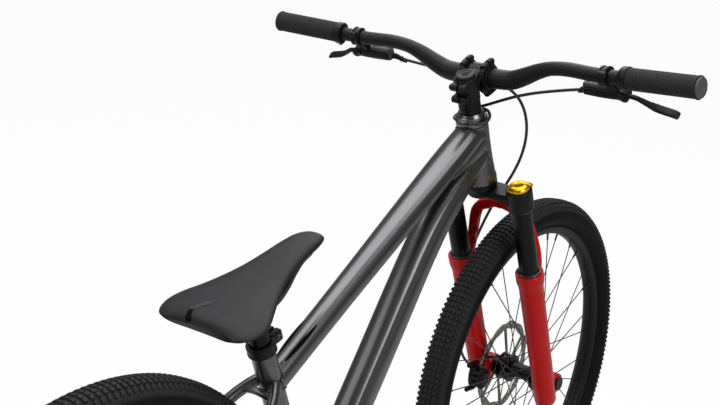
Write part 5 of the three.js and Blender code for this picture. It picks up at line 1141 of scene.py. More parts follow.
# where the lines of a tube's skin, seen from its own rings, meet another body: the path of a weld
def seamPath(rows, body, fromShare, sides=72):
    tree = BVHTree.FromPolygons(body.points, [list(face) for face in body.faces])
    smooth = spline([list(row) for row in rows], 10)
    count = len(smooth) - 1
    near, far = (smooth[round(share * count)] for share in fromShare)
    along = (Vector(far[:3]) - Vector(near[:3])).normalized()
    upward = along.cross(lateral).normalized()
    across = upward.cross(along).normalized()
    path = []
    for spot in ovalRing(Vector(near[:3]), across, upward, far[3], far[4], sides, far[5]):
        hit = tree.ray_cast(spot, along, 400)
        if hit[0] is not None:
            path.append(hit[0] - along * 0.4)
    return path


weld = {"spacing": 3.2, "long": 1.9, "wide": 2.7, "high": 1.5}


def weldUnit():
    form = Form()
    form.loft([
        ovalRing(Vector((x, 0, 0)), lateral, upright, weld["wide"] * size, weld["high"] * size, 10)
        for x, size in (
            (-weld["long"], 0.3), (-weld["long"] * 0.6, 0.85), (0, 1), (weld["long"] * 0.7, 0.75), (weld["long"], 0.3)
        )
    ])
    return form.mesh("weldUnit", "smokePaint", smooth=60)


def makeWelds():
    holder = stood("weldUnit", weldUnit())
    head = Form(steer).lathe(headProfile(), "Z", 96)
    outer, low = tubes["seatRadius"], -tubes["seatLength"]
    post = Form(seat).lathe([(0, 0), (outer, 0), (outer, low), (0, low)], "Z", 96, loop=False)
    outer, half = tubes["shellRadius"], tubes["shellWidth"] / 2
    shell = Form(atBracket).lathe([(0, -half), (outer, -half), (outer, half), (0, half)], "Y", 96, loop=False)
    top, down = topRows(), downRows()
    seams = [
        seamPath(top, head, (0.7, 0.97)), seamPath(down, head, (0.86, 0.97)),
        seamPath(list(reversed(top)), post, (0.7, 0.98)), seamPath(list(reversed(down)), shell, (0.7, 0.98)),
    ]
    meshes = []
    for path in seams:
        if len(path) < 20:
            continue
        line = bpy.data.meshes.new("weldLine")
        line.from_pydata([point * metre for point in path], [(i, (i + 1) % len(path)) for i in range(len(path))], [])
        meshes.append(grown(
            line, alongThePath, {"Unit": holder, "Spacing": weld["spacing"] * metre, "Material": finishes["smokePaint"]}
        ))
    bpy.data.objects.remove(holder)
    link("frameWelds", gathered(meshes), "frame")


ports = {"spots": [(254.6, -23.8, 781.7), (243.2, -24.0, 773.4)], "normal": (-0.13, -0.97, 0.21), "radius": 5.6}


def makePorts():
    form = Form()
    out = Vector(ports["normal"]).normalized()
    for spot in ports["spots"]:
        centre = Vector(spot)
        form.rod(centre - out * 3, centre + out * 0.9, ports["radius"], 32, ports["radius"] - 0.8)
        bolt(form, centre - out * 1, centre + out * 1.2, ports["radius"] - 1, 0.7, 24)
    form.piece("cablePorts", "frame", "blackPlastic", smooth=35)


# the pressed crease in the top tube, behind which the metal turns down to the seat tube: its dark line is painted
# shade, a near-black cord laid along the crease
def makeCreaseShade():
    rows = [
        (-181.7, -8.8, 593.3), (-166, -9.5, 601.9), (-150, -10.2, 610.6), (-134, -10.9, 619.4), (-118.9, -11.6, 627.8)
    ]
    for side in (1, -1):
        form = Form()
        form.cord(
            [(x, y * side, z - 0.5) for x, y, z in rows],
            lambda share: 0.6 + 2.5 * math.sin(math.pi * (0.12 + share * 0.8)), 16, 6
        )
        form.piece("topTubeCrease" + ("Right" if side > 0 else "Left"), "frame", "deepShade", smooth=60)


makeFrame()
makeWelds()
makePorts()
makeCreaseShade()
print("frame made")

# headset, stem and handlebar

barShares = [
    (0, 0, 0, 1), (0.209, 0, 0, 1), (0.288, 0.04, 0, 0.9), (0.395, 0.21, -0.04, 0.65), (0.502, 0.41, -0.1, 0.3),
    (0.604, 0.56, -0.1, 0.02), (0.74, 0.65, -0.02, 0), (1, 0.68, 0.19, 0)
]
bar = {
    "width": 770, "straight": 169.4, "rise": 57.5, "sweep": 23.5, "clampRadius": 15.9, "gripRadius": 11.1, "grip": 128,
    "gripOuter": 16.6, "collar": 12, "collarRadius": 18
}
stemCentre = headTop + bike["stemHeight"]


def barPlace(row):
    bent = bar["width"] / 2 - bar["straight"]
    return Vector((bike["stemReach"] - row[2] * bar["sweep"], row[0] * bent, stemCentre + row[1] * bar["rise"]))


def gripPlace(distance):
    inner = barPlace(barShares[-1])
    outer = Vector((bike["stemReach"] - bar["sweep"], bar["width"] / 2, stemCentre + bar["rise"]))
    return inner.lerp(outer, (distance - inner.y) / (outer.y - inner.y))


# a frame with its Y along the straight end of the bar, from the point nearest the middle
def barEnd(side):
    start = gripPlace(0)
    along = (gripPlace(1) - start)
    stretch = along.length
    spin = lateral.rotation_difference(along.normalized()).to_matrix().to_4x4()
    place = Matrix.Translation(start) @ spin @ Matrix.Diagonal((1, stretch, 1, 1))
    return steer @ Matrix.Diagonal((1, side, 1, 1)) @ place


def makeBar():
    half = [
        (*barPlace(row), bar["gripRadius"] + row[3] * (bar["clampRadius"] - bar["gripRadius"]))
        for row in barShares
    ]
    end = gripPlace(bar["width"] / 2 - 4.4)
    half.append((*end, bar["gripRadius"]))
    rows = [(row[0], -row[1], row[2], row[3]) for row in reversed(half[1:])] + half
    smooth = spline(rows, 10)
    rings = []
    for i, row in enumerate(smooth):
        along = heading(smooth, i)
        front = along.cross(upright).normalized()
        rings.append(ovalRing(Vector(row[:3]), front, front.cross(along), row[3], row[3], 40))
    return Form(steer).loft(rings).piece("handlebarPiece", "steering", "matBlack", ["handlebar"], smooth=50)


def makeGrip(side, label):
    low = bar["width"] / 2 - bar["grip"] + bar["collar"] + 0.3
    high = bar["width"] / 2 - 4
    outer = bar["gripOuter"]
    profile = [
        (11.3, low), (outer - 0.4, low), (outer, low + 0.6), (outer, high - 3), (outer + 0.9, high - 1),
        (outer + 0.9, high), (11.3, high)
    ]
    form = Form(barEnd(side)).lathe(profile, "Y", 48)
    mesh = form.mesh("gripSleeve" + label, "gripRubber", smooth=40)
    layer = mesh.uv_layers.new(name="around")
    back = (Matrix.Diagonal((metre,) * 3 + (1,)) @ barEnd(side) @ Matrix.Diagonal((1 / metre,) * 3 + (1,))).inverted()
    for polygon in mesh.polygons:
        spots = [back @ mesh.vertices[mesh.loops[i].vertex_index].co for i in polygon.loop_indices]
        angles = [math.atan2(spot.z, spot.x) / turn for spot in spots]
        if max(angles) - min(angles) > 0.5:
            angles = [angle + 1 if angle < 0 else angle for angle in angles]
        for i, angle, spot in zip(polygon.loop_indices, angles, spots):
            layer.data[i].uv = (angle, spot.y / (bar["grip"] * metre))
    link("gripSleeve" + label, mesh, "steering", ["grip_" + label.lower()])
    plug = Form(barEnd(side)).lathe(
        [
            (0, high + 0.2), (outer - 1.6, high + 0.2), (outer - 1.0, high + 0.8), (outer - 1.2, high + 3),
            (outer - 3, high + 3.9), (5, high + 3.4), (4, high + 2.4), (0, high + 2.4)
        ],
        "Y", 48, loop=False
    )
    plug.piece("gripPlug" + label, "steering", "greyPlastic", smooth=30)


stem = {
    "low": headTop + 33.3, "clamp": 41, "radius": 19, "bore": 14.6, "barRadius": 21, "barBore": 16.2, "halfWidth": 25,
    "boltSide": 19, "boltRise": 23, "ear": 6.3
}


def makeStem():
    low, high, radius, bore = stem["low"], stem["low"] + stem["clamp"], stem["radius"], stem["bore"]
    centre = (bike["stemReach"], 0, stemCentre)
    form = Form(steer)
    form.lathe(
        [
            (bore, low), (radius - 0.7, low), (radius, low + 0.7), (radius, high - 3.4), (radius - 0.6, high - 2.8),
            (radius - 0.6, high - 0.6), (radius - 1.2, high), (bore, high)
        ],
        "Z", 72
    )
    form.tube(
        [
            (13, 0, low + 18, 11, 14, 2.6), (17, 0, low + 20, 15, 16.4, 2.8), (23, 0, stemCentre, 20, 18.4, 3.2),
            (30, 0, stemCentre, 24, 17.5, 3.6)
        ],
        48, 4
    )
    outer, inner, half = stem["barRadius"], stem["barBore"], stem["halfWidth"]
    grooved = [
        (inner, -half), (outer - 1.4, -half), (outer - 0.8, -half + 0.7), (outer - 0.8, -half + 3),
        (outer - 1.5, -half + 3.4), (outer - 1.5, -half + 3.9), (outer, -half + 4.6)
    ]
    profile = grooved + mirrored(grooved)
    arcBand(form, centre, profile, 93, 267, 40)
    for side in (-1, 1):
        across = side * stem["boltSide"]
        for level in (-1, 1):
            rise = stemCentre + level * stem["boltRise"]
            form.rod(
                (centre[0] - 14, across, rise - level * 0.6), (centre[0] - 1.4, across, rise), stem["ear"] * 0.92, 28,
                stem["ear"], 0.8
            )
            form.tube(
                [
                    (centre[0] - 21, across * 0.86, stemCentre + level * 9, 4, 5, 2.4),
                    (centre[0] - 16, across * 0.95, stemCentre + level * 16, 4.6, 5, 2.2),
                    (centre[0] - 8, across, rise - level * 1.5, 5, 4.8, 2)
                ],
                24, 5
            )
        for share, end in ((0.24, -1), (0.76, 1)):
            z = low + share * stem["clamp"]
            form.rod((-22.2, side * 1.6, z), (-22.2, side * 14.2, z), 6.4, 32, 6.1, 0.8)
            form.tube([(-22, side * 7.6, z, 5.4, 6, 3.4), (-15, side * 9, z, 5.6, 7, 3.4)], 24, 1)
            if side == end:
                bolt(form, (-22.2, side * 13.6, z), (-22.2, side * 16.2, z), 4.5)
    form.piece("stemPiece", "steering", "matBlack", ["stem"], smooth=40)
    plateForm = Form(steer)
    window = 10.5
    for low, high, start, stop in (
        (-half, -window, -88, 88), (window, half, -88, 88), (-window, window, 22, 88), (-window, window, -88, -22)
    ):
        band = [(inner, low), (outer - 1, low), (outer, low + 1), (outer, high - 1), (outer - 1, high), (inner, high)]
        arcBand(plateForm, centre, band, start, stop, 32)
    for side in (-1, 1):
        for level in (-1, 1):
            across, rise = side * stem["boltSide"], stemCentre + level * stem["boltRise"]
            plateForm.rod(
                (centre[0] + 1.4, across, rise), (centre[0] + 12.6, across, rise), stem["ear"], 28, stem["ear"] * 0.96,
                0.8
            )
            plateForm.tube(
                [
                    (centre[0] + 18, across * 0.9, stemCentre + level * 9, 4, 3.4, 2.4),
                    (centre[0] + 14, across * 0.97, stemCentre + level * 15, 4.6, 4.4, 2.2),
                    (centre[0] + 8, across, rise - level * 1.5, 5, 4.6, 2)
                ],
                24, 5
            )
            bolt(plateForm, (centre[0] + 12, across, rise), (centre[0] + 16, across, rise), 4.5)
    plateForm.piece("faceplatePiece", "steering", "matBlack", ["stem_faceplate"], smooth=40)


# name, body, finish, solid, height of the foot, sides, smooth angle, and radius and rise from the foot
headsetRings = [
    (
        "topCoverPiece", "steering", "smokePolish", ["headset_top_cover"], headTop + 0.3, 80, 30,
        [
            (14.6, 0), (24.4, 0), (25, 0.6), (25, 3), (24.5, 3.5), (23.4, 3.7), (23.1, 4.2), (23, 6.2), (22.3, 7.2),
            (20.9, 8.8), (20.3, 10.6), (19.5, 11.4), (14.6, 11.4)
        ]
    ),
    (
        "spacerPiece", "steering", "glossBlack", ["stem_spacer"], headTop + 12.3, 72, 30,
        [
            (14.6, 0), (17.5, 0), (18, 0.5), (18, 9.8), (17.4, 10.1), (17.4, 10.6), (18, 10.9), (18, 20.2),
            (17.5, 20.7), (14.6, 20.7)
        ]
    ),
    (
        "stemCapPiece", "steering", "matBlack", ["stem_cap"], stem["low"] + stem["clamp"] + 0.3, 64, 30,
        [
            (0, 0), (16, 0), (16.5, 0.5), (16.5, 2.5), (15.4, 4), (14.5, 4.4), (11.4, 4.4), (11, 3.6), (6.4, 3.4),
            (5.6, 1.6), (0, 1.6)
        ]
    ),
    (
        "lowerCupPiece", "frame", "glossBlack", ["headset_lower_cup"], 0, 72, 30,
        [(14.8, 0.4), (25.4, 0.4), (26.6, 2), (27.4, 6.5), (27.4, 12), (26.6, 12.6), (22, 12.7), (22, 20), (14.8, 20)]
    ),
    # a thin near-black ring under the polished band: painted shade of the groove between the band and the painted head
    # tube
    (
        "headRing", "frame", "sealRubber", (), headTop, 80, 50,
        [(25.6, -10.4), (26.25, -10.2), (26.4, -9.6), (26.4, -9), (26.25, -8.4), (25.6, -8.2)]
    ),
    (
        "headBand", "frame", "smokePolish", (), headTop, 96, 40,
        [(25.4, -8.2), (26.1, -8.1), (26.35, -7.4), (26.35, -1.2), (25.8, -0.2), (25, -0.15)]
    ),
]


def makeHeadset():
    for name, body, finish, solids, foot, sides, smooth, profile in headsetRings:
        form = Form(steer).lathe([(radius, foot + rise) for radius, rise in profile], "Z", sides)
        if name == "stemCapPiece":
            bolt(form, (0, 0, foot + 1.2), (0, 0, foot + 3.6), 4.4)
        form.piece(name, body, finish, solids, smooth=smooth)


def makeGripCollar(side, label):
    form = Form(barEnd(side))
    low = bar["width"] / 2 - bar["grip"]
    outer = bar["collarRadius"]
    form.lathe(
        [
            (11.4, low), (outer - 2, low), (outer - 0.6, low + 0.6), (outer, low + 2),
            (outer, low + bar["collar"] - 1.4), (outer - 0.8, low + bar["collar"] - 0.5),
            (outer - 0.8, low + bar["collar"]), (11.4, low + bar["collar"])
        ],
        "Y", 64
    )
    form.rod((-5.6, low + 6, -outer + 2), (5.6, low + 6, -outer + 2), 5.3, 32, 5.3, 1)
    form.piece("gripCollar" + label, "steering", "forgedBlack", ["grip_collar_" + label.lower()], smooth=35)
    screw = Form(barEnd(side))
    bolt(screw, (-5.2, low + 6, -outer + 1.6), (-6, low + 6, -outer + 1.6), 2.6, 0.55)
    screw.piece("gripScrew" + label, "steering", "darkSteel", smooth=35)


makeBar()
for side, label in ((1, "Left"), (-1, "Right")):
    makeGrip(side, label)
    makeGripCollar(side, label)
makeStem()
makeHeadset()
print("bar made")

# brake levers

lever = {
    "side": 229, "forward": 17, "drop": 38, "pivotOut": 21, "inner": 48, "clampRadius": 15.6, "clampHalf": 6.5,
    "blade": 78, "bladeDrop": 32, "bladeWidth": 14, "thick": 8
}
bladeShares = [
    (0, 0, 0.55), (0.1, 0.03, 0.5), (0.22, 0.1, 0.5), (0.42, 0.42, 0.7), (0.55, 0.6, 0.95), (0.72, 0.75, 1),
    (0.86, 0.84, 1), (0.95, 0.93, 0.95), (0.99, 1.02, 0.8)
]


def leverPlace(side):
    middle = gripPlace(lever["side"])
    pivot = Vector((middle.x + lever["forward"], lever["side"] + lever["pivotOut"], middle.z - lever["drop"]))
    away = Vector((lever["forward"], 0, -lever["drop"])).normalized()
    pin = lateral.cross(away).normalized()
    turned = Matrix((lateral, away, pin)).transposed().to_4x4()
    return steer @ Matrix.Diagonal((1, side, 1, 1)) @ Matrix.Translation(pivot) @ turned


def makeBrakeBody(side, label):
    middle = gripPlace(lever["side"])
    x, z = middle.x + lever["forward"], middle.z - lever["drop"]
    inner = lever["side"] - lever["inner"]
    mirror = steer @ Matrix.Diagonal((1, side, 1, 1))
    form = Form(barEnd(side))
    low, high, outer = lever["side"] - lever["clampHalf"], lever["side"] + lever["clampHalf"], lever["clampRadius"]
    form.lathe(
        [
            (11.4, low), (outer - 0.6, low), (outer, low + 0.6), (outer, low + 2.8), (outer - 1.4, low + 3.6),
            (outer - 1.4, high - 3.6), (outer, high - 2.8), (outer, high - 0.6), (outer - 0.6, high), (11.4, high)
        ],
        "Y", 56
    )
    form.place = mirror
    for lugX, lugZ in ((-12.4, 9.4), (12.8, -8.2)):
        spot = (middle.x + lugX, low + 0.2, middle.z + lugZ)
        form.rod(spot, (spot[0], high - 0.2, spot[2]), 4.6, 24, 4.6, 0.7)
        bolt(form, (spot[0], high - 1, spot[2]), (spot[0], high + 0.6, spot[2]), 3)
    form.tube(
        [
            (middle.x + 6, lever["side"], middle.z - 9, 5.5, 6, 3),
            (middle.x + 10, lever["side"], middle.z - 17, 7, 6, 3), (x - 1, lever["side"] + 2, z + 8, 11, 6.4, 3),
            (x, lever["side"] + 3, z - 2, 12, 6, 3)
        ],
        32, 6
    )
    form.loft([
        ovalRing(Vector((x + move, out, z + lift)), forward, upright, wide, tall, 40, power)
        for out, move, lift, wide, tall, power in (
            (inner + 2, 0, 0, 6.4, 6.4, 2.4), (inner + 3.4, 0, 0, 8.4, 8.2, 2.6), (inner + 30, 0, 0, 9.2, 8.8, 2.6),
            (lever["side"] + 2, 0, 0, 9, 8.4, 2.6), (lever["side"] + 14, 0, 0, 7.6, 8, 3),
            (lever["side"] + 19, 0, 0, 6.4, 7.4, 3)
        )
    ])
    start = Vector((x + 6, inner + 2, z - 3))
    end = Vector((x + 13, inner - 8, z - 10))
    tip = end + Vector((0.353, -0.76, -0.543)) * 14
    form.cord([start, start.lerp(end, 0.5) + Vector((0.6, 0, 0.6)), end, tip], lambda share: 5.6 - share * 2.2, 24, 6)
    form.rod(end.lerp(tip, 0.2), end.lerp(tip, 0.36), 5.2, 20, 4.9, 0.4)
    form.rod(end.lerp(tip, 0.5), end.lerp(tip, 0.66), 4.7, 20, 4.4, 0.4)
    form.place = leverPlace(side)
    for end in (-1, 1):
        form.rod((0, 0, end * 3.9), (0, 0, end * 9.3), 7.4, 32, 6.8, 0.7)
        form.tube(
            [(-12, -4, end * 6.6, 2.6, 5, 3), (-6, -1, end * 6.6, 2.6, 6, 3), (0, 0, end * 6.6, 2.6, 6, 3)], 20, 3,
            side=upright
        )
    bolt(form, (0, 0, 8.6), (0, 0, 10), 3.4)
    form.rod((0, 0, -9.4), (0, 0, 9), 2.1, 16)
    form.piece("brakeBody" + label, "steering", "forgedBlack", ["brake_body_" + label.lower()], smooth=40)
    tank = Form(mirror)
    tank.loft([
        ovalRing(Vector((x + 3.8, along, z + 1.6)), forward, upright, wide, tall, 48, 5)
        for along, wide, tall in (
            (inner - 0.2, 6.6, 8.8), (inner + 1, 8.4, 10.6), (inner + 20, 8.9, 11.1), (inner + 38, 8.6, 10.8),
            (inner + 41, 6.8, 9)
        )
    ])
    for along in (inner + 6, inner + 35):
        bolt(tank, (x + 3.8, along, z + 11), (x + 3.8, along, z + 13.2), 2.2)
    tank.piece("brakeTank" + label, "steering", "greyPlastic", smooth=35)


def makeBlade(side, label):
    form = Form(leverPlace(side))
    rings = []
    rows = spline(
        [(along * lever["blade"], away * lever["bladeDrop"], 0, wide) for along, away, wide in bladeShares], 5
    )
    for i, row in enumerate(rows):
        along = heading(rows, i)
        across = upright.cross(along).normalized()
        thin = lever["thick"] / 2 * (1.15 - row[3] / 2)
        edge = 0.55 if i in (0, len(rows) - 1) else 1
        rings.append(ovalRing(
            Vector(row[:3]), across, upright, thin * edge, row[3] * lever["bladeWidth"] / 2 * edge, 32, 3
        ))
    form.loft(rings)
    form.rod((0, 0, -3.4), (0, 0, 3.4), 6.9, 32, 6.9, 0.6)
    form.piece("brakeBlade" + label, "lever_" + label.lower(), "matBlack", ["brake_lever_" + label.lower()], smooth=50)


for side, label in ((1, "Left"), (-1, "Right")):
    makeBrakeBody(side, label)
    makeBlade(side, label)
print("levers made")

# fork

fork = {
    "legSide": 68.5, "legForward": 6.3, "seal": 160, "wiper": 6, "collarHeight": 26, "collarRadius": 24.5,
    "topRadius": 21.5, "endRadius": 20, "bottomDrop": 20, "archForward": 47, "archTop": 66, "archHeight": 19,
    "archDepth": 15, "legBore": 17.6, "heelRadius": 14.4, "bossRadius": 18, "bossBore": 10.4, "bossWidth": 22,
    "bossSide": 66
}
archShares = [
    (1, 1, 0.6, 0.8), (0.96, 0.8, 0.82, 0.8), (0.88, 0.55, 0.92, 0.85), (0.66, 0.16, 0.98, 0.95), (0.2, 0, 1, 0.95)
]
# depth and height shares round the arch's section: a channel that is open at the back
archSection = [
    (0.72, -1), (1, -0.8), (1, 0.8), (0.72, 1), (-0.8, 1), (-1, 0.86), (-1, 0.72), (-0.16, 0.6), (-0.16, -0.6),
    (-1, -0.72), (-1, -0.86), (-0.8, -1)
]


def legPlace(side):
    return steer @ Matrix.Translation((fork["legForward"], side * fork["legSide"], 0))


def archRows():
    low = -fork["seal"] - fork["wiper"] - fork["collarHeight"] * 0.65
    half = []
    for out, down, reach, size in archShares:
        half.append((
            reach * fork["archForward"], out * fork["legSide"], -fork["archTop"] + down * (low + fork["archTop"]), size
        ))
    return [(row[0], -row[1], row[2], row[3]) for row in half] + list(reversed(half))


def makeLowers():
    form = Form(steer)
    top = -fork["seal"] - fork["wiper"]
    bottom = -bike["forkLength"] - fork["bottomDrop"]
    collarLow = top - fork["collarHeight"]
    for side in (-1, 1):
        form.place = legPlace(side)
        form.lathe([
            (fork["legBore"], top), (fork["collarRadius"] - 1.5, top), (fork["collarRadius"], top - 1.5),
            (fork["collarRadius"], collarLow + 8), (fork["collarRadius"] - 1, collarLow + 4),
            (fork["topRadius"] + 0.4, collarLow - 4),
            (fork["topRadius"], collarLow - 12), (fork["endRadius"] + 0.3, -bike["forkLength"] + 60),
            (fork["endRadius"], -bike["forkLength"] + 20), (fork["endRadius"], bottom + 8),
            (fork["endRadius"] - 2, bottom + 3), (fork["endRadius"] * 0.7, bottom), (fork["legBore"], bottom + 40),
        ], "Z", 64)
    form.place = steer
    rings = []
    rows = spline(archRows(), 6)
    for i, row in enumerate(rows):
        along = heading(rows, i)
        outward = along.cross(forward).normalized()
        depth = outward.cross(along).normalized()
        middle = Vector(row[:3])
        rings.append([
            middle + depth * (x * row[3] * fork["archDepth"] / 2) + outward * (z * row[3] * fork["archHeight"] / 2)
            for x, z in archSection
        ])
    form.loft(rings)
    # crossed ribs stand in the channel at the arch's back
    last = len(rings) - 1
    for start in range(2, last - 4, 5):
        for first, second in ((0.62, -0.62), (-0.62, 0.62)):
            ends = []
            for i, high in ((start, first), (start + 5, second)):
                ring = rings[min(i, last)]
                middle = sum(ring, Vector()) / len(ring)
                out = (ring[0] - ring[3]).normalized()
                back = (ring[5] - ring[1]).normalized()
                ends.append((middle + out * high * fork["archHeight"] / 2, out, back))
            lean = (ends[1][0] - ends[0][0]).normalized()
            rib = []
            for spot, out, back in ends:
                wide = back.cross(lean).normalized()
                rib.append([
                    spot + back * deep + wide * across
                    for deep, across in ((-1, -1), (6.2, -0.8), (6.2, 0.8), (-1, 1))
                ])
            form.loft(rib)
    body = form.mesh("forkLowersPiece", "redPaint", smooth=40)
    bosses = []
    for side in (-1, 1):
        start, end = (0, -bike["forkLength"] + 2), (bike["forkOffset"] - fork["legForward"], -bike["forkLength"])
        outline = []
        for (x, z), radius, first in (
            (start, fork["heelRadius"], math.pi / 2), (end, fork["bossRadius"], -math.pi / 2)
        ):
            for i in range(33):
                angle = first + i / 32 * math.pi
                outline.append((x + radius * math.cos(angle), z + radius * math.sin(angle)))
        outlines = [outline, circle(*end, fork["bossBore"], 40)]
        bosses.append(plate(
            outlines, fork["bossWidth"], legPlace(side), side * (fork["bossSide"] - fork["legSide"]), 1.5
        ))
    for mesh in bosses:
        mesh.materials.append(finishes["redPaint"])
    return link("forkLowersPiece", gathered([body, *bosses]), "fork_lowers", ["fork_lowers"])


stanchion = {"top": 4.7, "radius": 17, "low": -300, "edge": 0.6}


def makeStanchions():
    top, radius, low, edge = (stanchion[key] for key in ("top", "radius", "low", "edge"))
    profile = [
        (0, top), (radius - edge, top), (radius, top - edge), (radius, low + edge), (radius - edge, low), (0, low)
    ]
    for side, label in ((1, "Left"), (-1, "Right")):
        form = Form(legPlace(side)).lathe(profile, "Z", 64, loop=False)
        form.piece("stanchion" + label, "steering", "glossBlack", ["stanchion_" + label.lower()], smooth=30)


def makeCrown():
    form = Form(steer)
    for side in (-1, 1):
        form.place = legPlace(side)
        form.lathe([(17.5, 5), (20.6, 5), (22, 3.6), (22, -31), (20.5, -34), (17.5, -34)], "Z", 64)
    form.place = steer
    form.lathe([(14.9, 0), (23, 0), (24, -1), (24, -11), (22, -12), (0, -12)], "Z", 64, loop=False)
    leg = fork["legSide"]
    rows = [(0, 0, -6, 24, 6)]
    for out, z, wide, tall in ((30, -7.4, 20.6, 6.8), (54, -12.4, 19.4, 10.2), (leg, -14.5, 18.7, 12)):
        rows = [(0, -out, z, wide, tall), *rows, (0, out, z, wide, tall)]
    cut = 4.6
    rings = []
    for row in spline(rows, 5):
        centre, wide, tall = Vector((fork["legForward"] * abs(row[1]) / leg, row[1], row[2])), row[3], row[4]
        rings.append([
            centre + Vector((x, 0, z))
            for x, z in (
                (wide, cut - tall), (wide, tall - cut), (wide - cut, tall), (cut - wide, tall), (-wide, tall - cut),
                (-wide, cut - tall), (cut * 1.6 - wide, -tall), (wide - cut * 1.6, -tall)
            )
        ])
    form.loft(rings)
    return form.piece("crownPiece", "steering", "forgedBlack", ["fork_crown"], smooth=24)


# an upright wheel with ribs round its edge
def ribbed(form, radius, low, high, ribs, depth):
    rings = []
    for size, z in ((radius - depth, low), (radius, low + depth), (radius, high - depth), (radius - depth, high)):
        ring = []
        for i in range(ribs * 4):
            angle = i / ribs / 4 * turn
            reach = size - (depth if i % 4 > 1 else 0)
            ring.append(Vector((reach * math.cos(angle), reach * math.sin(angle), z)))
        rings.append(ring)
    return form.loft(rings)


def makeForkFittings():
    top = -fork["seal"]
    for side, label in ((1, "left"), (-1, "right")):
        form = Form(legPlace(side))
        form.lathe(
            [
                (17.15, top - 5.7), (18.6, top - 5.7), (18.6, top - 2.4), (18.2, top - 0.8), (17.7, top),
                (17.15, top - 0.4)
            ],
            "Z", 72
        )
        form.slot = 1
        form.lathe(
            [
                (18.4, top - 5.7), (20.2, top - 5.7), (20.5, top - 5.4), (20.5, top - 3.6), (20.1, top - 3.1),
                (18.4, top - 2.7)
            ],
            "Z", 72
        )
        form.piece(
            "wiper" + label.capitalize(), "fork_lowers", ["sealRubber", "darkSteel"], ["fork_wiper_" + label], smooth=30
        )
    cap = Form(legPlace(1))
    cap.lathe(
        [
            (0, 5.3), (15, 5.3), (15, 6.1), (14.4, 6.6), (13, 6.7), (13, 10.5), (12.2, 11.3), (8.6, 11.3), (8, 10.6),
            (0, 10.2)
        ],
        "Z", 64, loop=False
    )
    cap.piece("airCapPiece", "steering", "glossBlack", ["air_cap"], smooth=30)
    dial = Form(legPlace(-1))
    ribbed(dial, 18.6, 5.3, 8.9, 30, 0.5)
    dial.lathe(
        [
            (0, 5.5), (17.2, 5.5), (17.2, 9.1), (16.2, 10), (15.2, 11.9), (12.4, 13.3), (9.4, 13.7), (8.8, 12.9),
            (0, 12.7)
        ],
        "Z", 80, loop=False
    )
    dial.cord(
        [
            (-11.2, 13.9, 8.6), (-9, 11.2, 11.6), (-4.4, 5.5, 14.2), (0, 0, 14.6), (4.4, -5.5, 14.2),
            (9.4, -11.6, 11.6), (12.4, -15.4, 8.4), (12.8, -16, 6.6)
        ],
        lambda share: 2.7 + share, 20, 6
    )
    dial.piece("compressionDialPiece", "compression_dial", "goldMetal", ["compression_dial"], smooth=34)
    knob = Form(legPlace(-1))
    low = -bike["forkLength"] - fork["bottomDrop"]
    ribbed(knob, 8, low - 9.3, low - 1.6, 20, 0.5)
    knob.lathe([(0, low - 1.8), (6.4, low - 1.8), (6.4, low - 0.3), (0, low - 0.3)], "Z", 32, loop=False)
    knob.piece("reboundKnobPiece", "rebound_knob", "redPaint", ["rebound_knob"], smooth=34)


makeLowers()
makeStanchions()
makeCrown()
makeForkFittings()
print("fork made")

# saddle

saddle = {"length": 247, "width": 168, "behind": 97, "bay": 8, "top": 41, "crown": 11, "skirt": 17}
saddleShares = [
    (0, 0.72, -0.04, 0.55, 0.6), (0.02, 0.86, -0.04, 0.8, 0.8), (0.06, 0.95, -0.05, 0.95, 0.95), (0.13, 1, -0.06, 1, 1),
    (0.21, 0.94, -0.04, 1, 1), (0.31, 0.78, -0.02, 1, 1), (0.41, 0.63, 0.02, 1, 1), (0.54, 0.48, 0.08, 1, 1.05),
    (0.68, 0.38, 0.15, 1, 1.1), (0.82, 0.32, 0.19, 0.9, 1.1), (0.92, 0.27, 0.16, 0.75, 1),
    (0.98, 0.18, 0.06, 0.6, 0.75), (1, 0.1, -0.02, 0.4, 0.5),
]


def makeSaddle():
    form = Form(saddlePlace)
    rings = []
    sides = 96
    rows = spline([(row[0] * saddle["length"], row[1] * saddle["width"] / 2, 0, *row[1:]) for row in saddleShares], 5)
    for row in rows:
        wide, edge, crown, skirt = row[3:]
        edgeZ = saddle["top"] - saddle["crown"] + edge * saddle["crown"] * 3
        bay = saddle["bay"] * (1 - row[0] / saddle["length"]) ** 8
        ring = []
        for i in range(sides):
            angle = i / sides * turn
            c, s = math.cos(angle), math.sin(angle)
            under = s < 0
            tuck = 1 + s * 0.38 if under else 1
            y = math.copysign(abs(c) ** 0.75, c) * wide * saddle["width"] / 2 * tuck
            z = s * skirt * saddle["skirt"] if under else abs(s) ** 0.9 * crown * saddle["crown"]
            ring.append(Vector((row[0] - saddle["behind"] + bay * s * s, y, edgeZ + z)))
        rings.append(ring)
    form.loft(rings)
    # the lower part of each ring is the skirt, and the underside is the moulded base
    for face in range(len(form.slots) - 2):
        place = face % sides
        if sides // 2 + 1 < place < sides - 2:
            form.slots[face] = 1
        if sides * 0.6 < place < sides * 0.9:
            form.slots[face] = 2
    form.slots[-2] = 1
    piece = form.piece("saddleCushion", "saddle", ["saddleCover", "saddleSkirt", "blackPlastic"], ["saddle"], smooth=60)
    return piece


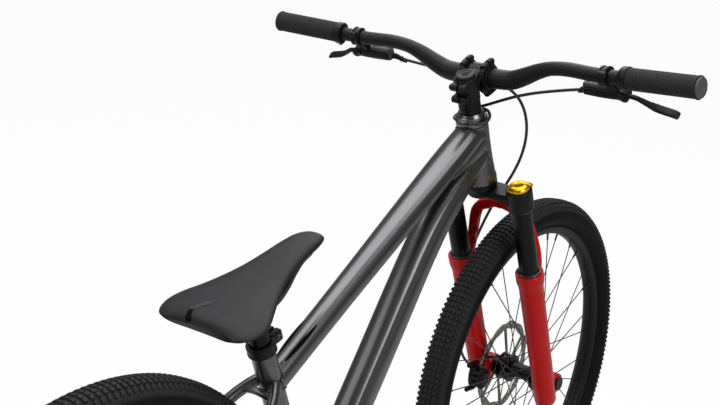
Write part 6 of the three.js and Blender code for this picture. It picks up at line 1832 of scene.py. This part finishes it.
def makeSaddleTab():
    across = Vector((0.62, 0.75, 0.2)).normalized()
    rows = [
        (-304.5, 11, 709.3, 1.2), (-308.5, 15.2, 708.3, 4.2), (-315, 21.5, 706.4, 5.2), (-323, 27, 704, 5.2),
        (-328, 30, 702.4, 3.4)
    ]
    # a near-black rim under the tab's edge: painted shade round the tab
    rim = Form()
    rim.tube([(x, y, z - 0.3, wide + 1.6, 1.2) for x, y, z, wide in rows], 32, 8, side=across)
    rim.tube(
        [(-326, 27, 702.8, 4.6, 1), (-334, 24.5, 699.9, 5, 1), (-339.6, 21, 695.8, 5, 1), (-342.4, 18, 691.5, 4.6, 1)],
        32, 8, side=Vector((0.1, 0.98, 0)).normalized()
    )
    rim.piece("saddleTabEdge", "saddle", "deepShade", smooth=60)
    tab = Form()
    tab.tube([(x, y, z + 0.7, wide, 0.8) for x, y, z, wide in rows], 32, 8, side=across)
    tab.piece("saddleTab", "saddle", "saddleSkirt", smooth=60)


makeSaddle()
makeSaddleTab()
print("saddle made")

# seat collar, post and rails

collar = {"radius": 20.8, "low": -5, "high": 12, "earSide": 11, "slit": 1.6, "boltX": 26.9, "boltUp": 3.5}


def makeCollar():
    low, high, outer = collar["low"], collar["high"], collar["radius"]
    form = Form(seat)
    form.lathe(
        [
            (17.9, low), (outer - 0.6, low), (outer, low + 0.6), (outer, low + 2.6), (outer - 0.7, low + 3.2),
            (outer - 0.7, high - 6.4), (outer, high - 5.8), (outer, high - 3.4), (outer - 1, high - 2.6),
            (outer - 1.2, high), (16.2, high), (16.2, 0.5), (17.9, 0.4)
        ],
        "Z", 80
    )
    for side in (-1, 1):
        middle = side * (collar["slit"] + collar["earSide"]) / 2
        thick = (collar["earSide"] - collar["slit"]) / 2
        form.tube(
            [
                (16, middle, 5.5, thick, 8.4, 5), (22, middle, 5.5, thick, 9.3, 5), (28, middle, 5.2, thick, 9.2, 7),
                (32.2, middle, 5.1, thick, 8.6, 7), (33.1, middle, 5.1, thick * 0.9, 7.6, 6)
            ],
            40, 4
        )
    form.piece("seatCollarPiece", "frame", "forgedBlack", ["seat_collar"], smooth=32)
    screw = Form(seat)
    x, z = collar["boltX"], collar["boltUp"]
    screw.rod((x, -10, z), (x, 10, z), 2.5, 16)
    bolt(screw, (x, -8.6, z), (x, -11.8, z), 4.6)
    screw.rod((x, 9, z), (x, 11.9, z), 4.6, 6)
    screw.piece("seatCollarBolt", "frame", "darkSteel", ["seat_collar_bolt"], smooth=32)


railPoints = [
    (-69.8, 24.2, 20.5), (-54.5, 23.1, 8.2), (-38.4, 22, 0), (0, 22, 0), (30, 21.6, 0.4), (54, 18.5, 6), (78, 13.5, 14),
    (100, 9, 18.6), (123.5, 6.6, 20.5)
]


def makeSeatpost():
    form = Form(seat)
    form.lathe(
        [(0, -231), (14.8, -231), (15.45, -230), (15.45, 38), (15.2, 44), (14, 52), (13.2, 58), (12, 61.5), (0, 61.5)],
        "Z", 72, loop=False
    )
    form.place = saddlePlace
    form.loft([
        ovalRing(Vector((0, y, -6.6 + lift)), forward, upright, long, tall, 48, 3)
        for y, lift, long, tall in (
            (-28, 1.4, 14, 3.6), (-26.6, 1, 17, 4.8), (-17, 0, 19.4, 6.2), (-9, -1.4, 19.6, 7.4), (9, -1.4, 19.6, 7.4),
            (17, 0, 19.4, 6.2), (26.6, 1, 17, 4.8), (28, 1.4, 14, 3.6)
        )
    ])
    form.piece("seatpostPiece", "saddle", "glossBlack", ["seatpost"], smooth=35)
    clamp = Form(saddlePlace)
    clamp.loft([
        ovalRing(Vector((0, y, 4.2)), forward, upright, long, tall, 48, 3.4)
        for y, long, tall in (
            (-28, 13, 2.2), (-26.8, 15.4, 3.6), (-17, 18.6, 4.4), (17, 18.6, 4.4), (26.8, 15.4, 3.6), (28, 13, 2.2)
        )
    ])
    bolt(clamp, (0, 0, 7.6), (0, 0, 10.6), 5)
    clamp.piece("saddleClampPiece", "saddle", "matBlack", ["saddle_clamp"], smooth=35)
    rails = Form(saddlePlace)
    rails.cord(railPoints + [(128.4, 0, 20.5)] + [(x, -y, z) for x, y, z in reversed(railPoints)], 3.5, 20, 8)
    rails.piece("saddleRailsPiece", "saddle", "darkSteel", ["saddle_rails"], smooth=60)


makeCollar()
makeSeatpost()
print("seatpost made")

# brake hoses, held at both ends, along the routes of the CAD

hose = {"radius": 2.5, "sleeve": 3.3, "easings": 3}
frontRoute = [
    (316.4, 172.2, 930.5), (321, 158, 927), (329, 134, 923), (341, 96, 919), (356, 50, 914), (370, 14, 910),
    (380, -10, 904), (392, -19, 888), (404, -25, 868), (413, -28, 846), (418, -28, 826), (421, -26, 800),
    (423, -19, 770), (423, -6, 742), (424, 12, 714), (428, 34, 684), (436, 52, 654), (444, 62, 624), (444, 80, 590),
    (436, 90, 550), (432, 94, 500), (438, 95, 450), (444, 96, 415), (441, 93, 385), (436, 84, 364), (434, 70, 358),
    (434, 57.9, 358)
]
rearRoute = [
    (316.4, -172.2, 930.5), (320, -161, 928), (317, -146, 925), (304, -124, 922), (296, -98, 916), (295, -65, 908),
    (294, -42, 896), (304, -11, 878), (305, 4, 875), (295, 23, 871), (274, 32, 865), (270, 34, 856), (261, 27, 858),
    (249, 6, 860), (250, -14, 858), (265, -29, 855), (278, -35, 855), (285, -38, 869), (290, -27, 883), (306, -4, 885),
    (307, 17, 869), (295, 35, 850), (278, 37, 806), (264, 36, 784), (244, 31, 764)
]
lowerRoute = [
    (-59.7, 22, 361.8), (-56, 28, 359), (-64, 35, 354), (-84, 35, 350), (-118, 33, 346), (-160, 36, 340),
    (-210, 44, 336), (-270, 52, 339), (-330, 58, 347), (-372, 59, 362), (-397, 54, 376), (-416, 48.5, 381),
    (-434.9, 48, 372.7)
]


def makeHose(name, route, body, node, sleeves):
    form = Form()
    places = [Vector(point) for point in route]
    for easing in range(hose["easings"]):
        places = [places[0]] + [(a + b * 2 + c) / 4 for a, b, c in zip(places, places[1:], places[2:])] + [places[-1]]
    form.cord(places, hose["radius"], 20, 6)
    for end in sleeves:
        start, inner = Vector(route[end]), Vector(route[1 if end == 0 else -2])
        along = (inner - start).normalized()
        form.rod(start + along * 1.2, start + along * 9, hose["sleeve"], 20, hose["radius"] + 0.2, 0.4)
    form.piece(name, body, "hoseRubber", [node], smooth=60)


# a hose that crosses a joint is given two bodies and two places; it is attached to neither and stays where it is built
makeHose(
    "frontHosePiece", frontRoute, ("steering", "fork_lowers", (0.421, -0.026, 0.8), (0.436, 0.09, 0.55)),
    "front_brake_hose", (0,)
)
makeHose(
    "rearHosePiece", rearRoute, ("steering", "frame", (0.317, -0.16, 0.928), (0.294, -0.042, 0.896)), "rear_brake_hose",
    ()
)
makeHose("lowerHosePiece", lowerRoute, "frame", "rear_brake_hose_lower", (-1,))
print("hoses made")

# brake calipers, in a frame whose X points from the axle to the rotor's edge

caliper = {"inner": 15, "slot": 2.8, "boltRadius": 4.5, "boltUp": 23.5}


def makeCaliper(end, place, angle, radius, side, reach, body):
    form = Form(place @ Matrix.Rotation(-math.radians(angle), 4, "Y"))
    slot = caliper["slot"]
    for level, outer in ((-1, caliper["inner"]), (1, reach)):
        middle, thick = side + level * (slot + outer) / 2, (outer - slot) / 2
        shares = (
            (-18.5, 3, 8, 0.72), (-16, 1.5, 11.4, 0.94), (-7, 0, 16.2, 1), (7, 0, 16.2, 1), (16, 1.5, 11.4, 0.94),
            (18.5, 3, 8, 0.72)
        )
        form.loft([
            ovalRing(Vector((radius + lift, middle, z)), forward, lateral, wide, thick * flat, 40, 3.2)
            for z, lift, wide, flat in shares
        ])
        form.rod(
            (radius - 3, side + level * (outer - 4), 0), (radius - 3, side + level * (outer - 0.2), 0), 10, 36, 9, 0.7
        )
        bolt(form, (radius - 3, side + level * (outer - 1.4), 0), (radius - 3, side + level * outer, 0), 6.6, 0.5)
    for z in (-11, 0, 11):
        form.loft([
            ovalRing(Vector((radius + 12.6, side + y, z)), forward, upright, 3.8, 3.6, 24, 3.4)
            for y in (-11, -5, 5, min(reach - 2, 11))
        ])
    across = side + reach - caliper["boltRadius"] - 0.4
    for z in (-caliper["boltUp"], caliper["boltUp"]):
        form.tube(
            [
                (radius - 8, across, z, 4.2, 4.6, 2.6), (radius + 2, across, z, 4.4, 5.2, 2.8),
                (radius + 12, across, z, 4.2, 4.6, 2.6)
            ],
            28, 4
        )
        form.tube([(radius + 1, across - 1, z * 0.5, 4, 7, 3), (radius + 2, across, z, 3.8, 6, 3)], 24, 2, side=forward)
        bolt(form, (radius + 11, across, z), (radius + 22.2, across, z), caliper["boltRadius"] * 0.98, 0.55)
    form.rod((radius + 6, side + reach - 8, 9), (radius + 6, side + reach - 1.2, 12), 4.4, 24, 4, 0.5)
    form.piece(end + "CaliperPiece", body, "forgedBlack", [end + "_caliper"], smooth=35)


makeCaliper("front", atFront, 176, 86, 41, 16.5, "fork_lowers")
makeCaliper("rear", atRear, 24, 78, 51, 9.5, "frame")
print("calipers made")

# drivetrain

drive = {
    "pitch": 12.7, "ring": 28, "sprocket": 12, "line": 49, "thick": 2.2, "tooth": 2.3, "roller": 3.7, "inner": 4.4,
    "plate": 1.5, "plateHeight": 4, "waist": 2.9, "crank": 165, "bossRadius": 19, "innerFace": 51, "outerFace": 71,
    "eyeRadius": 14, "eyeInner": 72, "eyeOuter": 84, "driverRadius": 13,
}
driveAngle = math.atan2(rearAxle.z - bracket.z, rearAxle.x - bracket.x)


def pitchRadius(teeth):
    return drive["pitch"] / (2 * math.sin(math.pi / teeth))


def wrapPins(centre, teeth, middle, count):
    radius = pitchRadius(teeth)
    angles = [middle + (i - (count - 1) / 2) * turn / teeth for i in range(count)]
    return [(centre.x + radius * math.cos(angle), centre.z + radius * math.sin(angle)) for angle in angles]


# the places of the chain's pins: round both wheels, and evenly along the runs between
def chainPins():
    front = wrapPins(bracket, drive["ring"], driveAngle + math.pi, drive["ring"] // 2 + 2)
    rear = wrapPins(rearAxle, drive["sprocket"], driveAngle, drive["sprocket"] // 2)

    def run(start, end):
        count = round(math.dist(start, end) / drive["pitch"])
        return [
            (start[0] + i / count * (end[0] - start[0]), start[1] + i / count * (end[1] - start[1]))
            for i in range(1, count)
        ]

    return front + run(front[-1], rear[0]) + rear + run(rear[-1], front[0])


# copies of the unit on the mesh's points, each turned about Y by the point's own spin
def linkTree():
    tree, start, end = newTree("onThePoints", [("Unit", "Object"), ("Material", "Material")])
    spin = step(tree, "GeometryNodeInputNamedAttribute", {"Name": "spin"}, data_type="FLOAT")
    turned = step(tree, "ShaderNodeCombineXYZ", {"Y": spin.outputs["Attribute"]})
    unit = step(tree, "GeometryNodeObjectInfo", {"Object": start.outputs["Unit"]})
    return copied(
        tree, end, start.outputs["Geometry"], unit.outputs["Geometry"], turned.outputs[0], start.outputs["Material"]
    )


def linkOutline():
    reach = drive["pitch"] / 2
    high, waist = drive["plateHeight"], drive["waist"]
    right = [
        (reach + high * math.cos(a), high * math.sin(a))
        for a in (math.radians(-110 + i * 27.5) for i in range(9))
    ]
    return right + [(0, waist)] + [(-x, -z) for x, z in right] + [(0, -waist)]


def makeChain():
    onThePoints = linkTree()
    pins = chainPins()
    meshes = []
    for start, lift, rollers in ((0, 0.95, False), (1, -0.35, True)):
        unit = Form()
        for side in (-1, 1):
            near = side * (drive["inner"] / 2 + lift * 0.5 + 0.2)
            outline = linkOutline()
            unit.loft([[Vector((x, y, z)) for x, z in outline] for y in (near, near + side * 0.95)])
        for x in (-drive["pitch"] / 2, drive["pitch"] / 2):
            half = drive["inner"] / 2 + (drive["plate"] if not rollers else -0.1)
            unit.rod((x, -half, 0), (x, half, 0), 1.9 if not rollers else drive["roller"], 10)
        holder = stood("linkUnit", unit.mesh("linkUnit", "darkSteel", smooth=40))
        points, spins = [], []
        for i in range(start, len(pins), 2):
            a, b = pins[i], pins[(i + 1) % len(pins)]
            points.append(((a[0] + b[0]) / 2 * metre, -drive["line"] * metre, (a[1] + b[1]) / 2 * metre))
            spins.append(-math.atan2(b[1] - a[1], b[0] - a[0]))
        spots = bpy.data.meshes.new("linkSpots")
        spots.from_pydata(points, [], [])
        spots.attributes.new("spin", "FLOAT", "POINT").data.foreach_set("value", spins)
        meshes.append(grown(spots, onThePoints, {"Unit": holder, "Material": finishes["darkSteel"]}))
        bpy.data.objects.remove(holder)
    chain = gathered(meshes)
    chain.name = "chainPiece"
    chain.set_sharp_from_angle(angle=math.radians(plainAngle))
    link("chainPiece", chain, "frame", ["chain"])


# a wheel's toothed edge: a round valley for each roller and a blunt tooth between
def teethOutline(teeth, start):
    pitch = pitchRadius(teeth)
    valley, tip = pitch - drive["roller"] - 0.3, pitch + drive["tooth"]
    points = []
    for i in range(teeth):
        for share, level in (
            (-0.2, 0.06), (-0.1, 0), (0.1, 0), (0.2, 0.06), (0.32, 0.55), (0.42, 0.95), (0.5, 1), (0.58, 0.95),
            (0.68, 0.55)
        ):
            angle = start + (i + share) * (turn / teeth)
            size = valley + (tip - valley) * level
            points.append((size * math.cos(angle), size * math.sin(angle)))
    return points


def makeChainring():
    outlines = [teethOutline(drive["ring"], driveAngle + math.pi + turn / drive["ring"] / 2)]
    for i in range(5):
        middle = (i + 0.5) / 5 * turn
        arc = [middle - 0.46 + j * 0.115 for j in range(9)]
        inside = [(27 * math.cos(a), 27 * math.sin(a)) for a in (middle + 0.34, middle, middle - 0.34)]
        outlines.append([(45 * math.cos(a), 45 * math.sin(a)) for a in arc] + inside)
        outlines.append(circle(38 * math.cos(i / 5 * turn), 38 * math.sin(i / 5 * turn), 3, 16))
    outlines.append(circle(0, 0, 15, 48))
    mesh = plate(outlines, drive["thick"], atBracket, -drive["line"], 0.4)
    mesh.materials.append(finishes["forgedBlack"])
    link("chainringPiece", mesh, "crank", ["chainring"])
    outline = [teethOutline(drive["sprocket"], driveAngle + turn / drive["sprocket"] / 2), circle(0, 0, 9, 32)]
    cog = plate(outline, drive["thick"], atRear, -drive["line"], 0.4)
    cog.materials.append(finishes["steel"])
    sleeve = Form(atRear).lathe(
        [
            (5.4, -56.7), (12.4, -56.7), (drive["driverRadius"], -56), (drive["driverRadius"], -51), (14.6, -50.4),
            (14.6, -47.6), (drive["driverRadius"], -47), (drive["driverRadius"], -38), (5.4, -38)
        ],
        "Y", 48
    ).mesh("driverSleeve", "steel", smooth=30)
    mesh = gathered([cog, sleeve])
    link("sprocketPiece", mesh, "sprocket", ["sprocket"])


def makeCrank(label, place):
    form = Form(place)
    rows = spline(
        [
            (12, -61, 0, 9, 16.6), (36, -62, 0, 7.8, 14.6), (66, -64.4, 0, 7, 13.4), (110, -69.6, 0, 6.4, 12.4),
            (160, -77.4, 0, 5.8, 12)
        ],
        5
    )
    form.loft([ovalRing(Vector(row[:3]), lateral, upright, row[3], row[4], 40, 4) for row in rows])
    inner, outer, eye = drive["innerFace"], drive["outerFace"], drive["eyeRadius"]
    radius = drive["bossRadius"]
    form.lathe(
        [
            (12.2, -outer), (16.6, -outer), (radius - 0.8, -outer + 1), (radius, -outer + 2.4), (radius, -inner - 1),
            (radius - 1, -inner), (12.2, -inner)
        ],
        "Y", 56
    )
    form.lathe(
        [
            (5, -drive["eyeOuter"]), (eye - 1.4, -drive["eyeOuter"]), (eye, -drive["eyeOuter"] + 1.4),
            (eye, -drive["eyeInner"] - 1), (eye - 1, -drive["eyeInner"]), (5, -drive["eyeInner"])
        ],
        "Y", 48, origin=(drive["crank"], 0, 0)
    )
    form.piece("crankArm" + label, "crank", "forgedBlack", ["crank_arm_" + label.lower()], smooth=30)
    steel = Form(place)
    steel.lathe(
        [(0, -183), (6, -183), (6, -88), (8.6, -87.6), (8.6, -84.4), (6, -84), (6, -72.2), (0, -72.2)], "Y", 32,
        origin=(drive["crank"], 0, 0), loop=False
    )
    bolt(steel, (0, -outer + 3, 0), (0, -outer - 0.2, 0), 11, 0.5, 36)
    steel.piece("crankFittings" + label, "crank", "darkSteel", smooth=30)


pedal = {"half": 51, "near": 90, "far": 188, "rail": 12, "barrel": 11, "corner": 18, "height": 15, "pin": 3.2}


# an open cage round a barrel, with short grip pins on both faces
def makePedal(label, place, body):
    half, near, far, rail, corner = (pedal[key] for key in ("half", "near", "far", "rail", "corner"))
    spot = place @ Matrix.Translation((drive["crank"], 0, 0)) @ Matrix.Rotation(math.pi / 2, 4, "X")
    slant = corner * 0.7
    outline = [
        (-half, near + corner), (-half + slant, near), (half - slant, near), (half, near + corner),
        (half, far - corner), (half - corner, far), (-half + corner, far), (-half, far - corner)
    ]
    gap = (far - near - 3 * rail) / 2
    outlines = [outline]
    for end in (-1, 1):
        for row in (0, 1):
            low = near + rail + row * (gap + rail)
            edges = sorted((end * (pedal["barrel"] - 1), end * (half - rail)))
            outlines.append([(edges[0], low), (edges[1], low), (edges[1], low + gap), (edges[0], low + gap)])
    cage = plate(outlines, pedal["height"], spot, 0, 1.4)
    cage.materials.append(finishes["blackPlastic"])
    form = Form(place)
    form.lathe(
        [(6.4, -far + 0.4), (10, -far + 0.4), (11, -far + 1.6), (11, -near - 1), (10, -near), (6.4, -near)], "Y", 40,
        origin=(drive["crank"], 0, 0)
    )
    pins = Form(place)
    spots = [(end * (half - 5), near + 20 + row * 29) for end in (-1, 1) for row in (0, 1, 2)]
    spots += [(x, y) for x in (-24, 24) for y in (near + 6, far - 6)]
    for x, y in spots:
        for up in (-1, 1):
            pins.rod(
                (drive["crank"] + x, -y, up * 6), (drive["crank"] + x, -y, up * (7.5 + pedal["pin"])), 1.9, 10, 1.5
            )
    mesh = gathered([
        cage, form.mesh("pedalBarrel", "blackPlastic", smooth=35), pins.mesh("pedalPins", "steel", smooth=35)
    ])
    link("pedal" + label + "Piece", mesh, body, ["pedal_" + label.lower()])


rightCrank = atBracket
leftCrank = atBracket @ Matrix.Rotation(math.pi, 4, "Y") @ Matrix.Diagonal((1, -1, 1, 1))
makeChain()
makeChainring()
for label, place in (("Right", rightCrank), ("Left", leftCrank)):
    makeCrank(label, place)
    makePedal(label, place, "pedal_" + label.lower())
print("drivetrain made")

# finishes of the nodes that stay as they are, softened at their edges

kept = {
    "matBlack": ["headset_upper_cup", "bracket_cup_left", "bracket_cup_right", "steerer_tube", "front_axle"],
    "steel": ["rear_axle", "chain_tensioner_left", "chain_tensioner_right", "crank_spindle"],
}
softEdge = {"join": 0.00001, "width": 0.0004, "angle": 40}


def dressKept():
    for material, names in kept.items():
        for node in (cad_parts[name] for name in names):
            if node.hide_render:
                continue
            node.data.materials.clear()
            node.data.materials.append(finishes[material])
            node.modifiers.new("weld", "WELD").merge_threshold = softEdge["join"]
            edges = node.modifiers.new("edges", "BEVEL")
            edges.width = softEdge["width"]
            edges.segments = 1
            edges.angle_limit = math.radians(softEdge["angle"])
            edges.harden_normals = False


dressKept()
print("kept nodes dressed")

# studio

studio = {"floorHalf": 14, "floor": (0.62, 0.62, 0.62), "ambient": 0.21, "shown": 0.97, "aim": (0, 0, 0.5)}
# place, size and power
lamps = {
    "keyLamp": ((0.1, 0.35, 3.0), 2.6, 80), "sideLamp": ((-0.8, -2.5, 2.2), 1.6, 42),
    "fillLamp": ((-2.6, 1.6, 2.2), 2.0, 26), "rimLamp": ((2.4, 1.2, 2.6), 1.8, 32),
}


def emptied(owner):
    owner.use_nodes = True
    owner.node_tree.nodes.clear()
    return owner.node_tree


# what the camera sees is white, and what the light meets is the plain shader
def whiteWhereSeen(tree, output, share, plain, white):
    mix = step(tree, "ShaderNodeMixShader", {0: share.outputs[0], 1: plain.outputs[0], 2: white.outputs[0]})
    step(tree, output, {0: mix.outputs[0]})


def makeFloor():
    mesh = bpy.data.meshes.new("floor")
    half = studio["floorHalf"]
    mesh.from_pydata([(-half, -half, 0), (half, -half, 0), (half, half, 0), (-half, half, 0)], [], [(0, 1, 2, 3)])
    floor = stood("floor", mesh)
    paint = bpy.data.materials.new("floorPaint")
    tree = emptied(paint)
    path = step(tree, "ShaderNodeLightPath", {})
    share = step(tree, "ShaderNodeMath", {0: path.outputs["Is Camera Ray"], 1: studio["shown"]}, operation="MULTIPLY")
    matt = step(tree, "ShaderNodeBsdfDiffuse", {0: (*studio["floor"], 1)})
    whiteWhereSeen(tree, "ShaderNodeOutputMaterial", share, matt, step(tree, "ShaderNodeEmission", {}))
    mesh.materials.append(paint)


def makeSky():
    sky = bpy.data.worlds.new("studioWorld")
    bpy.context.scene.world = sky
    tree = emptied(sky)
    path = step(tree, "ShaderNodeLightPath", {})
    seen = step(
        tree, "ShaderNodeMath", {0: path.outputs["Is Camera Ray"], 1: path.outputs["Is Transmission Ray"]},
        operation="MAXIMUM"
    )
    plain, white = (
        step(tree, "ShaderNodeBackground", {0: (1, 1, 1, 1), 1: power})
        for power in (studio["ambient"], 1.0)
    )
    whiteWhereSeen(tree, "ShaderNodeOutputWorld", seen, plain, white)


def makeLamps():
    for name, (place, size, power) in lamps.items():
        lamp = bpy.data.lights.new(name, "AREA")
        lamp.shape = "SQUARE"
        lamp.size = size
        lamp.energy = power
        holder = stood(name, lamp)
        holder.location = place
        holder.rotation_mode = "QUATERNION"
        holder.rotation_quaternion = (Vector(studio["aim"]) - Vector(place)).to_track_quat("-Z", "Y")


makeFloor()
makeSky()
makeLamps()
bpy.context.scene.view_settings.view_transform = "Standard"
print("studio made")
